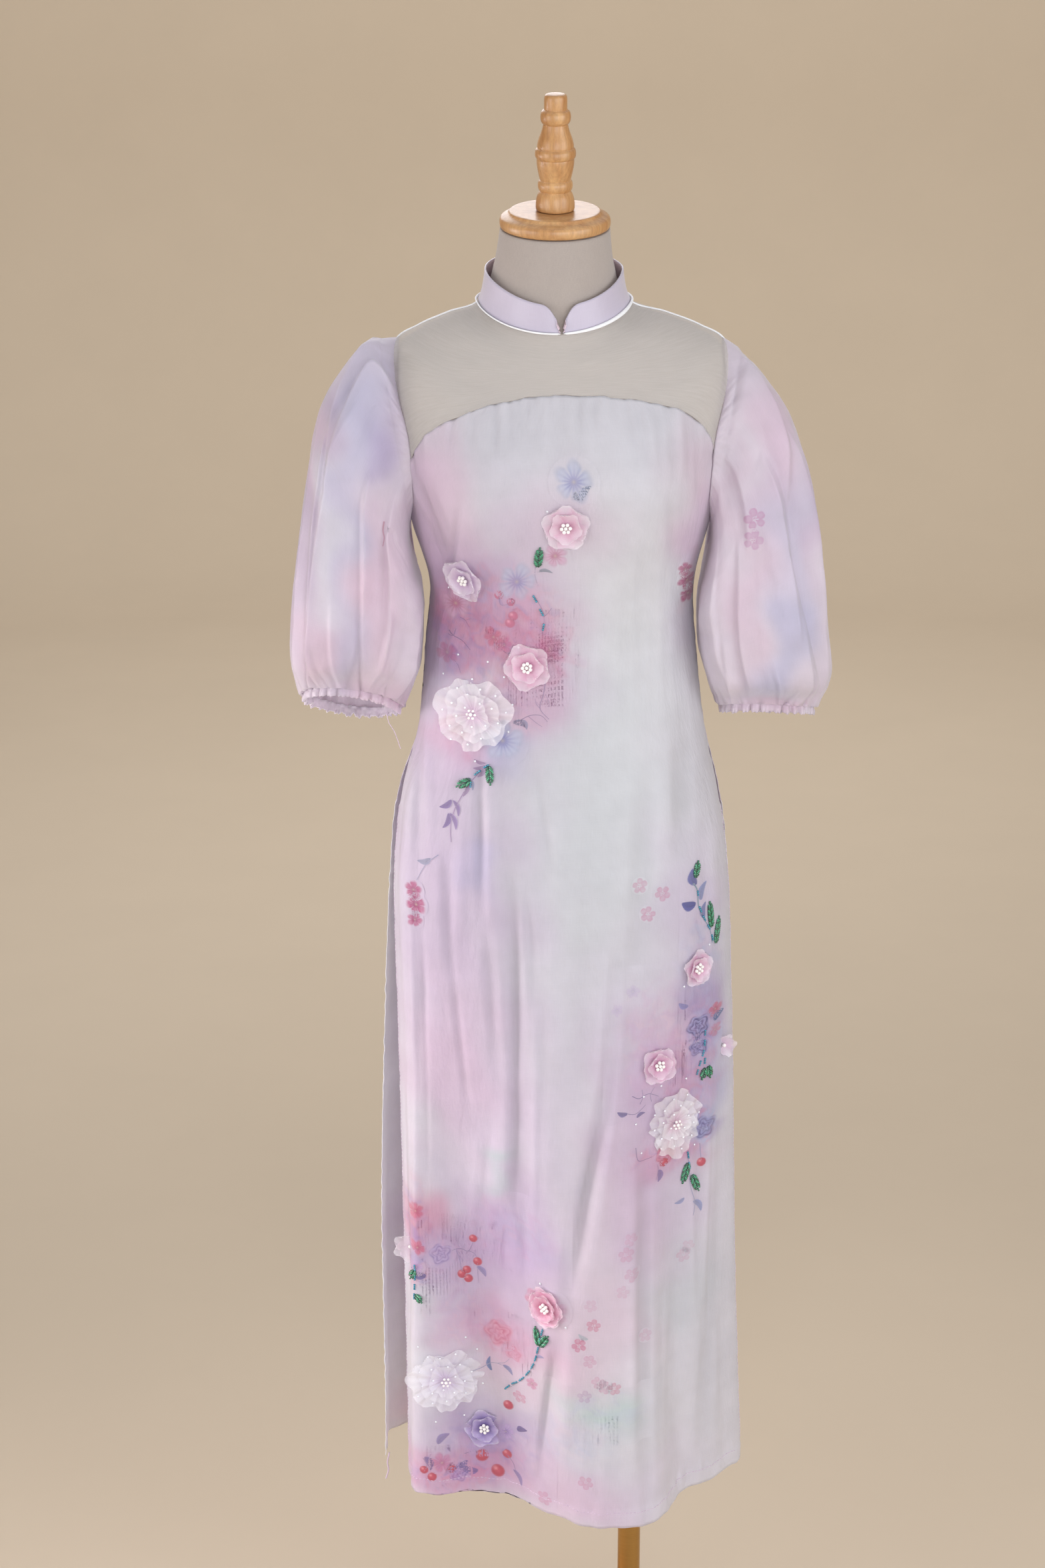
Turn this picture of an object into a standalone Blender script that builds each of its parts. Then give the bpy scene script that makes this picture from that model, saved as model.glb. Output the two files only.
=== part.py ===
"""An ao dai tunic on a limbless dress form, in metres, +Z up.

The origin is on the floor under the form. The front faces -Y. Left and right are the wearer's, so
left is +X. A body section is two half rings that meet at the sides, and a piece of cloth is a
grid on those sections: an angle round the body (-180 degrees at the right side, -90 at centre
front, 0 at the left side, 90 at centre back) by a level, which is a row of the section tables.
"""

import math

import bpy
import numpy as np

# Cloth
CLOTH = 0.0012
EASE = 0.0018
SEAM_GAP = 0.0003
EDGE_SHARE = 0.7
COLLAR_CLOTH = 0.0016
COLLAR_EASE = 0.0030
BINDING_RADIUS = 0.0014

# Levels of the section tables where a piece starts or ends
NECK_TOP_LEVEL = 0
COLLAR_TOP_LEVEL = 1.12
NECK_LEVEL = 2
SHOULDER_LEVEL = 5.25
UNDERARM_LEVEL = 8
SLIT_LEVEL = 11
HEM_LEVEL = 19

# The form is drawn in a little where opaque cloth covers it
FORM_INSET = 0.0028
FORM_INSET_LEVELS = (3.6, 5.0)

# Grid steps: columns go round the body, rows go down it
FORM_COLUMNS = 28
FORM_LEVELS = np.concatenate([np.linspace(0, 9.5, 20), np.linspace(10.25, 15, 5)])
FRONT_COLUMNS = 34
BACK_COLUMNS = 22
SHOULDER_SEAM_LEVELS = (NECK_LEVEL, 3.2, 4.2, 4.8)
YOKE_ARMHOLE_ROWS = 3
YOKE_FADE = 1
PANEL_FADE = 2
PANEL_ARMHOLE_ROWS = 3
SIDE_SEAM_ROWS = 4
FRONT_SKIRT_ROWS = 13
BACK_SKIRT_ROWS = 9
COLLAR_COLUMNS = 26
COLLAR_ROWS = 3
COLLAR_FOOT_LEVEL = 1.97
SLEEVE_COLUMNS = 52

# Armholes: how far each opens round the body from the side, and where the bodice edge meets it
ARMHOLE_FRONT = math.radians(27)
ARMHOLE_BACK = math.radians(25)
BODICE_CORNER_RIGHT = 0.64
BODICE_CORNER_LEFT = 0.60
BACK_CORNER = 0.66

# Bust cups of the form, which the bodice darts follow
BUST_X = 0.082
BUST_Z = 1.352
BUST_RADIUS_X = 0.052
BUST_RADIUS_Z = 0.062
BUST_RISE = 0.017

# Stand collar
COLLAR_OPENS_AT = math.radians(-85)
COLLAR_FRONT_OPEN = math.radians(0.6)
COLLAR_V_SPREAD = math.radians(3.5)
COLLAR_CORNER = math.radians(12)
COLLAR_CORNER_DROP = 0.5
COLLAR_FRONT_DROP = 0.32
COLLAR_FLARE = 0.0030
COLLAR_END_STOPS = np.radians([0, 0.8, 2.5, 5, 8, 12])
BINDING_OPEN = math.radians(2.5)
BINDING_STEPS = 36

# Neck cap and finial, which lean forward with the neck
NECK_CENTRE = (-0.007, 0.0, 1.5955)
NECK_LEAN = math.radians(11.2)
TURNED_SIDES = 20

# Stand
POLE_X = 0.079
POLE_RADIUS = 0.01225
BASE_RADIUS = 0.180
BASE_HEIGHT = 0.018
BASE_SIDES = 40


def table(columns, rows):
    """A table as {column name: array}."""
    values = np.array(rows, float)
    return {name: values[:, i] for i, name in enumerate(columns.split())}


# The form's sections, from the top of the neck to its flat underside. Each row gives the sides'
# places and height, then the middles of its front and back halves. Roundness 2 is an ellipse and
# more is squarer. Roll says how the height turns from side to middle: 1 is a flat tilted cut.
FORM = table(
    "right_x left_x side_z front_y front_z back_y back_z roundness roll",
    [
        (-0.0600, 0.0460, 1.5955, -0.0530, 1.5850, 0.0530, 1.6060, 2.0, 1.0),
        (-0.0663, 0.0503, 1.5600, -0.0575, 1.5440, 0.0605, 1.5730, 2.0, 1.0),
        (-0.0790, 0.0640, 1.5240, -0.0640, 1.4995, 0.0720, 1.5370, 2.0, 1.3),
        (-0.1090, 0.1000, 1.5125, -0.0760, 1.4700, 0.0880, 1.5080, 2.1, 2.0),
        (-0.1380, 0.1330, 1.5000, -0.0880, 1.4400, 0.0980, 1.4760, 2.2, 2.0),
        (-0.1610, 0.1580, 1.4830, -0.0990, 1.4110, 0.1050, 1.4410, 2.3, 2.0),
        (-0.1655, 0.1640, 1.4350, -0.1080, 1.3860, 0.1050, 1.4020, 2.4, 2.0),
        (-0.1580, 0.1570, 1.3750, -0.1140, 1.3580, 0.1020, 1.3640, 2.4, 2.0),
        (-0.1450, 0.1430, 1.3150, -0.1110, 1.3140, 0.0960, 1.3150, 2.4, 2.0),
        (-0.1275, 0.1290, 1.2550, -0.0985, 1.2550, 0.0870, 1.2550, 2.3, 2.0),
        (-0.1320, 0.1312, 1.1950, -0.0890, 1.1950, 0.0800, 1.1950, 2.2, 2.0),
        (-0.1407, 0.1424, 1.1050, -0.0920, 1.1050, 0.0930, 1.1050, 2.2, 2.0),
        (-0.1600, 0.1610, 1.0100, -0.0985, 1.0100, 0.1160, 1.0100, 2.2, 2.0),
        (-0.1690, 0.1685, 0.9200, -0.1000, 0.9200, 0.1260, 0.9200, 2.2, 2.0),
        (-0.1670, 0.1670, 0.8500, -0.0950, 0.8500, 0.1180, 0.8500, 2.2, 2.0),
        (-0.1580, 0.1580, 0.7900, -0.0880, 0.7900, 0.1070, 0.7900, 2.2, 2.0),
    ],
)

# The skirts below the slits: where each panel's two slit edges hang, and its middle.
SKIRT_COLUMNS = "side_z right_x right_y left_x left_y middle_y roundness"
FRONT_SKIRT = table(
    SKIRT_COLUMNS,
    [
        (1.0300, -0.1590, -0.0040, 0.1580, -0.0010, -0.0985, 2.2),
        (0.9500, -0.1660, -0.0060, 0.1690, 0.0005, -0.1060, 2.2),
        (0.8500, -0.1650, -0.0090, 0.1740, 0.0030, -0.1100, 2.2),
        (0.7300, -0.1625, -0.0100, 0.1785, 0.0060, -0.1140, 2.2),
        (0.6100, -0.1610, -0.0090, 0.1825, 0.0090, -0.1180, 2.2),
        (0.4900, -0.1600, -0.0080, 0.1870, 0.0110, -0.1200, 2.2),
        (0.3800, -0.1595, -0.0060, 0.1920, 0.0130, -0.1220, 2.2),
        (0.2760, -0.1590, -0.0040, 0.1965, 0.0150, -0.1240, 2.2),
    ],
)
BACK_SKIRT = table(
    SKIRT_COLUMNS,
    [
        (1.0300, -0.1625, 0.0020, 0.1600, 0.0050, 0.1120, 2.2),
        (0.9500, -0.1705, 0.0035, 0.1690, 0.0080, 0.1270, 2.2),
        (0.8500, -0.1755, 0.0030, 0.1720, 0.0120, 0.1320, 2.2),
        (0.7300, -0.1800, 0.0000, 0.1745, 0.0180, 0.1350, 2.2),
        (0.6100, -0.1835, -0.0060, 0.1765, 0.0230, 0.1390, 2.2),
        (0.4900, -0.1835, -0.0070, 0.1800, 0.0260, 0.1430, 2.2),
        (0.3800, -0.1835, -0.0020, 0.1840, 0.0280, 0.1470, 2.2),
        (0.2760, -0.1845, 0.0060, 0.1890, 0.0300, 0.1510, 2.2),
    ],
)

# The upper edge of the bodice under the sheer yoke, from right to left between the armholes.
BODICE_EDGE = table(
    "x z",
    [
        (-0.1400, 1.3880),
        (-0.1250, 1.4095),
        (-0.0990, 1.4240),
        (-0.0680, 1.4360),
        (-0.0340, 1.4430),
        (0.0000, 1.4450),
        (0.0340, 1.4440),
        (0.0680, 1.4405),
        (0.1000, 1.4335),
        (0.1240, 1.4220),
        (0.1390, 1.4030),
    ],
)

# Folds of a panel. Across runs 0 to 1 round the panel, from its right edge on the front and from
# its left edge on the back. Each fold starts at a height, is full at a lower one and has faded
# again at its end, which may lie below the hem. Out is its rise, a trough where it is negative.
FOLD_COLUMNS = "across_top across_hem half_width out start_z full_z end_z"
FRONT_FOLDS = table(
    FOLD_COLUMNS,
    [
        (0.16, 0.145, 0.075, 0.0090, 0.98, 0.50, 0.00),
        (0.27, 0.330, 0.190, -0.0450, 1.02, 0.30, 0.00),
        (0.50, 0.575, 0.130, 0.0200, 0.98, 0.36, 0.00),
        (0.70, 0.765, 0.135, -0.0300, 0.95, 0.32, 0.00),
        (0.86, 0.890, 0.100, -0.0160, 0.95, 0.32, 0.00),
        (0.20, 0.200, 0.070, -0.0030, 1.37, 1.30, 1.18),
        (0.13, 0.130, 0.060, 0.0030, 1.34, 1.27, 1.16),
        (0.13, 0.130, 0.060, 0.0040, 1.12, 1.02, 0.80),
        (0.74, 0.740, 0.070, 0.0030, 1.06, 0.98, 0.80),
    ],
)
BACK_FOLDS = table(
    FOLD_COLUMNS,
    [
        (0.14, 0.120, 0.090, -0.0100, 0.90, 0.40, 0.00),
        (0.28, 0.260, 0.110, 0.0150, 0.92, 0.36, 0.00),
        (0.45, 0.440, 0.120, -0.0180, 0.94, 0.36, 0.00),
        (0.60, 0.620, 0.110, 0.0130, 0.94, 0.40, 0.00),
        (0.76, 0.780, 0.090, -0.0120, 0.90, 0.40, 0.00),
        (0.89, 0.900, 0.070, 0.0080, 0.88, 0.45, 0.00),
    ],
)
FOLD_FADE = 0.10

# Sleeve sections from the cap to the gathered end: outermost and innermost points, depths to
# front and back, and how far the front edge is lifted over the back one.
SLEEVE_SECTION_COLUMNS = "outer_x outer_z inner_x inner_z front_y back_y lift"
RIGHT_SLEEVE = table(
    SLEEVE_SECTION_COLUMNS,
    [
        (-0.1870, 1.4910, -0.1520, 1.3000, -0.066, 0.068, 0.000),
        (-0.2160, 1.4570, -0.1500, 1.2860, -0.073, 0.075, 0.000),
        (-0.2370, 1.4170, -0.1460, 1.2700, -0.077, 0.079, 0.000),
        (-0.2490, 1.3620, -0.1400, 1.2480, -0.079, 0.081, 0.000),
        (-0.2590, 1.2950, -0.1380, 1.2210, -0.081, 0.083, 0.000),
        (-0.2665, 1.2300, -0.1395, 1.1880, -0.080, 0.082, 0.004),
        (-0.2700, 1.1720, -0.1440, 1.1570, -0.070, 0.072, 0.012),
        (-0.2605, 1.1430, -0.1585, 1.1310, -0.045, 0.045, 0.020),
        (-0.2590, 1.1370, -0.1600, 1.1250, -0.044, 0.044, 0.021),
    ],
)
LEFT_SLEEVE = table(
    SLEEVE_SECTION_COLUMNS,
    [
        (0.1810, 1.4730, 0.1500, 1.3000, -0.064, 0.066, 0.000),
        (0.2060, 1.4430, 0.1480, 1.2860, -0.071, 0.073, 0.000),
        (0.2290, 1.4020, 0.1440, 1.2700, -0.076, 0.078, 0.000),
        (0.2450, 1.3480, 0.1400, 1.2480, -0.079, 0.081, 0.000),
        (0.2555, 1.2800, 0.1375, 1.2210, -0.081, 0.083, 0.000),
        (0.2650, 1.2100, 0.1395, 1.1860, -0.080, 0.082, 0.002),
        (0.2702, 1.1560, 0.1490, 1.1520, -0.070, 0.072, 0.006),
        (0.2575, 1.1300, 0.1590, 1.1340, -0.043, 0.043, 0.010),
        (0.2560, 1.1240, 0.1600, 1.1280, -0.042, 0.042, 0.010),
    ],
)
SLEEVE_ROW_PLACES = (0.0, 0.06, 0.15, 0.25, 0.37, 0.50, 0.62, 0.74, 0.83, 0.91, 1.0)
SLEEVE_CLEAR = 0.0012
CUFF_GAP = 0.0007
CUFF_HEIGHT = 0.010
CUFF_ROWS = 2
CUFF_CLOTH = 0.0014

# Folds of a sleeve: angle round it in degrees (0 outermost, 90 front, 180 against the body), how
# far the fold drifts on its way down, half its width, its rise, and where it starts and ends.
SLEEVE_FOLD_COLUMNS = "angle drift half_width out start end"
RIGHT_SLEEVE_FOLDS = table(
    SLEEVE_FOLD_COLUMNS,
    [
        (57, 0, 24, -0.0065, 0.08, 0.92),
        (84, 4, 24, 0.0055, 0.06, 0.85),
        (124, 0, 20, -0.0055, 0.06, 0.55),
        (98, 6, 18, -0.0040, 0.50, 1.00),
        (-40, 0, 30, 0.0060, 0.10, 0.95),
        (-85, 0, 28, -0.0060, 0.10, 0.95),
    ],
)
LEFT_SLEEVE_FOLDS = table(
    SLEEVE_FOLD_COLUMNS,
    [
        (82, -48, 24, -0.0065, 0.08, 0.95),
        (52, -30, 22, 0.0050, 0.05, 0.80),
        (112, 4, 20, -0.0045, 0.35, 0.98),
        (134, 0, 18, 0.0035, 0.06, 0.60),
        (-40, 0, 30, 0.0060, 0.10, 0.95),
        (-85, 0, 28, -0.0060, 0.10, 0.95),
    ],
)
CAP_PLEAT_ANGLES = (-60, -36, -12, 12, 36, 60)
CAP_PLEAT_HALF_WIDTH = 14
CAP_PLEAT_RISE = 0.0030
CAP_PLEAT_END = 0.20
GATHER_RISE = 0.0016
GATHER_START = 0.78

# Turned profiles: radius and height above the neck's top face or the floor.
NECK_CAP_PROFILE = (
    (0.0500, 0.0003),
    (0.0535, 0.0030),
    (0.0535, 0.0085),
    (0.0505, 0.0125),
    (0.0455, 0.0140),
    (0.0440, 0.0170),
)
FINIAL_PROFILE = (
    (0.0165, 0.0175),
    (0.0190, 0.0195),
    (0.0185, 0.0260),
    (0.0150, 0.0360),
    (0.0160, 0.0385),
    (0.0168, 0.0430),
    (0.0145, 0.0475),
    (0.0178, 0.0570),
    (0.0180, 0.0640),
    (0.0193, 0.0665),
    (0.0193, 0.0725),
    (0.0165, 0.0755),
    (0.0172, 0.0800),
    (0.0120, 0.0960),
    (0.0142, 0.0990),
    (0.0142, 0.1090),
    (0.0105, 0.1140),
    (0.0108, 0.1220),
    (0.0070, 0.1275),
)
BASE_PROFILE = (
    (BASE_RADIUS - 0.004, 0.0),
    (BASE_RADIUS, 0.004),
    (BASE_RADIUS, BASE_HEIGHT - 0.007),
    (BASE_RADIUS - 0.010, BASE_HEIGHT),
)

# Organza flowers and tulle rosettes on the front panel: centre, radius, petals and turn.
FLOWER_COLUMNS = "x z radius petals turn"
FLOWER_NAMES = (
    "flower_bust",
    "flower_underbust",
    "flower_waist",
    "rosette_waist",
    "flower_thigh_upper",
    "flower_thigh_lower",
    "rosette_thigh",
    "flower_hem_peony",
    "flower_hem_violet",
    "rosette_hem",
)
FLOWERS = table(
    FLOWER_COLUMNS,
    [
        (0.0027, 1.3243, 0.0230, 5, 20),
        (-0.0941, 1.2684, 0.0210, 5, 0),
        (-0.0338, 1.1829, 0.0230, 5, 40),
        (-0.0860, 1.1330, 0.0370, 7, 10),
        (0.1370, 0.8698, 0.0190, 5, 15),
        (0.0988, 0.7732, 0.0200, 5, 50),
        (0.1160, 0.7060, 0.0330, 7, 25),
        (-0.0138, 0.5170, 0.0240, 5, 5),
        (-0.0785, 0.3501, 0.0200, 5, 30),
        (-0.1200, 0.4080, 0.0350, 7, 15),
    ],
)
POINTS_PER_PETAL = 3
PETAL_RING_STEP = 0.012
FLOWER_CLEAR = 0.0008
FLOWER_CLOTH = 0.0010
PETAL_NOTCH = 0.16
PETAL_LIFT = 0.0035
PETAL_NOTCH_LIFT = 0.35


def smooth(column, level):
    """The column's value at a fractional row, on a cubic through the rows."""
    last = len(column) - 1
    level = np.clip(level, 0, last)
    row = np.minimum(np.floor(level).astype(int), last - 1)
    part = level - row
    before = column[np.maximum(row - 1, 0)]
    start = column[row]
    end = column[row + 1]
    after = column[np.minimum(row + 2, last)]
    cubic = 3 * (start - end) + after - before
    square = 2 * before - 5 * start + 4 * end - after
    return start + 0.5 * part * (end - before + part * (square + part * cubic))


def half_of_form(side):
    """The form's front or back half as rows of half rings."""
    zero = np.zeros(len(FORM["side_z"]))
    return {
        "side_z": FORM["side_z"],
        "right_x": FORM["right_x"],
        "right_y": zero,
        "left_x": FORM["left_x"],
        "left_y": zero,
        "middle_y": FORM[side + "_y"],
        "middle_z": FORM[side + "_z"],
        "roundness": FORM["roundness"],
        "roll": FORM["roll"],
    }


def panel_of(side, skirt):
    """Half rings of a panel: the form's down to the slits, then the skirt's."""
    upper = half_of_form(side)
    lower = dict(skirt)
    lower["middle_z"] = skirt["side_z"]
    lower["roll"] = np.full(len(skirt["side_z"]), 2.0)
    return {name: np.append(upper[name][: SLIT_LEVEL + 1], lower[name]) for name in upper}


FORM_FRONT = half_of_form("front")
FORM_BACK = half_of_form("back")
FRONT_SECTIONS = panel_of("front", FRONT_SKIRT)
BACK_SECTIONS = panel_of("back", BACK_SKIRT)


def half_ring(sections, angle, level):
    """Points of the half rings, as an array of x, y, z."""
    row = {name: smooth(column, level) for name, column in sections.items()}
    front = sections["middle_y"][0] < 0
    across = np.cos(angle)
    deep = -np.sin(angle) if front else np.sin(angle)
    bend = 2 / row["roundness"]
    half = (row["left_x"] - row["right_x"]) / 2
    centre = (row["left_x"] + row["right_x"]) / 2
    edge_y = np.where(across > 0, row["left_y"], row["right_y"])
    x = centre + half * np.sign(across) * np.abs(across) ** bend
    y = edge_y + (row["middle_y"] - edge_y) * np.sign(deep) * np.abs(deep) ** bend
    turn = np.sign(deep) * np.abs(deep) ** row["roll"]
    z = row["side_z"] + (row["middle_z"] - row["side_z"]) * turn
    if front:
        away = ((np.abs(x) - BUST_X) / BUST_RADIUS_X) ** 2 + ((z - BUST_Z) / BUST_RADIUS_Z) ** 2
        y = y - BUST_RISE * np.exp(-away)
    return np.stack([x, y, z], axis=-1)


def outward(sections, angle, level):
    """Unit normals of the half rings."""
    step = 1e-3
    round_body = half_ring(sections, angle + step, level) - half_ring(sections, angle - step, level)
    down = half_ring(sections, angle, level + step) - half_ring(sections, angle, level - step)
    normal = np.cross(down, round_body)
    return normal / np.linalg.norm(normal, axis=-1, keepdims=True)


def fold_rise(folds, across, height):
    """How far the folds move the cloth out, at each place across a panel and height."""
    rise = np.zeros_like(across)
    hem_z = FRONT_SKIRT["side_z"][-1]
    for top, hem, half_width, out, start, full, end in zip(*folds.values()):
        down = np.clip((start - height) / (start - full), 0, 1)
        down *= np.clip((height - end) / FOLD_FADE, 0, 1)
        centre = top + (hem - top) * np.clip((start - height) / (start - hem_z), 0, 1)
        place = np.clip(np.abs(across - centre) / half_width, 0, 1)
        rise += out * down**2 * (3 - 2 * down) * (1 - place**2) ** 2
    return rise


def cloth_points(sections, angle, level, folds=None, ease=EASE):
    """The cloth's inner face: the sections moved out by the ease and the folds."""
    points = half_ring(sections, angle, level)
    rise = np.zeros(angle.shape) + ease
    if folds:
        across = np.abs(angle + math.pi) / math.pi if sections is FRONT_SECTIONS else angle / math.pi
        rise = rise + fold_rise(folds, across, points[..., 2])
    return points + outward(sections, angle, level) * rise[..., None]


def armhole(part, sign, spread, end):
    """Angle and level down one side of an armhole, part 0 at the shoulder and 1 underarm.

    The side is at angle 0 or 180 degrees, and sign says which way the opening spreads from it.
    """
    level = SHOULDER_LEVEL + (UNDERARM_LEVEL - SHOULDER_LEVEL) * part
    return np.stack([end + sign * spread * np.sin(math.pi * part) ** 0.75, level], axis=-1)


def angle_and_level(sections, x, z):
    """Where the sections pass through x and z, for points on the front or back."""
    front = sections["middle_y"][0] < 0
    level = np.full(x.shape, 6.0)
    angle = np.zeros(x.shape)
    levels = np.linspace(NECK_LEVEL, HEM_LEVEL, 400)
    for _ in range(12):
        left = smooth(sections["left_x"], level)
        right = smooth(sections["right_x"], level)
        across = np.clip((x - (left + right) / 2) / ((left - right) / 2), -1, 1)
        power = smooth(sections["roundness"], level) / 2
        angle = np.arccos(np.sign(across) * np.abs(across) ** power) * (-1 if front else 1)
        for i, one in enumerate(angle.flat):
            heights = half_ring(sections, np.full(levels.shape, one), levels)[:, 2]
            level.flat[i] = np.interp(-z.flat[i], -heights, levels)
    return angle, level


def between(first, last, part):
    return first[None, :] + (last - first)[None, :] * part[:, None]


def patch(first, last, edge, fade):
    """A grid of angle and level between two side edges, whose first row is bent to the edge's levels.

    The bend fades down the grid: evenly when fade is 1, and sooner when it is more.
    """
    across = np.linspace(0, 1, len(edge))
    bend = edge - between(first[0], last[0], across)[:, 1]
    down = (first[:, 1] - first[0, 1]) / (first[-1, 1] - first[0, 1])
    grid = np.array([between(a, b, across) for a, b in zip(first, last)])
    grid[..., 1] += bend[None, :] * ((1 - down) ** fade)[:, None]
    return grid


def mesh_object(name, points, faces, finish):
    mesh = bpy.data.meshes.new(name)
    mesh.from_pydata([tuple(p) for p in np.asarray(points)], [], [tuple(f) for f in faces])
    mesh.update()
    obj = bpy.data.objects.new(name, mesh)
    bpy.context.scene.collection.objects.link(obj)
    mesh.materials.append(finish)
    mesh.shade_smooth()
    return obj


def material(name, colour, roughness, metallic=0.0):
    made = bpy.data.materials.new(name)
    made.use_nodes = True
    shader = made.node_tree.nodes["Principled BSDF"]
    shader.inputs["Base Color"].default_value = (*colour, 1.0)
    shader.inputs["Roughness"].default_value = roughness
    shader.inputs["Metallic"].default_value = metallic
    return made


def grid_faces(rows, columns, closed=False):
    """Triangles of a grid whose rows go down and whose columns go counterclockwise from above."""
    faces = []
    width = columns if closed else columns + 1
    for row in range(rows):
        for column in range(columns):
            a = row * width + column
            b = row * width + (column + 1) % width
            faces.append((a, a + width, b + width))
            faces.append((a, b + width, b))
    return faces


def wall(name, grid, thickness, finish, closed=False, flip=False):
    """A cloth wall: the grid is its inner face, and the thickness goes outward."""
    columns = grid.shape[1] if closed else grid.shape[1] - 1
    faces = grid_faces(grid.shape[0] - 1, columns, closed)
    if flip:
        faces = [face[::-1] for face in faces]
    obj = mesh_object(name, grid.reshape(-1, 3), faces, finish)
    solidify = obj.modifiers.new("cloth", "SOLIDIFY")
    solidify.thickness = thickness
    solidify.offset = 1
    solidify.use_rim = True
    return obj


def trimmed(grid, top=False, bottom=False, sides=False):
    """The grid with some edges drawn in by half a seam's gap."""
    grid = grid.copy()

    def draw_in(edge, inner):
        along = np.gradient(edge, axis=0)
        along /= np.linalg.norm(along, axis=-1, keepdims=True)
        way = inner - edge
        way -= along * (way * along).sum(axis=-1, keepdims=True)
        return edge + way / np.linalg.norm(way, axis=-1, keepdims=True) * SEAM_GAP * EDGE_SHARE

    if top:
        grid[0] = draw_in(grid[0], grid[1])
    if bottom:
        grid[-1] = draw_in(grid[-1], grid[-2])
    if sides:
        grid[:, 0] = draw_in(grid[:, 0], grid[:, 1])
        grid[:, -1] = draw_in(grid[:, -1], grid[:, -2])
    return grid


def turned(name, profile, sides, finish, place=(0, 0, 0), lean=0.0):
    """A turned solid from its lowest ring to its highest, tilted forward by lean."""
    around = np.linspace(0, 2 * math.pi, sides, endpoint=False)
    rings = [
        np.stack([r * np.cos(around), r * np.sin(around), np.full(sides, z)], axis=-1)
        for r, z in reversed(profile)
    ]
    points = np.concatenate(rings)
    faces = grid_faces(len(profile) - 1, sides, closed=True)
    faces.append(tuple(range(sides)))
    faces.append(tuple(range(len(points) - 1, len(points) - sides - 1, -1)))
    obj = mesh_object(name, points, faces, finish)
    obj.data.set_sharp_from_angle(angle=math.radians(40))
    obj.location = place
    obj.rotation_euler = (lean, 0, 0)
    return obj


def make_form(finish):
    half = FORM_COLUMNS // 2
    front = np.linspace(-math.pi, 0, half, endpoint=False)
    back = np.linspace(0, math.pi, half, endpoint=False)
    rings = []
    for level in FORM_LEVELS:
        inset = -FORM_INSET * np.interp(level, FORM_INSET_LEVELS, (0, 1))
        at_level = np.full(half, level)
        ring_front = cloth_points(FORM_FRONT, front, at_level, ease=inset)
        ring_back = cloth_points(FORM_BACK, back, at_level, ease=inset)
        rings.append(np.concatenate([ring_front, ring_back]))
    points = np.concatenate(rings)
    faces = grid_faces(len(FORM_LEVELS) - 1, FORM_COLUMNS, closed=True)
    faces.append(tuple(range(FORM_COLUMNS)))
    faces.append(tuple(range(len(points) - 1, len(points) - FORM_COLUMNS - 1, -1)))
    return mesh_object("form_torso", points, faces, finish)


def side_edge(sections, sign, spread, end, corner):
    """The edge of a panel: the armhole below the bodice corner, then the side seam or the slit."""
    skirt_rows = FRONT_SKIRT_ROWS if sections is FRONT_SECTIONS else BACK_SKIRT_ROWS
    hole = armhole(np.linspace(corner, 1, PANEL_ARMHOLE_ROWS + 1), sign, spread, end)
    seam = np.linspace(UNDERARM_LEVEL, SLIT_LEVEL, SIDE_SEAM_ROWS + 1)[1:]
    slit = np.linspace(SLIT_LEVEL, HEM_LEVEL, skirt_rows + 1)[1:]
    levels = np.append(seam, slit)
    return np.concatenate([hole, np.stack([np.full(levels.shape, end), levels], axis=-1)])


def yoke_edge(sign, spread, end, corner):
    """The edge of a yoke: the shoulder seam, then the armhole down to the bodice corner."""
    seam = np.array([(end, level) for level in SHOULDER_SEAM_LEVELS])
    return np.concatenate([seam, armhole(np.linspace(0, corner, YOKE_ARMHOLE_ROWS + 1), sign, spread, end)])


def bodice_edge(right_corner, left_corner):
    """Levels along the bodice's upper edge, from the right armhole to the left one."""
    inner = np.stack(angle_and_level(FRONT_SECTIONS, BODICE_EDGE["x"], BODICE_EDGE["z"]), axis=-1)
    stops = np.concatenate([[right_corner], inner, [left_corner]])
    angle = np.linspace(right_corner[0], left_corner[0], FRONT_COLUMNS + 1)
    return np.interp(angle, stops[:, 0], stops[:, 1])


def make_front(yoke_finish, cloth_finish):
    right_end = -math.pi
    right_hole = yoke_edge(1, ARMHOLE_FRONT, right_end, BODICE_CORNER_RIGHT)
    left_hole = yoke_edge(-1, ARMHOLE_FRONT, 0.0, BODICE_CORNER_LEFT)
    edge = bodice_edge(right_hole[-1], left_hole[-1])

    yoke = patch(right_hole[::-1], left_hole[::-1], edge, YOKE_FADE)[::-1]
    points = cloth_points(FRONT_SECTIONS, yoke[..., 0], yoke[..., 1], FRONT_FOLDS)
    wall("yoke_front", trimmed(points, top=True, bottom=True, sides=True), CLOTH, yoke_finish)

    right = side_edge(FRONT_SECTIONS, 1, ARMHOLE_FRONT, right_end, BODICE_CORNER_RIGHT)
    left = side_edge(FRONT_SECTIONS, -1, ARMHOLE_FRONT, 0.0, BODICE_CORNER_LEFT)
    grid = patch(right, left, edge, PANEL_FADE)
    points = cloth_points(FRONT_SECTIONS, grid[..., 0], grid[..., 1], FRONT_FOLDS)
    points = trimmed(points, top=True, sides=True)
    wall("front_panel", points, CLOTH, cloth_finish)
    return points


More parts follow.
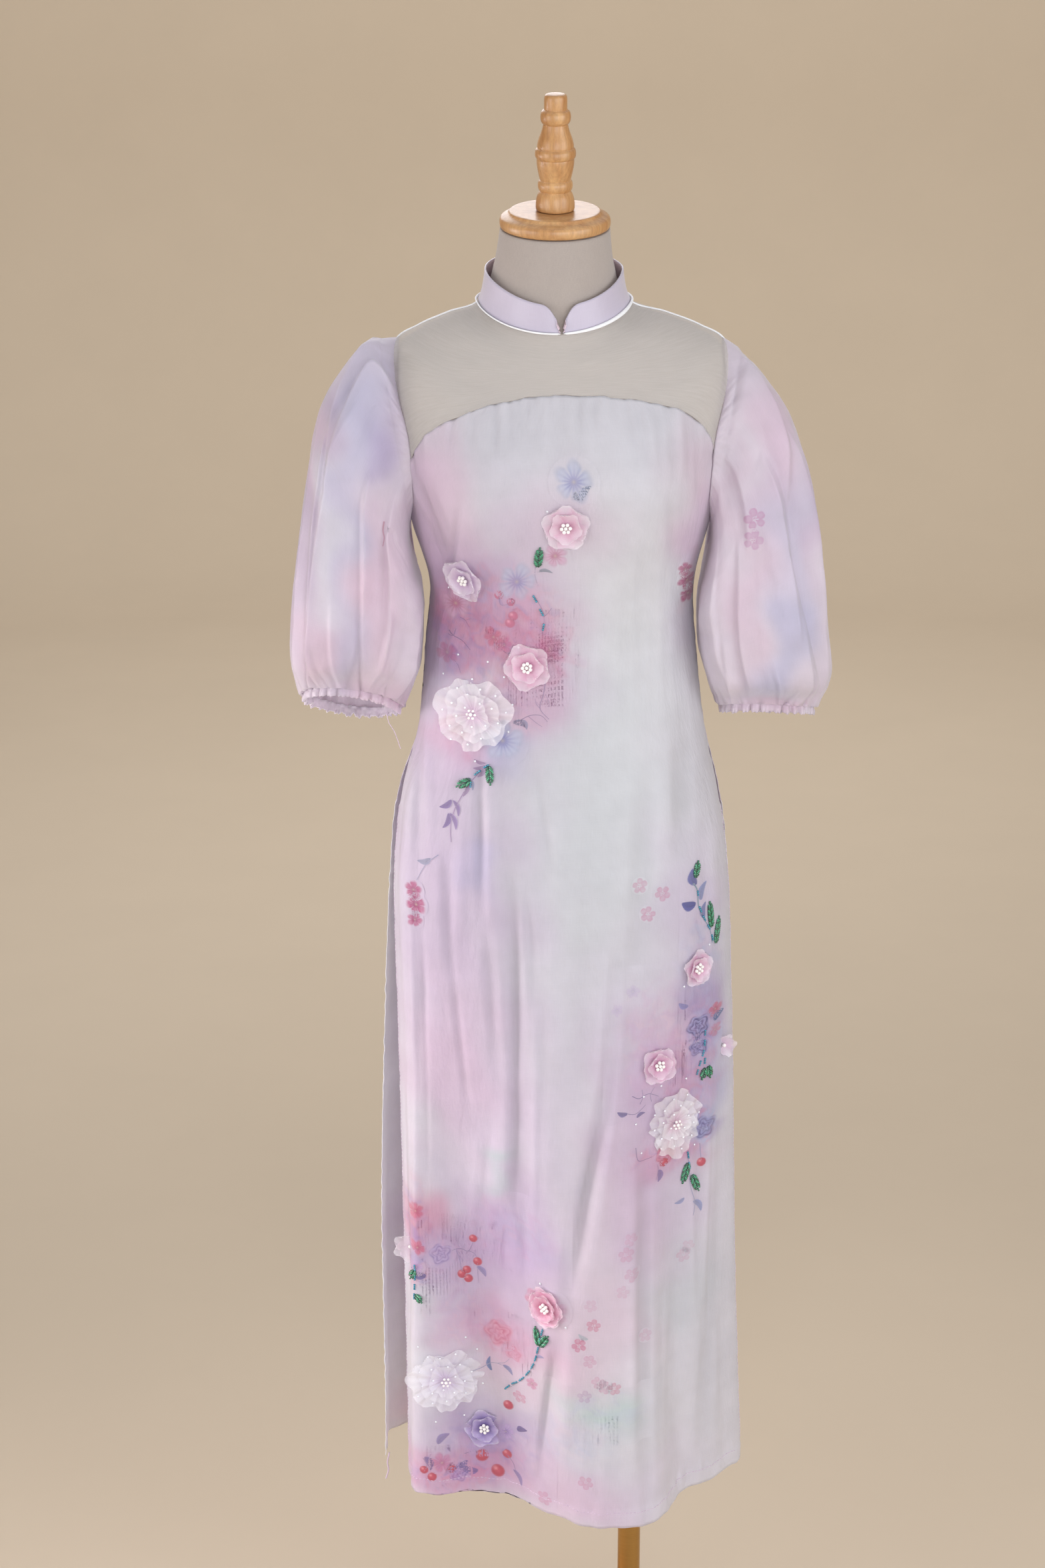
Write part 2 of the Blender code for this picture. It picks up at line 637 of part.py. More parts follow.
def make_back(yoke_finish, cloth_finish):
    left_hole = yoke_edge(1, ARMHOLE_BACK, 0.0, BACK_CORNER)
    right_hole = yoke_edge(-1, ARMHOLE_BACK, math.pi, BACK_CORNER)
    edge = np.full(BACK_COLUMNS + 1, left_hole[-1, 1])

    yoke = patch(left_hole[::-1], right_hole[::-1], edge, YOKE_FADE)[::-1]
    points = cloth_points(BACK_SECTIONS, yoke[..., 0], yoke[..., 1], BACK_FOLDS)
    wall("yoke_back", trimmed(points, top=True, bottom=True, sides=True), CLOTH, yoke_finish)

    left = side_edge(BACK_SECTIONS, 1, ARMHOLE_BACK, 0.0, BACK_CORNER)
    right = side_edge(BACK_SECTIONS, -1, ARMHOLE_BACK, math.pi, BACK_CORNER)
    grid = patch(left, right, edge, PANEL_FADE)
    points = cloth_points(BACK_SECTIONS, grid[..., 0], grid[..., 1], BACK_FOLDS)
    wall("back_panel", trimmed(points, top=True, sides=True), CLOTH, cloth_finish)


def collar_points(angle, level, ease):
    """Points round the neck at a distance outside the form, from the front back to the front."""
    angle = (angle + math.pi) % (2 * math.pi) - math.pi
    front = cloth_points(FORM_FRONT, angle, level, ease=ease)
    back = cloth_points(FORM_BACK, angle, level, ease=ease)
    return np.where((angle < 0)[..., None], front, back)


def make_collar(finish):
    """A band that is lower in front, whose ends part in a V with rounded upper corners."""
    rows = []
    for row in np.linspace(1, 0, COLLAR_ROWS + 1):
        open_by = COLLAR_FRONT_OPEN + COLLAR_V_SPREAD * row
        first = open_by + COLLAR_END_STOPS
        last = 2 * math.pi - first[::-1]
        middle = np.linspace(first[-1], last[0], COLLAR_COLUMNS + 1)[1:-1]
        around = np.concatenate([first, middle, last])
        from_end = np.minimum(around - around[0], around[-1] - around)
        corner = np.clip(1 - from_end / COLLAR_CORNER, 0, 1)
        drop = COLLAR_CORNER_DROP * (1 - np.sqrt(1 - corner**2))
        drop += COLLAR_FRONT_DROP * np.clip(np.cos(around), 0, 1) ** 2
        height = row * (1 - drop)
        level = COLLAR_FOOT_LEVEL + (COLLAR_TOP_LEVEL - COLLAR_FOOT_LEVEL) * height
        ease = COLLAR_EASE + COLLAR_FLARE * height
        rows.append(collar_points(COLLAR_OPENS_AT + around, level, ease))
    grid = trimmed(np.array(rows), bottom=True)
    wall("collar", grid, COLLAR_CLOTH, finish)


def make_binding(finish):
    """A thin rolled binding round the foot of the collar, open at centre front."""
    around = np.linspace(BINDING_OPEN, 2 * math.pi - BINDING_OPEN, BINDING_STEPS + 1)
    level = np.full(around.shape, float(NECK_LEVEL))
    rise = COLLAR_EASE + COLLAR_CLOTH + BINDING_RADIUS + SEAM_GAP
    route = collar_points(COLLAR_OPENS_AT + around, level, rise)
    curve = bpy.data.curves.new("neck_binding", "CURVE")
    curve.dimensions = "3D"
    curve.bevel_depth = BINDING_RADIUS
    curve.bevel_resolution = 1
    curve.use_fill_caps = True
    spline = curve.splines.new("POLY")
    spline.points.add(len(route) - 1)
    for point, place in zip(spline.points, route):
        point.co = (*place, 1.0)
    obj = bpy.data.objects.new("neck_binding", curve)
    bpy.context.scene.collection.objects.link(obj)
    curve.materials.append(finish)
    return obj


def armhole_loop(side):
    """The armhole's points, from the shoulder down the front and up the back."""
    around = np.linspace(0, 2 * math.pi, SLEEVE_COLUMNS, endpoint=False)
    part = np.where(around <= math.pi, around, 2 * math.pi - around) / math.pi
    is_front = around <= math.pi
    front_end, back_end = (-math.pi, math.pi) if side < 0 else (0.0, 0.0)
    front_way = 1 if side < 0 else -1
    front = armhole(part, front_way, ARMHOLE_FRONT, front_end)
    back = armhole(part, -front_way, ARMHOLE_BACK, back_end)
    on_front = cloth_points(FRONT_SECTIONS, front[:, 0], front[:, 1])
    on_back = cloth_points(BACK_SECTIONS, back[:, 0], back[:, 1])
    loop = np.where(is_front[:, None], on_front, on_back)
    return loop + np.array([side * (CLOTH + SLEEVE_CLEAR), 0, 0])


def sleeve_rings(side, sections):
    """Every section ring of a sleeve: its armhole loop, then its table's rows."""
    around = np.linspace(0, 2 * math.pi, SLEEVE_COLUMNS, endpoint=False)
    rings = [armhole_loop(side)]
    for outer_x, outer_z, inner_x, inner_z, front_y, back_y, lift in zip(*sections.values()):
        out = (1 + np.cos(around)) / 2
        depth = np.where(np.sin(around) > 0, front_y, -back_y)
        x = inner_x + (outer_x - inner_x) * out
        y = depth * np.sin(around)
        z = inner_z + (outer_z - inner_z) * out + lift * np.sin(around)
        rings.append(np.stack([x, y, z], axis=-1))
    return np.array(rings)


def loft(rings, place):
    """The ring at a place from 0, the first one, to 1, the last one."""
    flat = rings.reshape(len(rings), -1)
    level = np.array([place * (len(rings) - 1)])
    return np.array([smooth(column, level)[0] for column in flat.T]).reshape(-1, 3)


def ring_outward(ring):
    """Directions out of a ring, in its own plane."""
    along = np.roll(ring, -1, axis=0) - np.roll(ring, 1, axis=0)
    centre = ring.mean(axis=0)
    normal = np.cross(ring - centre, along).sum(axis=0)
    out = np.cross(along, normal / np.linalg.norm(normal))
    return out / np.linalg.norm(out, axis=-1, keepdims=True)


def sleeve_rise(folds, place):
    """How far folds, cap pleats and gathers move a sleeve's ring out."""
    degrees = np.arange(SLEEVE_COLUMNS) * 360 / SLEEVE_COLUMNS
    rise = np.zeros(SLEEVE_COLUMNS)

    def bump(angle, half_width):
        away = np.abs((degrees - angle + 180) % 360 - 180) / half_width
        return (1 - np.clip(away, 0, 1) ** 2) ** 2

    for angle, drift, half_width, out, start, end in zip(*folds.values()):
        if start < place < end:
            part = (place - start) / (end - start)
            rise += out * math.sin(math.pi * part) ** 0.7 * bump(angle + drift * part, half_width)
    for angle in CAP_PLEAT_ANGLES:
        if 0 < place < CAP_PLEAT_END:
            rise += CAP_PLEAT_RISE * (1 - place / CAP_PLEAT_END) * bump(angle, CAP_PLEAT_HALF_WIDTH)
    if place > GATHER_START:
        strength = ((place - GATHER_START) / (1 - GATHER_START)) ** 2
        rise += GATHER_RISE * strength * np.cos(math.pi * np.arange(SLEEVE_COLUMNS))
    return rise


def make_sleeve(name, side, sections, folds, finish):
    rings = sleeve_rings(side, sections)
    rows = []
    for place in SLEEVE_ROW_PLACES:
        ring = loft(rings, place)
        rows.append(ring + ring_outward(ring) * sleeve_rise(folds, place)[:, None])
    wall("sleeve_" + name, np.array(rows), CLOTH, finish, closed=True, flip=side > 0)

    last = loft(rings, 1.0)
    away = last.mean(axis=0) - loft(rings, 0.98).mean(axis=0)
    normal = np.cross(last - last.mean(axis=0), np.roll(last, -1, axis=0) - last).sum(axis=0)
    normal *= np.sign(np.dot(normal, away)) / np.linalg.norm(normal)
    waves = GATHER_RISE * np.cos(math.pi * np.arange(SLEEVE_COLUMNS))
    rows = []
    for row in range(CUFF_ROWS + 1):
        down = CUFF_GAP + CUFF_HEIGHT * row / CUFF_ROWS
        rows.append(last + normal * down + ring_outward(last) * waves[:, None])
    wall("cuff_" + name, np.array(rows), CUFF_CLOTH, finish, closed=True, flip=side > 0)


def outer_face_at(grid, x, z):
    """The y of a panel's outer face at x and z, read from its own triangles."""
    points = grid.reshape(-1, 3)
    corners = points[np.array(grid_faces(grid.shape[0] - 1, grid.shape[1] - 1))]
    a, b, c = corners[:, 0], corners[:, 1], corners[:, 2]
    normal = np.cross(b - a, c - a)
    thickness = CLOTH * np.linalg.norm(normal, axis=-1) / np.abs(normal[:, 1])
    area = (b[:, 0] - a[:, 0]) * (c[:, 2] - a[:, 2]) - (c[:, 0] - a[:, 0]) * (b[:, 2] - a[:, 2])
    found = []
    for px, pz in zip(x, z):
        second = ((px - a[:, 0]) * (c[:, 2] - a[:, 2]) - (c[:, 0] - a[:, 0]) * (pz - a[:, 2])) / area
        third = ((b[:, 0] - a[:, 0]) * (pz - a[:, 2]) - (px - a[:, 0]) * (b[:, 2] - a[:, 2])) / area
        first = 1 - second - third
        inside = (first >= 0) & (second >= 0) & (third >= 0)
        y = first * a[:, 1] + second * b[:, 1] + third * c[:, 1] - thickness
        found.append(y[inside].min())
    return np.array(found)


def make_flower(name, panel, x, z, radius, petals, turn, finish):
    """Petals in one sheet: it sits on the panel at its centre and lifts towards its rim."""
    count = int(petals) * POINTS_PER_PETAL
    start = math.radians(turn)
    around = np.linspace(start, start + 2 * math.pi, count, endpoint=False)
    crest = (1 - np.cos((around - start) * petals)) / 2
    rings = math.ceil(radius / PETAL_RING_STEP)
    shares = np.repeat(np.linspace(0, 1, rings + 1)[1:], count)
    around = np.tile(around, rings)
    crest = np.tile(crest, rings)
    reach = radius * shares * (1 - PETAL_NOTCH * (1 - crest) * shares)
    xs = np.append(x, x + reach * np.cos(around))
    zs = np.append(z, z + reach * np.sin(around))
    lift = np.append(0, PETAL_LIFT * shares**2 * (PETAL_NOTCH_LIFT + (1 - PETAL_NOTCH_LIFT) * crest))
    y = outer_face_at(panel, xs, zs)

    slope_x = np.array([x - radius / 2, x + radius / 2])
    slope_y = outer_face_at(panel, slope_x, np.array([z, z]))
    normal = np.array([slope_y[1] - slope_y[0], slope_x[0] - slope_x[1], 0.0])
    normal /= np.linalg.norm(normal)
    points = np.stack([xs, y, zs], axis=-1) + normal * (FLOWER_CLEAR / abs(normal[1]) + lift)[:, None]
    faces = [(0, 1 + i, 1 + (i + 1) % count) for i in range(count)]
    faces += [tuple(1 + corner for corner in face) for face in grid_faces(rings - 1, count, closed=True)]
    obj = mesh_object(name, points, faces, finish)
    solidify = obj.modifiers.new("cloth", "SOLIDIFY")
    solidify.thickness = FLOWER_CLOTH
    solidify.offset = 1


def clear_scene():
    for obj in list(bpy.data.objects):
        bpy.data.objects.remove(obj, do_unlink=True)


def main():
    clear_scene()
    greige = material("form_jersey", (0.55, 0.50, 0.44), 0.85)
    wood = material("turned_wood", (0.56, 0.33, 0.15), 0.35)
    gold = material("gold_metal", (0.80, 0.60, 0.25), 0.25, 1.0)
    satin = material("collar_satin", (0.86, 0.80, 0.88), 0.50)
    white = material("white_binding", (0.92, 0.91, 0.93), 0.55)
    net = material("yoke_net", (0.60, 0.56, 0.52), 0.80)
    silk = material("printed_silk", (0.88, 0.84, 0.89), 0.55)
    sleeve_silk = material("sleeve_silk", (0.85, 0.78, 0.88), 0.50)
    organza = material("organza", (0.93, 0.76, 0.85), 0.50)

    make_form(greige)
    turned("neck_cap", NECK_CAP_PROFILE, 28, wood, NECK_CENTRE, NECK_LEAN)
    turned("finial", FINIAL_PROFILE, TURNED_SIDES, wood, NECK_CENTRE, NECK_LEAN)
    form_bottom = FORM["side_z"][-1]
    pole_profile = ((POLE_RADIUS, BASE_HEIGHT + SEAM_GAP), (POLE_RADIUS, form_bottom - SEAM_GAP))
    turned("pole", pole_profile, TURNED_SIDES, gold, (POLE_X, 0, 0))
    turned("base", BASE_PROFILE, BASE_SIDES, wood)

    make_collar(satin)
    make_binding(white)
    panel = make_front(net, silk)
    make_back(net, silk)
    make_sleeve("right", -1, RIGHT_SLEEVE, RIGHT_SLEEVE_FOLDS, sleeve_silk)
    make_sleeve("left", 1, LEFT_SLEEVE, LEFT_SLEEVE_FOLDS, sleeve_silk)
    for name, place in zip(FLOWER_NAMES, zip(*FLOWERS.values())):
        make_flower(name, panel, *place, organza)


main()
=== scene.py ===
"""The looks of an ao dai tunic on a limbless dress form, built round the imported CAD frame.

Metres, +Z up, and the front faces -Y. Left and right are the wearer's, so left is +X. Cloth is a
fine grid on the same sections as the solids: an angle round the body by a level down it.
"""

import math

import bpy
import numpy as np
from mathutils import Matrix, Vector
from mathutils.bvhtree import BVHTree


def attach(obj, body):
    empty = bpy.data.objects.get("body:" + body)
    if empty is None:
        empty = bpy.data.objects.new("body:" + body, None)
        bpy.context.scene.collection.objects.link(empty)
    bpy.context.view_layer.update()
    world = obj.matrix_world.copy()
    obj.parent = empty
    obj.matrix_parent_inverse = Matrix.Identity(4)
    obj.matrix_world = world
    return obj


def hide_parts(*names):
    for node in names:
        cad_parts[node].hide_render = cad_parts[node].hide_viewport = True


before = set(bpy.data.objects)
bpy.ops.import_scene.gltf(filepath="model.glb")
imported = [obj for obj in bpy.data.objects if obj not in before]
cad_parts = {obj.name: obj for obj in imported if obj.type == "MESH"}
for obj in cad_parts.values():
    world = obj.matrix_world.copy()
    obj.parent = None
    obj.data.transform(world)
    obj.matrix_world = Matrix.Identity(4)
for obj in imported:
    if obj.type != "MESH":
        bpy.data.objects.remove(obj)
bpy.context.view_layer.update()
rng = np.random.default_rng(7)

# Cloth
CLOTH = 0.0012
EASE = 0.0018
COLLAR_CLOTH = 0.0016
COLLAR_EASE = 0.0030
SHELL = 0.0007
CREASE_DEPTH = 1.5

# Levels of the section tables where a piece starts or ends
COLLAR_TOP_LEVEL = 1.12
COLLAR_FOOT_LEVEL = 1.97
NECK_LEVEL = 2
SHOULDER_LEVEL = 5.25
UNDERARM_LEVEL = 8
SLIT_LEVEL = 11
HEM_LEVEL = 19

FORM_INSET = 0.0028
FORM_INSET_LEVELS = (3.6, 5.0)
ARMHOLE_FRONT = math.radians(27)
ARMHOLE_BACK = math.radians(25)
BODICE_CORNER_RIGHT = 0.64
BODICE_CORNER_LEFT = 0.60
BACK_CORNER = 0.66
BUST_X = 0.082
BUST_Z = 1.352
BUST_RADIUS_X = 0.052
BUST_RADIUS_Z = 0.062
BUST_RISE = 0.017

# Fine grid steps
FRONT_COLUMNS = 150
BACK_COLUMNS = 120
YOKE_ROWS = 44
PANEL_ROWS = 312
FORM_COLUMNS = 112
FORM_ROWS = 150
FORM_LID_SHARES = (0.02, 0.5, 0.96, 0.985)
SLEEVE_COLUMNS = 280
SLEEVE_ROWS = 96
COLLAR_COLUMNS = 120
COLLAR_END_COLUMNS = 12
COLLAR_ROWS = 12
BINDING_STEPS = 144
CUFF_ROWS = 10
PANEL_FADE = 2
EDGE_STEPS = 40
SIDE_COLUMN_SHARE = 0.12
YOKE_FADE = 1

# Collar and its binding
COLLAR_OPENS_AT = math.radians(-85)
COLLAR_FRONT_OPEN = math.radians(0.6)
COLLAR_V_SPREAD = math.radians(3.5)
COLLAR_CORNER = math.radians(12)
COLLAR_CORNER_DROP = 0.5
COLLAR_FRONT_DROP = 0.32
COLLAR_FLARE = 0.0030
COLLAR_COLOUR = (0.765, 0.735, 0.80)
BINDING_OPEN = math.radians(0.9)
BINDING_DEPTH = 0.0013
BINDING_PLACES = (0, 0.5, 1.0, 1.7, 5.0, 2 * math.pi)
BINDING_HALF_WIDTHS = (0.0010, 0.0017, 0.0019, 0.0007, 0.0007, 0.0010)

# Sleeve head, gathers and the turned seam
CAP_PLEAT_ANGLES = (-60, -36, -12, 12, 36, 60)
CAP_PLEAT_HALF_WIDTH = 14
CAP_PLEAT_RISE = 0.0030
CAP_PLEAT_END = 0.20
LIP_SLOPE = 3.6
GATHER_RISE = 0.0026
GATHER_START = 0.60
GATHERS = 26
SLEEVE_CLEAR = 0.0012
INNER_FULLNESS = 0.52
# Painted shade: how far the sleeve's colour darkens per metre of pucker depth, in the puckers'
# valleys above the cuff.
PAINTED_PUCKER_SHADE = 26.0
# Painted shade in the body creases' troughs and painted light on their ridges, per metre of rise.
PAINTED_CREASE_LIGHT_AND_SHADE = 16.0
SLEEVE_LENGTH = 0.36
SEAM_SPREAD = math.radians(5.5)
SEAM_LIFT = 0.0006
SEAM_SWAY_PLACES = (0.0, 0.3, 0.48, 0.6, 0.74, 0.84, 0.92, 1.0)
SEAM_SWAYS = (0.0, 0.0, -2.0, -2.4, 1.0, 5.0, 6.0, 0.0)
HEAD_SKIP = 5
HEAD_LAP = 0.0085
HEAD_RISE = 0.0170
HEAD_BULGE = 0.0018
HEAD_SHARES = (0.0, 0.12, 0.3, 0.5, 0.7, 0.86)
CAP_TUCKS = 46
FILL_ROWS = 36
FILL_START, FILL_FULL = 92, 128
FILL_SHARE = 0.90
FILL_INWARD = 0.45
CAP_SHIFT_PLACES = (0.0, 0.02, 0.05, 0.085, 0.12, 0.18, 0.25)
CAP_SHIFTS = (0.0085, 0.0090, 0.0052, -0.0015, -0.0045, -0.0025, 0.0)
CUFF_GAP = 0.0007
CUFF_HEIGHT = 0.010
CUFF_CLOTH = 0.0014
CUFF_FRILL = 0.0010
CUFF_DRAW = 0.085
PUFF_START = 0.78
PUFF_FULLNESS = 0.055
PUFF_HANG = 0.0050
PUCKERS = 30
PUCKER_WIDTHS = (3.5, 8.0)
PUCKER_LENGTHS = (0.10, 0.40)
PUCKER_DEPTHS = (0.0020, 0.0066)
CUFF_SCALLOP = 0.0013

# Hems, print and trimmings
NET_SHELL = 0.0004
FRONT_TOP_GATHER = 0.0013
BACK_TOP_GATHER = 0.0009
SLIT_TOP = 1.022
HEM_BAND = 0.018
SLIT_BAND = 0.008
EDGE_FALL = 0.0022
HEM_RISE = 0.0009
EDGE_PALENESS = 0.85
EDGE_PALE_WIDTH = 0.0032
HEM_WANDER = 0.0016
BEAD_SHADES = (0.72, 1.0, 1.35)
ZIP_FOOT = 1.02
ZIP_GROOVE = 0.0009
PRINT_LIFT = 0.00034
FIELD_STEP = 0.0018
FIELD_REACH = 0.152
BEAD_LIFT = 0.0010
BUGLE_RADIUS = 0.00100
HEART_COLOUR = (0.94, 0.90, 0.78)

# Stand
NECK_CENTRE = (-0.007, 0.0, 1.5955)
NECK_LEAN = math.radians(11.2)
POLE_X = 0.079
POLE_RADIUS = 0.01225
BASE_HEIGHT = 0.018
GAP = 0.0003

# Petals, pearls, cut stones and stitches
PEARL_RADIUS = 0.0019
SMALL_PEARL_RADIUS = 0.0014
STONES_IN_ROSETTE = 22
PEARLS_IN_ROSETTE = 6
GOLDEN_ANGLE = 2.39996
PETAL_CURL = 0.0010
STONE_RADIUS = 0.0011
# A cut stone's rings: share of its radius, height and twist.
STONE_RINGS = ((1.0, 0.0, 0.0), (1.0, 0.22, 0.0), (0.55, 0.6, math.pi / 8), (0.02, 0.6, 0))
STITCH_LENGTH = 0.0026
HEM_STITCH_GAP = 0.0016
SLIT_STITCH_GAP = 0.0018
HEM_STITCH_RADIUS = 0.00034
SLIT_STITCH_RADIUS = 0.00030
HEM_STITCH_INSET = 0.0016
SLIT_STITCH_INSET = 0.0012

# Colours of what has one colour
JERSEY_COLOUR = (0.680, 0.640, 0.612)
GOLD_COLOUR = (0.74, 0.58, 0.34)
NET_COLOUR = (0.90, 0.88, 0.86)
WOOD_LIGHT = (0.83, 0.655, 0.45)
WOOD_DARK = (0.70, 0.49, 0.29)
PEARL_COLOUR = (0.97, 0.955, 0.95)
STONE_COLOUR = (0.93, 0.94, 0.97)

# Camera and the world's even light
CAMERA_PLACE = (-0.0383, -2.6142, 1.7599)
CAMERA_DIP = 15.387
CAMERA_LENS = 61.2245
CAMERA_FILM = 36
WORLD_COLOUR = (0.935, 0.935, 0.945)
WORLD_STRENGTH = 0.76


def table(columns, rows):
    """A table as {column name: array}."""
    values = np.array(rows, float)
    return {name: values[:, i] for i, name in enumerate(columns.split())}


# The form's sections, from the top of the neck to its flat underside. Each row gives the sides'
# places and height, then the middles of its front and back halves. Roundness 2 is an ellipse and
# more is squarer. Roll says how the height turns from side to middle: 1 is a flat tilted cut.
FORM = table(
    "right_x left_x side_z front_y front_z back_y back_z roundness roll",
    [
        (-0.0600, 0.0460, 1.5955, -0.0530, 1.5850, 0.0530, 1.6060, 2.0, 1.0),
        (-0.0663, 0.0503, 1.5600, -0.0575, 1.5440, 0.0605, 1.5730, 2.0, 1.0),
        (-0.0790, 0.0640, 1.5240, -0.0640, 1.4995, 0.0720, 1.5370, 2.0, 1.3),
        (-0.1090, 0.1000, 1.5125, -0.0760, 1.4700, 0.0880, 1.5080, 2.1, 2.0),
        (-0.1380, 0.1330, 1.5000, -0.0880, 1.4400, 0.0980, 1.4760, 2.2, 2.0),
        (-0.1610, 0.1580, 1.4830, -0.0990, 1.4110, 0.1050, 1.4410, 2.3, 2.0),
        (-0.1655, 0.1640, 1.4350, -0.1080, 1.3860, 0.1050, 1.4020, 2.4, 2.0),
        (-0.1580, 0.1570, 1.3750, -0.1140, 1.3580, 0.1020, 1.3640, 2.4, 2.0),
        (-0.1450, 0.1430, 1.3150, -0.1110, 1.3140, 0.0960, 1.3150, 2.4, 2.0),
        (-0.1275, 0.1290, 1.2550, -0.0985, 1.2550, 0.0870, 1.2550, 2.3, 2.0),
        (-0.1320, 0.1312, 1.1950, -0.0890, 1.1950, 0.0800, 1.1950, 2.2, 2.0),
        (-0.1407, 0.1424, 1.1050, -0.0920, 1.1050, 0.0930, 1.1050, 2.2, 2.0),
        (-0.1600, 0.1610, 1.0100, -0.0985, 1.0100, 0.1160, 1.0100, 2.2, 2.0),
        (-0.1690, 0.1685, 0.9200, -0.1000, 0.9200, 0.1260, 0.9200, 2.2, 2.0),
        (-0.1670, 0.1670, 0.8500, -0.0950, 0.8500, 0.1180, 0.8500, 2.2, 2.0),
        (-0.1580, 0.1580, 0.7900, -0.0880, 0.7900, 0.1070, 0.7900, 2.2, 2.0),
    ],
)

# The skirts below the slits: where each panel's two slit edges hang, and its middle.
SKIRT_COLUMNS = "side_z right_x right_y left_x left_y middle_y roundness"
FRONT_SKIRT = table(
    SKIRT_COLUMNS,
    [
        (1.0300, -0.1590, -0.0040, 0.1580, -0.0010, -0.0985, 2.2),
        (0.9500, -0.1660, -0.0060, 0.1690, 0.0005, -0.1060, 2.2),
        (0.8500, -0.1650, -0.0090, 0.1740, 0.0030, -0.1100, 2.2),
        (0.7300, -0.1625, -0.0100, 0.1785, 0.0060, -0.1140, 2.2),
        (0.6100, -0.1610, -0.0090, 0.1825, 0.0090, -0.1180, 2.2),
        (0.4900, -0.1600, -0.0080, 0.1870, 0.0110, -0.1200, 2.2),
        (0.3800, -0.1595, -0.0060, 0.1920, 0.0130, -0.1220, 2.2),
        (0.2760, -0.1590, -0.0040, 0.1965, 0.0150, -0.1240, 2.2),
    ],
)
BACK_SKIRT = table(
    SKIRT_COLUMNS,
    [
        (1.0300, -0.1625, 0.0020, 0.1600, 0.0050, 0.1120, 2.2),
        (0.9500, -0.1705, 0.0035, 0.1690, 0.0080, 0.1270, 2.2),
        (0.8500, -0.1755, 0.0030, 0.1720, 0.0120, 0.1320, 2.2),
        (0.7300, -0.1800, 0.0000, 0.1745, 0.0180, 0.1350, 2.2),
        (0.6100, -0.1835, -0.0060, 0.1765, 0.0230, 0.1390, 2.2),
        (0.4900, -0.1835, -0.0070, 0.1800, 0.0260, 0.1430, 2.2),
        (0.3800, -0.1835, -0.0020, 0.1840, 0.0280, 0.1470, 2.2),
        (0.2760, -0.1845, 0.0060, 0.1890, 0.0300, 0.1510, 2.2),
    ],
)

# The upper edge of the bodice under the sheer yoke, from right to left between the armholes.
BODICE_EDGE = table(
    "x z",
    [
        (-0.1400, 1.3880),
        (-0.1250, 1.4095),
        (-0.0990, 1.4240),
        (-0.0680, 1.4360),
        (-0.0340, 1.4430),
        (0.0000, 1.4450),
        (0.0340, 1.4440),
        (0.0680, 1.4405),
        (0.1000, 1.4335),
        (0.1240, 1.4220),
        (0.1390, 1.4030),
    ],
)

# Folds of a panel. Across runs 0 to 1 round the panel, from its right edge on the front and from
# its left edge on the back. Each fold starts at a height, is full at a lower one and has faded
# again at its end, which may lie below the hem. Out is its rise, a trough where it is negative.
FOLD_COLUMNS = "across_top across_hem half_width out start_z full_z end_z"
FRONT_FOLDS = table(
    FOLD_COLUMNS,
    [
        (0.16, 0.145, 0.075, 0.0090, 0.98, 0.50, 0.00),
        (0.27, 0.330, 0.190, -0.0450, 1.02, 0.30, 0.00),
        (0.50, 0.575, 0.130, 0.0200, 0.98, 0.36, 0.00),
        (0.70, 0.765, 0.135, -0.0300, 0.95, 0.32, 0.00),
        (0.86, 0.890, 0.100, -0.0160, 0.95, 0.32, 0.00),
        (0.20, 0.200, 0.070, -0.0030, 1.37, 1.30, 1.18),
        (0.13, 0.130, 0.060, 0.0030, 1.34, 1.27, 1.16),
        (0.13, 0.130, 0.060, 0.0040, 1.12, 1.02, 0.80),
        (0.74, 0.740, 0.070, 0.0030, 1.06, 0.98, 0.80),
    ],
)
BACK_FOLDS = table(
    FOLD_COLUMNS,
    [
        (0.14, 0.120, 0.090, -0.0100, 0.90, 0.40, 0.00),
        (0.28, 0.260, 0.110, 0.0150, 0.92, 0.36, 0.00),
        (0.45, 0.440, 0.120, -0.0180, 0.94, 0.36, 0.00),
        (0.60, 0.620, 0.110, 0.0130, 0.94, 0.40, 0.00),
        (0.76, 0.780, 0.090, -0.0120, 0.90, 0.40, 0.00),
        (0.89, 0.900, 0.070, 0.0080, 0.88, 0.45, 0.00),
    ],
)
FOLD_FADE = 0.10

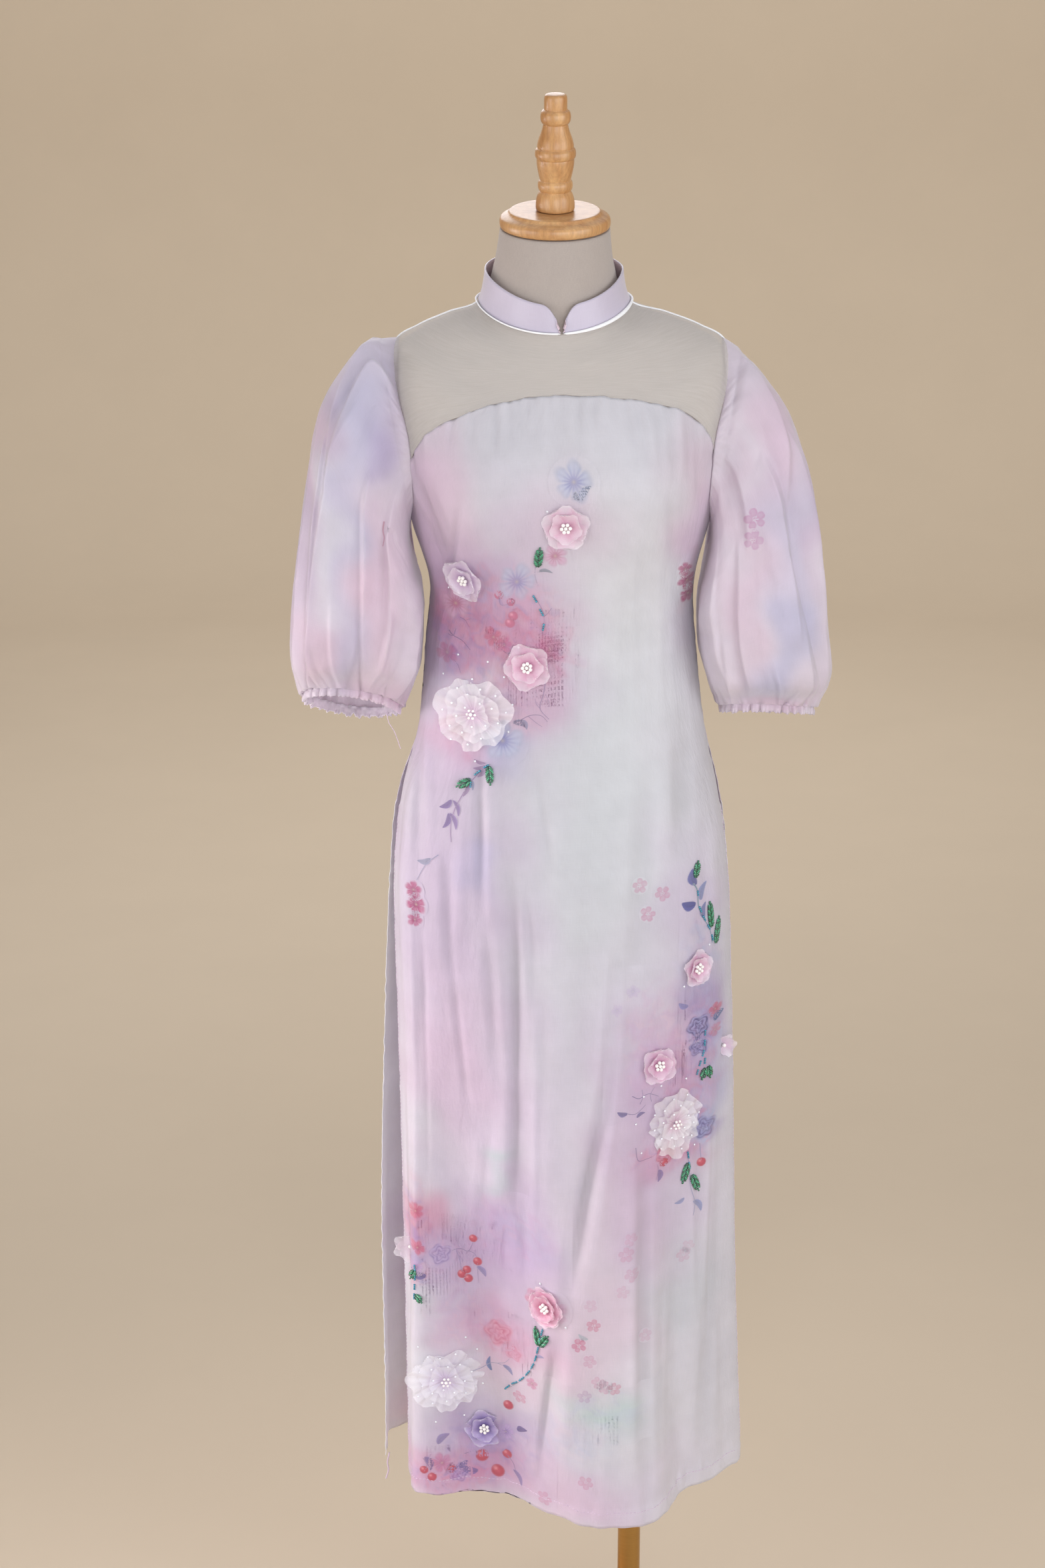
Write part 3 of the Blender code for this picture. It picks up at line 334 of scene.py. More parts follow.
# Creases of the front panel: where each starts, bends and ends, half its width and its rise.
CREASE_COLUMNS = "top_x top_z middle_x bottom_x bottom_z half_width out"
FRONT_CREASES = table(
    CREASE_COLUMNS,
    [
        (-0.1500, 0.9800, -0.1490, -0.1470, 0.5000, 0.0045, 0.0014),
        (-0.1390, 0.9500, -0.1380, -0.1370, 0.5400, 0.0050, -0.0014),
        (-0.0460, 1.0000, -0.0440, -0.0500, 0.5600, 0.0070, -0.0016),
        (-0.0240, 0.9000, -0.0260, -0.0300, 0.4500, 0.0060, 0.0012),
        (0.0520, 0.8000, 0.0300, 0.0110, 0.5600, 0.0080, -0.0022),
        (0.0640, 0.8200, 0.0440, 0.0220, 0.5000, 0.0060, 0.0014),
        (0.0820, 0.6600, 0.0810, 0.0840, 0.3000, 0.0060, -0.0016),
        (0.1120, 0.5600, 0.1090, 0.1080, 0.3100, 0.0060, 0.0014),
        (0.1400, 0.8000, 0.1430, 0.1460, 0.4800, 0.0060, -0.0014),
        (0.1540, 0.7800, 0.1530, 0.1560, 0.4200, 0.0050, 0.0012),
        (-0.0060, 0.4800, -0.0120, -0.0200, 0.3300, 0.0060, -0.0014),
        (-0.1019, 1.4395, -0.1038, -0.1085, 1.3911, 0.0040, -0.0008),
        (-0.0852, 1.4551, -0.0854, -0.0860, 1.3910, 0.0045, -0.0010),
        (-0.0642, 1.4644, -0.0650, -0.0646, 1.3899, 0.0050, -0.0017),
        (-0.0564, 1.4582, -0.0565, -0.0558, 1.4062, 0.0040, 0.0007),
        (-0.0517, 1.4644, -0.0496, -0.0471, 1.3972, 0.0040, -0.0009),
        (-0.0433, 1.4675, -0.0414, -0.0392, 1.3882, 0.0040, -0.0010),
        (-0.0345, 1.4675, -0.0339, -0.0333, 1.3911, 0.0035, -0.0007),
        (-0.0267, 1.4675, -0.0257, -0.0251, 1.3969, 0.0040, -0.0008),
        (-0.0173, 1.4738, -0.0156, -0.0141, 1.3878, 0.0050, 0.0006),
        (-0.0127, 1.4862, -0.0112, -0.0100, 1.3633, 0.0060, -0.0008),
        (-0.0033, 1.4862, -0.0015, -0.0006, 1.3694, 0.0060, -0.0007),
        (0.0108, 1.4800, 0.0136, 0.0157, 1.3938, 0.0045, -0.0009),
        (0.0173, 1.4800, 0.0202, 0.0235, 1.3939, 0.0040, 0.0006),
        (0.0248, 1.4800, 0.0284, 0.0320, 1.3970, 0.0050, -0.0008),
        (0.0405, 1.4738, 0.0445, 0.0496, 1.4149, 0.0050, -0.0007),
        (0.0530, 1.4675, 0.0613, 0.0704, 1.3825, 0.0050, -0.0010),
        (0.0640, 1.4675, 0.0717, 0.0789, 1.3793, 0.0045, -0.0008),
        (0.0734, 1.4644, 0.0812, 0.0878, 1.3789, 0.0045, 0.0007),
        (0.0828, 1.4644, 0.0888, 0.0926, 1.3786, 0.0050, -0.0009),
        (0.0969, 1.4613, 0.1027, 0.1060, 1.3652, 0.0050, -0.0010),
        (0.1063, 1.4582, 0.1112, 0.1133, 1.3673, 0.0045, 0.0008),
        (0.1158, 1.4551, 0.1204, 0.1215, 1.3565, 0.0050, -0.0010),
        (0.1237, 1.4488, 0.1288, 0.1316, 1.3305, 0.0060, -0.0012),
        (-0.1365, 1.3666, -0.1303, -0.1177, 1.3125, 0.0050, -0.0012),
        (-0.1266, 1.3587, -0.1170, -0.1077, 1.3149, 0.0050, -0.0011),
        (-0.1434, 1.3584, -0.1371, -0.1273, 1.3246, 0.0050, 0.0010),
        (-0.0974, 1.3598, -0.1034, -0.1264, 1.2052, 0.0060, -0.0020),
        (-0.0927, 1.3569, -0.0966, -0.1159, 1.2351, 0.0070, 0.0010),
        (-0.1145, 1.3061, -0.1227, -0.1284, 1.1650, 0.0060, -0.0010),
        (-0.1100, 1.2852, -0.1134, -0.1165, 1.1548, 0.0060, -0.0008),
        (0.1003, 1.3592, 0.1035, 0.1065, 1.2729, 0.0070, -0.0012),
        (0.1104, 1.2934, 0.1122, 0.1125, 1.2092, 0.0080, -0.0008),
        (0.0100, 1.2918, 0.0101, 0.0098, 1.1176, 0.0100, -0.0008),
        (0.0293, 1.2648, 0.0308, 0.0320, 1.1173, 0.0090, 0.0006),
        (0.0608, 1.2916, 0.0619, 0.0621, 1.1159, 0.0100, -0.0008),
        (0.0743, 1.3222, 0.0762, 0.0760, 1.1149, 0.0090, -0.0007),
        (0.0932, 1.2892, 0.0958, 0.0973, 1.1125, 0.0090, 0.0007),
        (0.1125, 1.2092, 0.1175, 0.1221, 1.1079, 0.0090, -0.0008),
        (-0.1414, 1.1224, -0.1433, -0.1444, 0.9651, 0.0070, -0.0014),
        (-0.1338, 1.1044, -0.1310, -0.1299, 0.9820, 0.0080, 0.0010),
        (-0.1153, 0.9982, -0.1134, -0.1106, 0.8594, 0.0090, -0.0020),
        (-0.0995, 1.0269, -0.1017, -0.1001, 0.9110, 0.0100, 0.0012),
        (-0.0808, 1.1078, -0.0797, -0.0773, 0.9208, 0.0090, -0.0026),
        (-0.0719, 1.0888, -0.0718, -0.0714, 0.8936, 0.0120, 0.0018),
        (-0.0746, 0.9419, -0.0709, -0.0639, 0.7509, 0.0090, -0.0018),
        (-0.0547, 1.0040, -0.0449, -0.0410, 0.7042, 0.0130, -0.0032),
        (-0.0393, 0.9846, -0.0297, -0.0263, 0.8417, 0.0070, -0.0014),
        (-0.0252, 1.0909, -0.0213, -0.0081, 0.9752, 0.0070, -0.0012),
        (-0.0017, 1.0516, -0.0042, -0.0054, 0.9584, 0.0090, 0.0008),
        (0.0819, 1.0747, 0.0803, 0.0753, 0.8734, 0.0160, -0.0024),
        (0.1001, 1.1056, 0.0993, 0.0947, 0.9403, 0.0160, 0.0016),
        (0.1186, 1.1415, 0.1216, 0.1214, 0.9711, 0.0150, -0.0022),
        (0.1495, 1.0158, 0.1542, 0.1542, 0.9066, 0.0100, 0.0012),
        (0.0565, 0.9095, 0.0509, 0.0427, 0.7242, 0.0100, -0.0016),
        (0.0449, 0.9169, 0.0422, 0.0293, 0.7110, 0.0100, 0.0012),
        (0.0731, 0.9219, 0.0707, 0.0692, 0.7208, 0.0120, -0.0018),
        (-0.1103, 0.8953, -0.1043, -0.0913, 0.7077, 0.0070, -0.0016),
        (-0.1383, 0.8826, -0.1456, -0.1501, 0.6855, 0.0090, -0.0014),
        (-0.1248, 0.8712, -0.1282, -0.1227, 0.7328, 0.0120, 0.0012),
        (0.0183, 0.9449, 0.0175, 0.0146, 0.7249, 0.0140, -0.0012),
        (-0.0080, 0.9314, -0.0111, -0.0009, 0.7525, 0.0130, 0.0012),
        (-0.0410, 0.7623, -0.0444, -0.0307, 0.5421, 0.0140, -0.0030),
        (-0.0561, 0.7450, -0.0614, -0.0720, 0.5814, 0.0140, 0.0016),
        (0.0425, 0.7590, 0.0196, 0.0033, 0.5082, 0.0120, -0.0036),
        (0.0560, 0.7507, 0.0398, 0.0268, 0.5406, 0.0140, 0.0018),
        (0.0019, 0.5078, -0.0133, -0.0200, 0.2864, 0.0090, -0.0034),
        (0.0134, 0.5102, 0.0054, 0.0008, 0.3051, 0.0120, 0.0016),
        (0.0858, 0.7097, 0.0841, 0.0937, 0.2602, 0.0100, -0.0038),
        (0.0737, 0.6637, 0.0715, 0.0743, 0.3383, 0.0120, 0.0016),
        (0.0983, 0.6695, 0.0993, 0.1020, 0.3644, 0.0130, 0.0014),
        (0.1635, 0.6400, 0.1583, 0.1535, 0.2867, 0.0120, -0.0026),
        (0.1377, 0.6434, 0.1340, 0.1333, 0.2945, 0.0140, 0.0012),
        (0.1051, 0.4681, 0.1136, 0.1391, 0.2802, 0.0070, -0.0010),
        (-0.1544, 0.6902, -0.1549, -0.1586, 0.4464, 0.0060, -0.0016),
        (-0.0852, 0.7014, -0.0828, -0.0895, 0.5620, 0.0120, 0.0012),
        (-0.1074, 0.4841, -0.1039, -0.1016, 0.2739, 0.0100, -0.0014),
        (-0.0549, 0.4846, -0.0481, -0.0411, 0.2828, 0.0100, -0.0012),
        (0.0339, 0.4898, 0.0372, 0.0351, 0.3077, 0.0120, -0.0010),
    ],
)

# Sleeve sections from the cap to the gathered end: outermost and innermost points, depths to
# front and back, and how far the front edge is lifted over the back one.
SLEEVE_SECTION_COLUMNS = "outer_x outer_z inner_x inner_z front_y back_y lift"
RIGHT_SLEEVE = table(
    SLEEVE_SECTION_COLUMNS,
    [
        (-0.1870, 1.4910, -0.1520, 1.3000, -0.066, 0.068, 0.000),
        (-0.2160, 1.4570, -0.1500, 1.2860, -0.073, 0.075, 0.000),
        (-0.2370, 1.4170, -0.1460, 1.2700, -0.077, 0.079, 0.000),
        (-0.2490, 1.3620, -0.1400, 1.2480, -0.079, 0.081, 0.000),
        (-0.2590, 1.2950, -0.1380, 1.2210, -0.081, 0.083, 0.000),
        (-0.2665, 1.2300, -0.1395, 1.1880, -0.080, 0.082, 0.004),
        (-0.2700, 1.1720, -0.1440, 1.1570, -0.070, 0.072, 0.012),
        (-0.2605, 1.1430, -0.1585, 1.1310, -0.045, 0.045, 0.020),
        (-0.2590, 1.1370, -0.1600, 1.1250, -0.044, 0.044, 0.021),
    ],
)
LEFT_SLEEVE = table(
    SLEEVE_SECTION_COLUMNS,
    [
        (0.1810, 1.4730, 0.1500, 1.3000, -0.064, 0.066, 0.000),
        (0.2060, 1.4430, 0.1480, 1.2860, -0.071, 0.073, 0.000),
        (0.2290, 1.4020, 0.1440, 1.2700, -0.076, 0.078, 0.000),
        (0.2450, 1.3480, 0.1400, 1.2480, -0.079, 0.081, 0.000),
        (0.2555, 1.2800, 0.1375, 1.2210, -0.081, 0.083, 0.000),
        (0.2650, 1.2100, 0.1395, 1.1860, -0.080, 0.082, 0.002),
        (0.2702, 1.1560, 0.1490, 1.1520, -0.070, 0.072, 0.006),
        (0.2575, 1.1300, 0.1590, 1.1340, -0.043, 0.043, 0.010),
        (0.2560, 1.1240, 0.1600, 1.1280, -0.042, 0.042, 0.010),
    ],
)

# Folds of a sleeve: angle round it in degrees (0 outermost, 90 front, 180 against the body), how
# far the fold drifts on its way down, half its width, its rise, and where it starts and ends.
SLEEVE_FOLD_COLUMNS = "angle drift half_width out start end"
RIGHT_SLEEVE_FOLDS = table(
    SLEEVE_FOLD_COLUMNS,
    [
        (36, 0, 20, -0.0060, 0.06, 0.86),
        (84, 4, 24, 0.0055, 0.06, 0.85),
        (98, 6, 18, -0.0040, 0.50, 1.00),
        (146, 0, 40, 0.0090, 0.02, 0.60),
        (-40, 0, 30, 0.0060, 0.10, 0.95),
        (-85, 0, 28, -0.0060, 0.10, 0.95),
        (132, 0, 46, 0.0078, 0.08, 0.98),
    ],
)
LEFT_SLEEVE_FOLDS = table(
    SLEEVE_FOLD_COLUMNS,
    [
        (82, -48, 24, -0.0065, 0.08, 0.95),
        (52, -30, 22, 0.0050, 0.05, 0.80),
        (112, 4, 20, -0.0045, 0.35, 0.98),
        (146, 0, 40, 0.0110, 0.02, 0.60),
        (-40, 0, 30, 0.0060, 0.10, 0.95),
        (-85, 0, 28, -0.0060, 0.10, 0.95),
        (132, 0, 46, 0.0078, 0.08, 0.98),
    ],
)

# Narrow creases of a sleeve: angle round it, with 90 in front, and place from armhole to cuff.
RIGHT_SLEEVE_CREASES = table(
    SLEEVE_FOLD_COLUMNS,
    [
        (12, 42, 24, 0.0080, 0.10, 0.42),
        (56, -4, 26, 0.0130, 0.18, 0.90),
        (28, 28, 24, 0.0120, -0.10, 0.36),
        (90, 12, 18, 0.0082, 0.22, 0.84),
        (152, -6, -14, 0.0052, 0.52, 0.98),
        (118, -2, 18, 0.0074, 0.16, 0.82),
        (120, -10, -13, 0.0046, 0.56, 0.94),
        (70, 12, 14, 0.0044, 0.60, 0.97),
        (34, 6, -16, 0.0050, 0.18, 0.70),
        (20, 8, 14, 0.0044, 0.46, 0.95),
        (50, -6, -12, 0.0038, 0.70, 0.99),
        (200, 14, 18, 0.0050, 0.10, 0.60),
        (236, -12, -18, 0.0056, 0.18, 0.84),
        (262, 10, 16, 0.0050, 0.12, 0.60),
        (288, -8, -16, 0.0054, 0.30, 0.92),
        (312, 10, 16, 0.0050, 0.20, 0.78),
        (336, -8, -15, 0.0044, 0.12, 0.60),
        (250, 6, 14, 0.0044, 0.62, 0.98),
        (300, 8, -14, 0.0042, 0.70, 0.98),
    ],
)
LEFT_SLEEVE_CREASES = table(
    SLEEVE_FOLD_COLUMNS,
    [
        (14, 46, 24, 0.0085, 0.06, 0.42),
        (69, -6, 26, 0.0088, 0.24, 0.68),
        (66, -28, 22, 0.0070, 0.50, 0.86),
        (113, 2, -16, 0.0062, 0.34, 0.90),
        (88, -8, 16, 0.0050, 0.70, 0.99),
        (96, 8, -15, 0.0046, 0.04, 0.42),
        (36, -4, 15, 0.0046, 0.30, 0.66),
        (140, -8, 14, 0.0044, 0.30, 0.84),
        (128, 8, -13, 0.0044, 0.62, 0.98),
        (58, -10, 14, 0.0046, 0.62, 0.98),
        (36, -8, -13, 0.0042, 0.56, 0.97),
        (24, 6, 15, 0.0044, 0.20, 0.66),
        (204, 12, -18, 0.0050, 0.12, 0.62),
        (234, -10, 18, 0.0056, 0.20, 0.84),
        (264, 8, -16, 0.0050, 0.14, 0.62),
        (286, -8, 16, 0.0054, 0.32, 0.90),
        (310, 8, -16, 0.0050, 0.20, 0.76),
        (334, -8, 15, 0.0044, 0.14, 0.60),
        (248, 6, -14, 0.0044, 0.62, 0.98),
        (298, 8, 14, 0.0042, 0.70, 0.98),
    ],
)

BACK_CREASES = table(
    CREASE_COLUMNS,
    [
        (-0.128, 1.330, -0.118, -0.096, 1.262, 0.011, 0.0016),
        (0.128, 1.326, 0.116, 0.094, 1.258, 0.012, 0.0017),
        (-0.112, 1.352, -0.100, -0.082, 1.290, 0.010, -0.0013),
        (0.110, 1.356, 0.098, 0.080, 1.286, 0.010, -0.0014),
        (-0.098, 1.392, -0.092, -0.080, 1.322, 0.009, 0.0011),
        (0.096, 1.398, 0.092, 0.078, 1.330, 0.009, 0.0012),
        (-0.060, 1.260, -0.066, -0.058, 1.140, 0.010, 0.0014),
        (0.058, 1.256, 0.066, 0.060, 1.132, 0.010, 0.0014),
        (-0.112, 1.226, -0.070, -0.030, 1.206, 0.012, -0.0016),
        (0.114, 1.220, 0.070, 0.026, 1.198, 0.012, -0.0017),
        (-0.104, 1.196, -0.060, -0.018, 1.176, 0.011, 0.0018),
        (0.108, 1.188, 0.062, 0.020, 1.170, 0.011, 0.0017),
        (-0.116, 1.168, -0.082, -0.046, 1.148, 0.010, -0.0013),
        (0.112, 1.160, 0.076, 0.042, 1.140, 0.011, -0.0015),
        (-0.030, 1.330, -0.032, -0.028, 1.250, 0.010, 0.0009),
        (0.034, 1.322, 0.034, 0.030, 1.240, 0.010, 0.0010),
        (-0.132, 1.090, -0.128, -0.118, 0.960, 0.013, 0.0018),
        (0.134, 1.082, 0.130, 0.122, 0.950, 0.013, 0.0020),
        (-0.090, 1.020, -0.096, -0.104, 0.800, 0.014, 0.0022),
        (0.088, 1.010, 0.098, 0.108, 0.780, 0.015, 0.0021),
        (-0.052, 0.960, -0.058, -0.066, 0.660, 0.015, -0.0024),
        (0.048, 0.940, 0.056, 0.068, 0.640, 0.016, -0.0022),
        (-0.012, 0.920, -0.014, -0.020, 0.560, 0.015, 0.0022),
        (0.014, 0.880, 0.022, 0.030, 0.600, 0.013, -0.0018),
        (-0.128, 0.820, -0.132, -0.136, 0.500, 0.014, -0.0022),
        (0.128, 0.800, 0.134, 0.140, 0.520, 0.015, 0.0024),
        (-0.086, 0.700, -0.090, -0.094, 0.420, 0.014, 0.0023),
        (0.090, 0.690, 0.098, 0.102, 0.400, 0.015, -0.0025),
        (-0.044, 0.600, -0.046, -0.052, 0.360, 0.013, -0.0018),
        (0.050, 0.580, 0.058, 0.064, 0.350, 0.014, 0.0020),
        (0.004, 0.540, 0.002, 0.006, 0.330, 0.014, 0.0019),
        (-0.120, 0.480, -0.112, -0.092, 0.400, 0.010, 0.0014),
        (0.136, 0.470, 0.126, 0.108, 0.392, 0.010, -0.0013),
        (-0.020, 0.440, -0.030, -0.034, 0.310, 0.011, -0.0013),
        (0.084, 0.430, 0.082, 0.086, 0.310, 0.011, 0.0014),
        (-0.140, 0.420, -0.142, -0.146, 0.310, 0.012, 0.0016),
    ],
)


def smooth(column, level):
    """The column's value at a fractional row, on a cubic through the rows."""
    last = len(column) - 1
    level = np.clip(level, 0, last)
    row = np.minimum(np.floor(level).astype(int), last - 1)
    part = level - row
    before = column[np.maximum(row - 1, 0)]
    start = column[row]
    end = column[row + 1]
    after = column[np.minimum(row + 2, last)]
    cubic = 3 * (start - end) + after - before
    square = 2 * before - 5 * start + 4 * end - after
    return start + 0.5 * part * (end - before + part * (square + part * cubic))


def half_of_form(side):
    """The form's front or back half as rows of half rings."""
    zero = np.zeros(len(FORM["side_z"]))
    return {
        "side_z": FORM["side_z"],
        "right_x": FORM["right_x"],
        "right_y": zero,
        "left_x": FORM["left_x"],
        "left_y": zero,
        "middle_y": FORM[side + "_y"],
        "middle_z": FORM[side + "_z"],
        "roundness": FORM["roundness"],
        "roll": FORM["roll"],
    }


def panel_of(side, skirt):
    """Half rings of a panel: the form's down to the slits, then the skirt's."""
    upper = half_of_form(side)
    lower = dict(skirt)
    lower["middle_z"] = skirt["side_z"]
    lower["roll"] = np.full(len(skirt["side_z"]), 2.0)
    return {name: np.append(upper[name][: SLIT_LEVEL + 1], lower[name]) for name in upper}


FORM_FRONT = half_of_form("front")
FORM_BACK = half_of_form("back")
FRONT_SECTIONS = panel_of("front", FRONT_SKIRT)
BACK_SECTIONS = panel_of("back", BACK_SKIRT)


def half_ring(sections, angle, level):
    """Points of the half rings, as an array of x, y, z."""
    row = {name: smooth(column, level) for name, column in sections.items()}
    front = sections["middle_y"][0] < 0
    across = np.cos(angle)
    deep = -np.sin(angle) if front else np.sin(angle)
    bend = 2 / row["roundness"]
    half = (row["left_x"] - row["right_x"]) / 2
    centre = (row["left_x"] + row["right_x"]) / 2
    edge_y = np.where(across > 0, row["left_y"], row["right_y"])
    x = centre + half * np.sign(across) * np.abs(across) ** bend
    y = edge_y + (row["middle_y"] - edge_y) * np.sign(deep) * np.abs(deep) ** bend
    turn = np.sign(deep) * np.abs(deep) ** row["roll"]
    z = row["side_z"] + (row["middle_z"] - row["side_z"]) * turn
    if front:
        away = ((np.abs(x) - BUST_X) / BUST_RADIUS_X) ** 2 + ((z - BUST_Z) / BUST_RADIUS_Z) ** 2
        y = y - BUST_RISE * np.exp(-away)
    return np.stack([x, y, z], axis=-1)


def outward(sections, angle, level):
    """Unit normals of the half rings."""
    step = 1e-3
    round_body = half_ring(sections, angle + step, level) - half_ring(sections, angle - step, level)
    down = half_ring(sections, angle, level + step) - half_ring(sections, angle, level - step)
    normal = np.cross(down, round_body)
    return normal / np.linalg.norm(normal, axis=-1, keepdims=True)


def fold_rise(folds, across, height):
    """How far the folds move the cloth out, at each place across a panel and height."""
    rise = np.zeros_like(across)
    hem_z = FRONT_SKIRT["side_z"][-1]
    for top, hem, half_width, out, start, full, end in zip(*folds.values()):
        down = np.clip((start - height) / (start - full), 0, 1)
        down *= np.clip((height - end) / FOLD_FADE, 0, 1)
        centre = top + (hem - top) * np.clip((start - height) / (start - hem_z), 0, 1)
        place = np.clip(np.abs(across - centre) / half_width, 0, 1)
        rise += out * down**2 * (3 - 2 * down) * (1 - place**2) ** 2
    return rise


def cloth_points(sections, angle, level, folds=None, ease=EASE):
    """The cloth's inner face: the sections moved out by the ease and the folds."""
    points = half_ring(sections, angle, level)
    rise = np.zeros(angle.shape) + ease
    if folds:
        from_edge = np.abs(angle + math.pi) if sections is FRONT_SECTIONS else angle
        rise = rise + fold_rise(folds, from_edge / math.pi, points[..., 2])
    return points + outward(sections, angle, level) * rise[..., None]


def armhole(part, sign, spread, end):
    """Angle and level down one side of an armhole, part 0 at the shoulder and 1 underarm.

    The side is at angle 0 or 180 degrees, and sign says which way the opening spreads from it.
    """
    level = SHOULDER_LEVEL + (UNDERARM_LEVEL - SHOULDER_LEVEL) * part
    return np.stack([end + sign * spread * np.sin(math.pi * part) ** 0.75, level], axis=-1)


def angle_and_level(sections, x, z):
    """Where the sections pass through x and z, for points on the front or back."""
    front = sections["middle_y"][0] < 0
    level = np.full(x.shape, 6.0)
    angle = np.zeros(x.shape)
    levels = np.linspace(NECK_LEVEL, HEM_LEVEL, 400)
    for _ in range(12):
        left = smooth(sections["left_x"], level)
        right = smooth(sections["right_x"], level)
        across = np.clip((x - (left + right) / 2) / ((left - right) / 2), -1, 1)
        power = smooth(sections["roundness"], level) / 2
        angle = np.arccos(np.sign(across) * np.abs(across) ** power) * (-1 if front else 1)
        for i, one in enumerate(angle.flat):
            heights = half_ring(sections, np.full(levels.shape, one), levels)[:, 2]
            level.flat[i] = np.interp(-z.flat[i], -heights, levels)
    return angle, level


def between(first, last, part):
    return first[None, :] + (last - first)[None, :] * part[:, None]


def patch(first, last, edge, fade):
    """A grid of angle and level between two side edges, whose first row is bent to edge's levels.

    The bend fades down the grid: evenly when fade is 1, and sooner when it is more.
    """
    across = np.linspace(0, 1, len(edge))
    bend = edge - between(first[0], last[0], across)[:, 1]
    down = (first[:, 1] - first[0, 1]) / (first[-1, 1] - first[0, 1])
    grid = np.array([between(a, b, across) for a, b in zip(first, last)])
    grid[..., 1] += bend[None, :] * ((1 - down) ** fade)[:, None]
    return grid


def linear(colour):
    """A display colour as linear light."""
    value = np.asarray(colour, float)
    return np.where(value <= 0.04045, value / 12.92, ((value + 0.055) / 1.055) ** 2.4)


def cloudy(a, b, size, seed):
    """Soft noise from -1 to 1 over two coordinates, with clouds of about one size."""
    waves = np.random.default_rng(seed)
    total = np.zeros(np.shape(a))
    for _ in range(9):
        way = waves.uniform(0, 2 * math.pi)
        step = 2 * math.pi / (size * waves.uniform(0.8, 2.4))
        total += np.sin((a * math.cos(way) + b * math.sin(way)) * step + waves.uniform(0, 6.3))
    return total / 4.5


def crease_rise(creases, x, z):
    """How far the listed creases move the cloth out at each x and z."""
    rise = np.zeros(x.shape)
    for top_x, top_z, middle_x, bottom_x, bottom_z, half_width, out in zip(*creases.values()):
        down = (top_z - z) / (top_z - bottom_z)
        inside = (down > 0) & (down < 1)
        part = np.clip(down, 0, 1)
        bend = 4 * middle_x - 2 * top_x - 2 * bottom_x
        centre = top_x + (bottom_x - top_x) * part + bend * part * (1 - part) / 2
        place = np.clip(np.abs(x - centre) / half_width, 0, 1)
        rise += np.where(inside, out * np.sin(math.pi * part) ** 0.8 * (1 - place**2) ** 2, 0)
    return rise * CREASE_DEPTH


# --- colours of the cloth -------------------------------------------------------------------------

TINTS = {
    "white": (0.955, 0.96, 0.97),
    "pearl": (0.905, 0.90, 0.925),
    "lilac": (0.82, 0.71, 0.85),
    "pink": (0.92, 0.72, 0.82),
    "rose": (0.86, 0.50, 0.66),
    "violet": (0.64, 0.53, 0.78),
    "blue": (0.68, 0.73, 0.89),
    "orchid": (0.83, 0.63, 0.80),
    "berry": (0.82, 0.38, 0.52),
    "mint": (0.76, 0.88, 0.85),
    "grey": (0.79, 0.79, 0.83),
    "sleeve": (0.935, 0.905, 0.94),
}

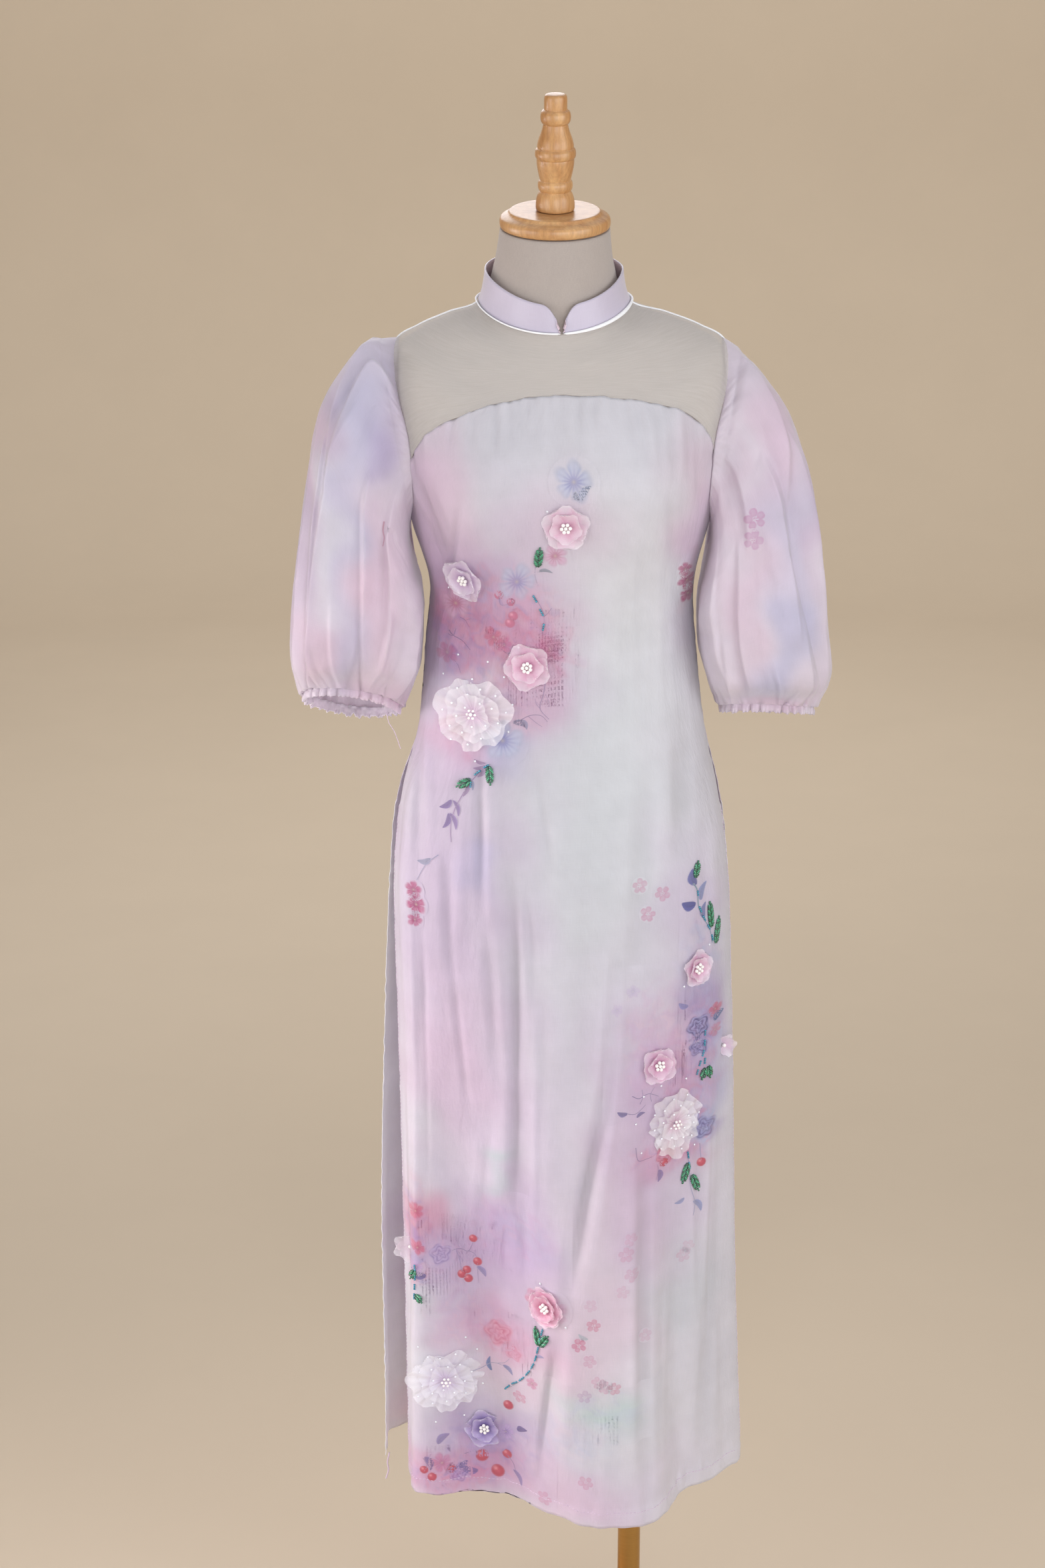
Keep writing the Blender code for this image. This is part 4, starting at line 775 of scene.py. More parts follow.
# Soft washes of dye: tint, centre, reach across and up, and strength.
FRONT_WASHES = [
    ("pink", -0.125, 1.330, 0.040, 0.085, 0.40),
    ("lilac", -0.140, 1.240, 0.045, 0.150, 0.45),
    ("lilac", -0.010, 1.310, 0.065, 0.055, 0.28),
    ("pink", 0.000, 1.325, 0.045, 0.045, 0.25),
    ("pink", 0.130, 1.350, 0.030, 0.060, 0.35),
    ("lilac", 0.138, 1.280, 0.025, 0.080, 0.40),
    ("white", 0.040, 1.240, 0.070, 0.160, 0.45),
    ("rose", -0.105, 1.225, 0.032, 0.042, 0.62),
    ("rose", -0.058, 1.222, 0.032, 0.036, 0.48),
    ("pink", -0.030, 1.200, 0.040, 0.055, 0.55),
    ("lilac", -0.085, 1.272, 0.060, 0.035, 0.50),
    ("violet", -0.122, 1.195, 0.020, 0.035, 0.30),
    ("pink", -0.030, 1.145, 0.035, 0.035, 0.40),
    ("lilac", -0.010, 1.170, 0.045, 0.075, 0.32),
    ("lilac", -0.090, 1.100, 0.050, 0.050, 0.30),
    ("blue", -0.065, 1.100, 0.030, 0.022, 0.40),
    ("pink", -0.110, 1.102, 0.030, 0.022, 0.40),
    ("lilac", -0.115, 0.990, 0.055, 0.120, 0.40),
    ("blue", -0.085, 0.985, 0.020, 0.022, 0.28),
    ("lilac", -0.050, 0.900, 0.045, 0.150, 0.22),
    ("lilac", -0.125, 0.840, 0.055, 0.130, 0.38),
    ("pink", -0.110, 0.760, 0.050, 0.085, 0.22),
    ("lilac", -0.060, 0.700, 0.070, 0.120, 0.32),
    ("mint", -0.059, 0.675, 0.020, 0.015, 0.45),
    ("mint", -0.074, 0.650, 0.014, 0.014, 0.35),
    ("lilac", -0.045, 0.600, 0.050, 0.060, 0.30),
    ("blue", -0.041, 0.586, 0.024, 0.028, 0.30),
    ("lilac", 0.130, 0.930, 0.040, 0.075, 0.32),
    ("violet", 0.146, 0.828, 0.022, 0.040, 0.50),
    ("pink", 0.118, 0.780, 0.045, 0.050, 0.50),
    ("lilac", 0.098, 0.720, 0.050, 0.060, 0.48),
    ("rose", 0.118, 0.664, 0.036, 0.018, 0.45),
    ("blue", 0.152, 0.745, 0.020, 0.050, 0.42),
    ("lilac", 0.065, 0.800, 0.050, 0.085, 0.22),
    ("lilac", 0.090, 0.630, 0.050, 0.060, 0.28),
    ("violet", -0.105, 0.556, 0.038, 0.034, 0.26),
    ("lilac", -0.080, 0.560, 0.070, 0.060, 0.55),
    ("rose", -0.146, 0.590, 0.028, 0.030, 0.50),
    ("pink", -0.065, 0.466, 0.050, 0.032, 0.50),
    ("lilac", -0.060, 0.500, 0.070, 0.080, 0.35),
    ("pink", -0.030, 0.430, 0.060, 0.050, 0.25),
    ("lilac", -0.085, 0.335, 0.070, 0.050, 0.60),
    ("rose", -0.062, 0.312, 0.030, 0.022, 0.32),
    ("lilac", -0.120, 0.290, 0.060, 0.030, 0.38),
    ("pink", -0.115, 0.292, 0.065, 0.024, 0.50),
    ("lilac", 0.105, 0.620, 0.060, 0.140, 0.22),
    ("pink", 0.055, 0.620, 0.045, 0.130, 0.16),
    ("violet", -0.076, 0.350, 0.030, 0.025, 0.42),
    ("pink", 0.005, 0.300, 0.060, 0.032, 0.30),
    ("lilac", 0.030, 0.300, 0.100, 0.050, 0.26),
    ("mint", 0.044, 0.406, 0.034, 0.022, 0.40),
    ("mint", 0.120, 0.500, 0.040, 0.050, 0.16),
    ("mint", 0.030, 1.060, 0.070, 0.170, 0.12),
    ("grey", 0.165, 0.450, 0.030, 0.120, 0.18),
    ("pink", 0.030, 0.490, 0.060, 0.060, 0.20),
]
BACK_WASHES = [
    ("lilac", 0.120, 1.220, 0.050, 0.150, 0.40),
    ("pink", -0.110, 1.280, 0.050, 0.090, 0.35),
    ("white", 0.000, 1.180, 0.080, 0.180, 0.40),
    ("lilac", -0.130, 1.060, 0.050, 0.120, 0.35),
    ("pink", 0.130, 0.960, 0.050, 0.110, 0.30),
    ("lilac", -0.060, 0.800, 0.070, 0.160, 0.30),
    ("mint", 0.050, 0.760, 0.060, 0.090, 0.25),
    ("blue", 0.110, 0.620, 0.050, 0.070, 0.32),
    ("lilac", -0.110, 0.500, 0.060, 0.120, 0.45),
    ("pink", -0.020, 0.480, 0.070, 0.070, 0.35),
    ("rose", 0.060, 0.400, 0.050, 0.030, 0.28),
    ("lilac", 0.040, 0.320, 0.120, 0.060, 0.50),
    ("pink", -0.110, 0.310, 0.060, 0.040, 0.40),
]
SLEEVE_WASHES = [
    ("blue", -0.186, 1.430, 0.026, 0.055, 0.30),
    ("violet", -0.176, 1.395, 0.012, 0.026, 0.26),
    ("blue", -0.212, 1.330, 0.022, 0.090, 0.24),
    ("lilac", -0.160, 1.420, 0.014, 0.040, 0.16),
    ("pink", -0.180, 1.245, 0.022, 0.075, 0.26),
    ("pink", -0.158, 1.300, 0.014, 0.050, 0.10),
    ("pink", -0.236, 1.190, 0.024, 0.035, 0.24),
    # The lilac and grey washes on the right sleeve's outer band and its upper fold: the cloth's own
    # lilac with painted shade over it, on the fold's shaded side.
    ("lilac", -0.258, 1.320, 0.018, 0.110, 0.50),
    ("grey", -0.256, 1.310, 0.016, 0.110, 0.30),
    ("white", -0.228, 1.310, 0.013, 0.080, 0.45),
    ("lilac", -0.228, 1.430, 0.014, 0.045, 0.40),
    ("grey", -0.230, 1.425, 0.014, 0.045, 0.30),
    ("pink", -0.250, 1.400, 0.016, 0.050, 0.25),
    ("blue", -0.210, 1.185, 0.018, 0.050, 0.22),
    ("pink", -0.190, 1.145, 0.030, 0.020, 0.20),
    ("pink", 0.210, 1.410, 0.022, 0.055, 0.20),
    ("pink", 0.182, 1.250, 0.016, 0.080, 0.18),
    ("blue", 0.226, 1.215, 0.020, 0.040, 0.32),
    ("lilac", 0.204, 1.330, 0.018, 0.080, 0.18),
    ("blue", 0.206, 1.165, 0.022, 0.028, 0.30),
    ("blue", 0.225, 1.310, 0.016, 0.060, 0.18),
    ("lilac", 0.246, 1.330, 0.016, 0.060, 0.28),
    ("pink", 0.160, 1.330, 0.012, 0.080, 0.10),
    ("pink", 0.216, 1.135, 0.030, 0.014, 0.26),
]
WASH_DRIFT = 0.014

# Mottled fields under the densest printing: centre, reach, three tints, strength and seed.
FRONT_FIELDS = [
    (-0.062, 1.222, 0.058, 0.058, "orchid", "rose", "violet", 0.53, 21),
    (-0.094, 1.205, 0.026, 0.062, "orchid", "violet", "rose", 0.41, 22),
    (-0.016, 1.196, 0.030, 0.034, "rose", "pink", "orchid", 0.49, 23),
    (-0.098, 1.116, 0.022, 0.022, "rose", "pink", "orchid", 0.46, 24),
    (-0.066, 1.138, 0.050, 0.026, "orchid", "pink", "violet", 0.30, 25),
    (0.146, 0.800, 0.024, 0.040, "violet", "blue", "orchid", 0.56, 26),
    (0.134, 0.742, 0.030, 0.038, "rose", "orchid", "violet", 0.53, 27),
    (0.110, 0.676, 0.034, 0.018, "rose", "pink", "violet", 0.48, 28),
    (0.148, 0.690, 0.016, 0.026, "violet", "blue", "rose", 0.53, 29),
    (0.096, 0.800, 0.040, 0.060, "lilac", "orchid", "pink", 0.33, 30),
    (0.142, 0.880, 0.018, 0.060, "blue", "lilac", "violet", 0.36, 31),
    (-0.149, 0.565, 0.012, 0.060, "rose", "violet", "berry", 0.56, 32),
    (-0.110, 0.552, 0.040, 0.034, "lilac", "orchid", "pink", 0.34, 33),
    (-0.092, 0.480, 0.050, 0.050, "lilac", "orchid", "pink", 0.33, 34),
    (-0.060, 0.460, 0.026, 0.026, "rose", "pink", "berry", 0.41, 35),
    (-0.055, 0.590, 0.050, 0.034, "orchid", "lilac", "pink", 0.28, 36),
    (-0.072, 0.332, 0.052, 0.038, "orchid", "violet", "lilac", 0.48, 37),
    (-0.112, 0.300, 0.060, 0.024, "orchid", "rose", "violet", 0.48, 38),
    (0.040, 0.404, 0.050, 0.024, "mint", "blue", "mint", 0.18, 39),
    (0.008, 0.370, 0.040, 0.026, "blue", "lilac", "blue", 0.21, 40),
    (0.128, 1.262, 0.010, 0.034, "berry", "rose", "rose", 0.26, 41),
]
BACK_FIELDS = [
    (0.098, 1.215, 0.036, 0.050, "orchid", "rose", "violet", 0.40, 51),
    (-0.104, 1.025, 0.034, 0.050, "orchid", "violet", "lilac", 0.40, 52),
    (0.104, 0.740, 0.034, 0.060, "rose", "orchid", "blue", 0.40, 53),
    (-0.088, 0.480, 0.044, 0.060, "orchid", "rose", "violet", 0.43, 54),
    (0.048, 0.352, 0.054, 0.040, "lilac", "pink", "blue", 0.40, 55),
]


def dyed(x, z, washes, fields=(), base="pearl"):
    """Linear colours of cloth washed with dye, whose edges wander like watercolour."""
    drift_x = x + WASH_DRIFT * cloudy(x, z, 0.050, 11)
    drift_z = z + WASH_DRIFT * cloudy(x, z, 0.050, 12)
    colour = np.zeros((*np.shape(x), 3)) + linear(TINTS[base])
    for tint, centre_x, centre_z, reach_x, reach_z, strength in washes:
        away = ((drift_x - centre_x) / reach_x) ** 2 + ((drift_z - centre_z) / reach_z) ** 2
        share = strength * np.exp(-(away**1.3) * 0.9)
        colour += (linear(TINTS[tint]) - colour) * share[..., None]
    for centre_x, centre_z, reach_x, reach_z, first, second, third, strength, seed in fields:
        near = (np.abs(x - centre_x) < reach_x * 2) & (np.abs(z - centre_z) < reach_z * 2)
        if not near.any():
            continue
        there = x[near] + 0.008 * cloudy(x[near], z[near], 0.016, seed)
        high = z[near] + 0.008 * cloudy(x[near], z[near], 0.016, seed + 100)
        away = ((there - centre_x) / reach_x) ** 2 + ((high - centre_z) / reach_z) ** 2
        cloud = 0.66 + 0.34 * cloudy(there, high, 0.013, seed + 200)
        share = strength * np.exp(-(away**1.8) * 1.1) * np.clip(cloud, 0, 1)
        split = soft_step(cloudy(there, high, 0.015, seed + 300), -0.45, 0.45)[..., None]
        spots = soft_step(cloudy(there, high, 0.008, seed + 400), 0.15, 0.8)[..., None] * 0.75
        tint = linear(TINTS[first]) * split + linear(TINTS[second]) * (1 - split)
        tint = tint + (linear(TINTS[third]) - tint) * spots
        colour[near] += (tint - colour[near]) * share[..., None]
    blotch = 1 + 0.018 * cloudy(x, z, 0.018, 13) + 0.02 * cloudy(x, z, 0.07, 14)
    return colour * blotch[..., None]


def soft_step(value, low, high):
    part = np.clip((value - low) / (high - low), 0, 1)
    return part * part * (3 - 2 * part)


# --- meshes ---------------------------------------------------------------------------------------


def grid_faces(rows, columns, closed=False):
    """Quads of a grid whose rows go down and whose columns go counterclockwise from above."""
    width = columns if closed else columns + 1
    row, column = np.meshgrid(np.arange(rows), np.arange(columns), indexing="ij")
    a = row * width + column
    b = row * width + (column + 1) % width
    return np.stack([a, a + width, b + width, b], axis=-1).reshape(-1, 4)


def mesh_piece(name, points, faces, finish, colours=None, smooth=True):
    mesh = bpy.data.meshes.new(name)
    mesh.from_pydata(np.asarray(points).tolist(), [], [list(map(int, face)) for face in faces])
    mesh.update()
    if colours is not None:
        dye = mesh.color_attributes.new(name="dye", type="FLOAT_COLOR", domain="POINT")
        full = np.ones((len(mesh.vertices), 4))
        full[:, :3] = np.clip(np.asarray(colours).reshape(-1, 3), 0, 1)
        dye.data.foreach_set("color", full.ravel())
    obj = bpy.data.objects.new(name, mesh)
    bpy.context.scene.collection.objects.link(obj)
    for one in finish if isinstance(finish, (list, tuple)) else [finish]:
        mesh.materials.append(one)
    if smooth:
        mesh.shade_smooth()
    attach(obj, "root")
    return obj


def cloth_map(grid):
    """Metres along the cloth at every point of a grid, and its columns' mean widths."""
    across = np.linalg.norm(np.diff(grid, axis=1), axis=-1).mean(axis=0)
    down = np.linalg.norm(np.diff(grid, axis=0), axis=-1).mean(axis=1)
    u = np.concatenate([[0], np.cumsum(across)])
    v = np.concatenate([[0], np.cumsum(down)])
    return np.stack(np.meshgrid(u, v), axis=-1).reshape(-1, 2), across


def corners_of(obj):
    """The vertex of every face corner."""
    corners = np.empty(len(obj.data.loops), int)
    obj.data.loops.foreach_get("vertex_index", corners)
    return corners


def cloth_uv(obj, grid, closed=False):
    """A map in metres along the cloth, so that its weave runs with the grain."""
    uv, across = cloth_map(grid)
    corners = corners_of(obj)
    placed = uv[corners].reshape(-1, 4, 2)
    if closed:
        column = corners.reshape(-1, 4) % grid.shape[1]
        wraps = (column == grid.shape[1] - 1).any(axis=1)[:, None] & (column == 0)
        placed[..., 0] += np.where(wraps, uv[-1, 0] + across[-1], 0)
    obj.data.uv_layers.new(name="cloth").data.foreach_set("uv", placed.ravel())


def shell(name, grid, finish, colours, thickness=SHELL, closed=False, flip=False):
    """A thin cloth whose outer face is the grid."""
    columns = grid.shape[1] if closed else grid.shape[1] - 1
    faces = grid_faces(grid.shape[0] - 1, columns, closed)
    if flip:
        faces = faces[:, ::-1]
    obj = mesh_piece(name, grid.reshape(-1, 3), faces, finish, colours)
    cloth_uv(obj, grid, closed)
    if thickness:
        solidify = obj.modifiers.new("cloth", "SOLIDIFY")
        solidify.thickness = thickness
        solidify.offset = -1
    return obj


# --- materials ------------------------------------------------------------------------------------


def node(tree, kind, **settings):
    made = tree.nodes.new(kind)
    for name, value in settings.items():
        if name in made.inputs:
            made.inputs[name].default_value = value
        else:
            setattr(made, name, value)
    return made


def new_material(name, roughness, **settings):
    made = bpy.data.materials.new(name)
    made.use_nodes = True
    shader = made.node_tree.nodes["Principled BSDF"]
    shader.inputs["Roughness"].default_value = roughness
    for socket, value in settings.items():
        shader.inputs[socket.replace("_", " ")].default_value = value
    return made, made.node_tree, shader


def cloth_place(tree):
    return node(tree, "ShaderNodeUVMap", uv_map="cloth").outputs["UV"]


def object_place(tree):
    return node(tree, "ShaderNodeTexCoord").outputs["Object"]


def dye_of(tree):
    return node(tree, "ShaderNodeAttribute", attribute_name="dye").outputs["Color"]


def tint_of(tree, colour):
    tint = node(tree, "ShaderNodeRGB")
    tint.outputs[0].default_value = (*linear(colour), 1)
    return tint.outputs[0]


def streaks(tree, coordinate, scale, detail=3.0):
    """Noise drawn out along a direction: scale is one number for each axis."""
    mapping = node(tree, "ShaderNodeMapping", Scale=scale)
    noise = node(tree, "ShaderNodeTexNoise", Scale=1.0, Detail=detail, Roughness=0.6)
    tree.links.new(coordinate, mapping.inputs["Vector"])
    tree.links.new(mapping.outputs["Vector"], noise.inputs["Vector"])
    return noise.outputs["Fac"]


def bump_chain(tree, shader, layers):
    """Bumps one on another: each layer is a height output, its strength and its distance."""
    last = None
    for height, strength, distance in layers:
        bump = node(tree, "ShaderNodeBump", Strength=strength, Distance=distance)
        tree.links.new(height, bump.inputs["Height"])
        if last:
            tree.links.new(last, bump.inputs["Normal"])
        last = bump.outputs["Normal"]
    tree.links.new(last, shader.inputs["Normal"])


def varied(tree, colour, share, low, high):
    """The colour times a value that runs from low to high with share."""
    spread = node(tree, "ShaderNodeMapRange")
    spread.inputs["From Min"].default_value = 0.25
    spread.inputs["From Max"].default_value = 0.75
    spread.inputs["To Min"].default_value = low
    spread.inputs["To Max"].default_value = high
    scaled = node(tree, "ShaderNodeVectorMath", operation="SCALE")
    tree.links.new(share, spread.inputs["Value"])
    tree.links.new(colour, scaled.inputs[0])
    tree.links.new(spread.outputs["Result"], scaled.inputs["Scale"])
    return scaled.outputs["Vector"]


def let_light_through(made, colour, share):
    """Mixes in the light that passes through thin cloth from behind."""
    tree = made.node_tree
    shader = tree.nodes["Principled BSDF"]
    output = tree.nodes["Material Output"]
    through = node(tree, "ShaderNodeBsdfTranslucent")
    mix = node(tree, "ShaderNodeMixShader", Fac=share)
    tree.links.new(colour, through.inputs["Color"])
    tree.links.new(shader.outputs["BSDF"], mix.inputs[1])
    tree.links.new(through.outputs["BSDF"], mix.inputs[2])
    tree.links.new(mix.outputs["Shader"], output.inputs["Surface"])


def silk_material(name, roughness, sheen, crinkle, through):
    """Woven silk: dye from the cloth's colours, slubs both ways, fine weave and soft crinkles."""
    made, tree, shader = new_material(name, roughness, Sheen_Weight=sheen, Specular_IOR_Level=0.35)
    shader.inputs["Sheen Roughness"].default_value = 0.5
    uv = cloth_place(tree)
    dye = dye_of(tree)
    warp = streaks(tree, uv, (1500, 70, 1))
    weft = streaks(tree, uv, (60, 1300, 1))
    rumple = streaks(tree, uv, (46, 20, 1), 4.0)
    crumple = streaks(tree, uv, (130, 75, 1), 3.0)
    colour = varied(tree, dye, warp, 0.975, 1.02)
    colour = varied(tree, colour, weft, 0.98, 1.015)
    tree.links.new(colour, shader.inputs["Base Color"])
    layers = [(rumple, 0.5 * crinkle, 0.004), (crumple, 0.35 * crinkle, 0.0012)]
    layers += [(warp, 0.25, 0.0002), (weft, 0.25, 0.0002)]
    bump_chain(tree, shader, layers)
    if through:
        let_light_through(made, colour, through)
    return made


def plain_material(name, colour, roughness, grain, depth, low, high, **settings):
    """A colour with an even grain of one size in it, by place on the object."""
    made, tree, shader = new_material(name, roughness, **settings)
    place = object_place(tree)
    speck = streaks(tree, place, (grain, grain, grain), 5.0)
    tint = tint_of(tree, colour)
    tree.links.new(varied(tree, tint, speck, low, high), shader.inputs["Base Color"])
    bump_chain(tree, shader, [(speck, 0.4, depth)])
    return made


def wood_material(name, light, dark, roughness, run=(55, 90, 14)):
    """Oiled wood with long grain lines and pores along the axis where run is least."""
    made, tree, shader = new_material(name, roughness, Coat_Weight=0.25, Coat_Roughness=0.25)
    place = object_place(tree)
    broad = streaks(tree, place, run, 4.0)
    lines = streaks(tree, place, [6 * scale if scale > 20 else 2 * scale for scale in run], 3.0)
    pores = streaks(tree, place, [18 * scale if scale > 20 else 5 * scale for scale in run], 2.0)
    ramp = node(tree, "ShaderNodeValToRGB")
    ramp.color_ramp.elements[0].position = 0.32
    ramp.color_ramp.elements[1].position = 0.68
    ramp.color_ramp.elements[0].color = (*linear(dark), 1)
    ramp.color_ramp.elements[1].color = (*linear(light), 1)
    tree.links.new(broad, ramp.inputs["Fac"])
    colour = varied(tree, ramp.outputs["Color"], lines, 0.82, 1.12)
    colour = varied(tree, colour, pores, 0.9, 1.05)
    tree.links.new(colour, shader.inputs["Base Color"])
    bump_chain(tree, shader, [(lines, 0.25, 0.0004), (pores, 0.2, 0.0002)])
    return made


def jersey_material():
    """Greige knit over the form: fine ribs down it and crosswise yarns."""
    made, tree, shader = new_material("form_jersey", 0.9, Sheen_Weight=0.25)
    uv = cloth_place(tree)
    ribs = streaks(tree, uv, (1300, 160, 1))
    rows = streaks(tree, uv, (240, 1500, 1))
    soft = streaks(tree, uv, (22, 30, 1))
    colour = varied(tree, tint_of(tree, JERSEY_COLOUR), ribs, 0.93, 1.05)
    colour = varied(tree, colour, rows, 0.94, 1.05)
    colour = varied(tree, colour, soft, 0.975, 1.02)
    tree.links.new(colour, shader.inputs["Base Color"])
    bump_chain(tree, shader, [(ribs, 0.5, 0.0003), (rows, 0.5, 0.0003)])
    return made


def brushed_gold():
    made, tree, shader = new_material("gold_metal", 0.3, Metallic=1.0)
    place = object_place(tree)
    lines = streaks(tree, place, (60, 60, 2600))
    tint = tint_of(tree, GOLD_COLOUR)
    tree.links.new(varied(tree, tint, lines, 0.9, 1.06), shader.inputs["Base Color"])
    bump_chain(tree, shader, [(lines, 0.2, 0.0001)])
    return made


def net_material():
    """Sheer net: mostly clear, with faint crosswise ripples."""
    made, tree, shader = new_material("yoke_net", 0.75, Sheen_Weight=0.2, Specular_IOR_Level=0.2)
    uv = cloth_place(tree)
    ripple = streaks(tree, uv, (45, 620, 1), 4.0)
    mesh_lines = streaks(tree, uv, (1500, 1500, 1), 2.0)
    colour = varied(tree, tint_of(tree, NET_COLOUR), ripple, 0.93, 1.05)
    tree.links.new(varied(tree, colour, mesh_lines, 0.94, 1.04), shader.inputs["Base Color"])
    shader.inputs["Alpha"].default_value = 0.36
    bump_chain(tree, shader, [(ripple, 0.4, 0.0004), (mesh_lines, 0.4, 0.0002)])
    return made


def organza_material(name, alpha):
    """Crisp sheer silk with its dye in the petals' own colours."""
    made, tree, shader = new_material(name, 0.35, Sheen_Weight=0.6, Specular_IOR_Level=0.5)
    shader.inputs["Alpha"].default_value = alpha
    dye = dye_of(tree)
    place = object_place(tree)
    threads = streaks(tree, place, (1600, 1600, 1600), 2.0)
    tree.links.new(varied(tree, dye, threads, 0.93, 1.06), shader.inputs["Base Color"])
    bump_chain(tree, shader, [(threads, 0.35, 0.0002)])
    return made


def gem_material(name, colour, roughness, **settings):
    return plain_material(name, colour, roughness, 700, 0.0001, 0.95, 1.05, **settings)


def dyed_gem(name, roughness, **settings):
    """Glass whose colour is each bead's own, a little uneven."""
    made, tree, shader = new_material(name, roughness, **settings)
    dye = dye_of(tree)
    place = object_place(tree)
    uneven = streaks(tree, place, (350, 350, 350), 2.0)
    tree.links.new(varied(tree, dye, uneven, 0.7, 1.3), shader.inputs["Base Color"])
    return made


jersey = jersey_material()
wood = wood_material("turned_wood", WOOD_LIGHT, WOOD_DARK, 0.38)
gold = brushed_gold()
net = net_material()
silk = silk_material("printed_silk", 0.52, 0.6, 1.1, 0.40)
sleeve_silk = silk_material("sleeve_silk", 0.42, 1.0, 0.7, 0.46)
satin = silk_material("collar_satin", 0.36, 0.4, 0.35, 0.0)
white_trim = silk_material("white_binding", 0.5, 0.3, 0.3, 0.0)
lining = plain_material("collar_lining", (0.86, 0.78, 0.82), 0.7, 900, 0.0002, 0.9, 1.08)
organza = organza_material("organza", 0.50)
tulle = organza_material("tulle", 0.42)
pearl = gem_material("pearl", PEARL_COLOUR, 0.18, Coat_Weight=0.6, Sheen_Weight=0.3)
crystal = gem_material("crystal", STONE_COLOUR, 0.06, Coat_Weight=1.0, Specular_IOR_Level=1.0)
bead = dyed_gem("bead", 0.2, Coat_Weight=0.8)
thread_finish = plain_material("thread", (0.84, 0.76, 0.84), 0.7, 1500, 0.0001, 0.9, 1.05)
floor_finish = plain_material("floor", (0.79, 0.73, 0.645), 0.9, 3, 0.0004, 0.985, 1.015)
base_wood = wood_material("base_wood", WOOD_LIGHT, WOOD_DARK, 0.38, (14, 90, 55))


# --- the form and its stand -----------------------------------------------------------------------


def make_form():
    half = FORM_COLUMNS // 2
    front = np.linspace(-math.pi, 0, half, endpoint=False)
    back = np.linspace(0, math.pi, half, endpoint=False)
    rings = []
    for level in np.linspace(0, len(FORM["side_z"]) - 1, FORM_ROWS):
        inset = -FORM_INSET * np.interp(level, FORM_INSET_LEVELS, (0, 1))
        at_level = np.full(half, level)
        ring_front = cloth_points(FORM_FRONT, front, at_level, ease=inset)
        ring_back = cloth_points(FORM_BACK, back, at_level, ease=inset)
        rings.append(np.concatenate([ring_front, ring_back]))
    grid = np.array(rings)
    top, bottom = grid[0].mean(axis=0), grid[-1].mean(axis=0)
    lids = [top + (grid[0] - top) * share for share in FORM_LID_SHARES]
    floors = [bottom + (grid[-1] - bottom) * share for share in FORM_LID_SHARES[::-1]]
    grid = np.concatenate([lids, grid, floors])
    faces = grid_faces(len(grid) - 1, FORM_COLUMNS, closed=True)
    obj = mesh_piece("form_cover", grid.reshape(-1, 3), faces, jersey)
    cloth_uv(obj, grid, closed=True)
    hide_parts("form_torso")


def rounded(profile, turns):
    """The profile with its corners cut back a number of times, for soft turned edges."""
    points = np.array(profile)
    for _ in range(turns):
        early = points[:-1] * 0.75 + points[1:] * 0.25
        late = points[:-1] * 0.25 + points[1:] * 0.75
        middle = np.stack([early, late], axis=1).reshape(-1, 2)
        points = np.concatenate([points[:1], middle, points[-1:]])
    return points


def turned(name, profile, finish, place=(0, 0, 0), lean=0.0, sides=96, turns=2):
    """A turned piece that stands for the node of the same name without its _turned."""
    points = rounded(profile, turns)
    around = np.linspace(0, 2 * math.pi, sides, endpoint=False)
    radius = np.maximum(points[::-1, 0], 0.00005)[:, None]
    height = np.repeat(points[::-1, 1][:, None], sides, axis=1)
    grid = np.stack([radius * np.cos(around), radius * np.sin(around), height], axis=-1)
    tilt = [[1, 0, 0], [0, math.cos(lean), -math.sin(lean)], [0, math.sin(lean), math.cos(lean)]]
    moved = grid.reshape(-1, 3) @ np.array(tilt).T + np.array(place)
    obj = mesh_piece(name + "_turned", moved, grid_faces(len(grid) - 1, sides, closed=True), finish)
    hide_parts(name)


# --- body cloth -----------------------------------------------------------------------------------


def armhole_part(levels):
    return np.clip((levels - SHOULDER_LEVEL) / (UNDERARM_LEVEL - SHOULDER_LEVEL), 0, 1)


def panel_grid(sections, ends, spread, corners, edge_angles, edge_levels, columns):
    """A panel's angles and levels, from its armholes and top edge down to the hem.

    Its columns keep to one angle each. Ends are the angles of its sides, in rising order.
    """
    signs = (1, -1)
    parts = [np.linspace(1, corners[0], EDGE_STEPS), np.linspace(corners[1], 1, EDGE_STEPS)]
    holes = [armhole(part, sign, spread, end) for part, sign, end in zip(parts, signs, ends)]
    top = np.concatenate([holes[0], np.stack([edge_angles, edge_levels], axis=-1), holes[1]])
    side_columns = round(columns * SIDE_COLUMN_SHARE)
    stops = (0, side_columns, columns - side_columns, columns)
    side_angles = (ends[0], holes[0][-1, 0], holes[1][0, 0], ends[1])
    angles = np.interp(np.arange(columns + 1), stops, side_angles)
    edge = np.interp(angles, top[:, 0], top[:, 1])
    levels = np.linspace(UNDERARM_LEVEL, HEM_LEVEL, 600)
    heights = smooth(sections["side_z"], levels)
    levels = np.interp(-np.linspace(heights[0], heights[-1], PANEL_ROWS + 1), -heights, levels)
    first, last = (np.stack([np.full(levels.shape, end), levels], axis=-1) for end in ends)
    patched = patch(first, last, edge, PANEL_FADE)
    patched[..., 0] = angles
    return patched


def yoke_edge(sign, spread, end, corner):
    """A yoke's edge: the shoulder seam, then the armhole down to the corner."""
    corner_level = SHOULDER_LEVEL + (UNDERARM_LEVEL - SHOULDER_LEVEL) * corner
    levels = np.linspace(NECK_LEVEL, corner_level, YOKE_ROWS + 1)
    return np.stack([armhole(armhole_part(levels), sign, spread, end)[:, 0], levels], axis=-1)


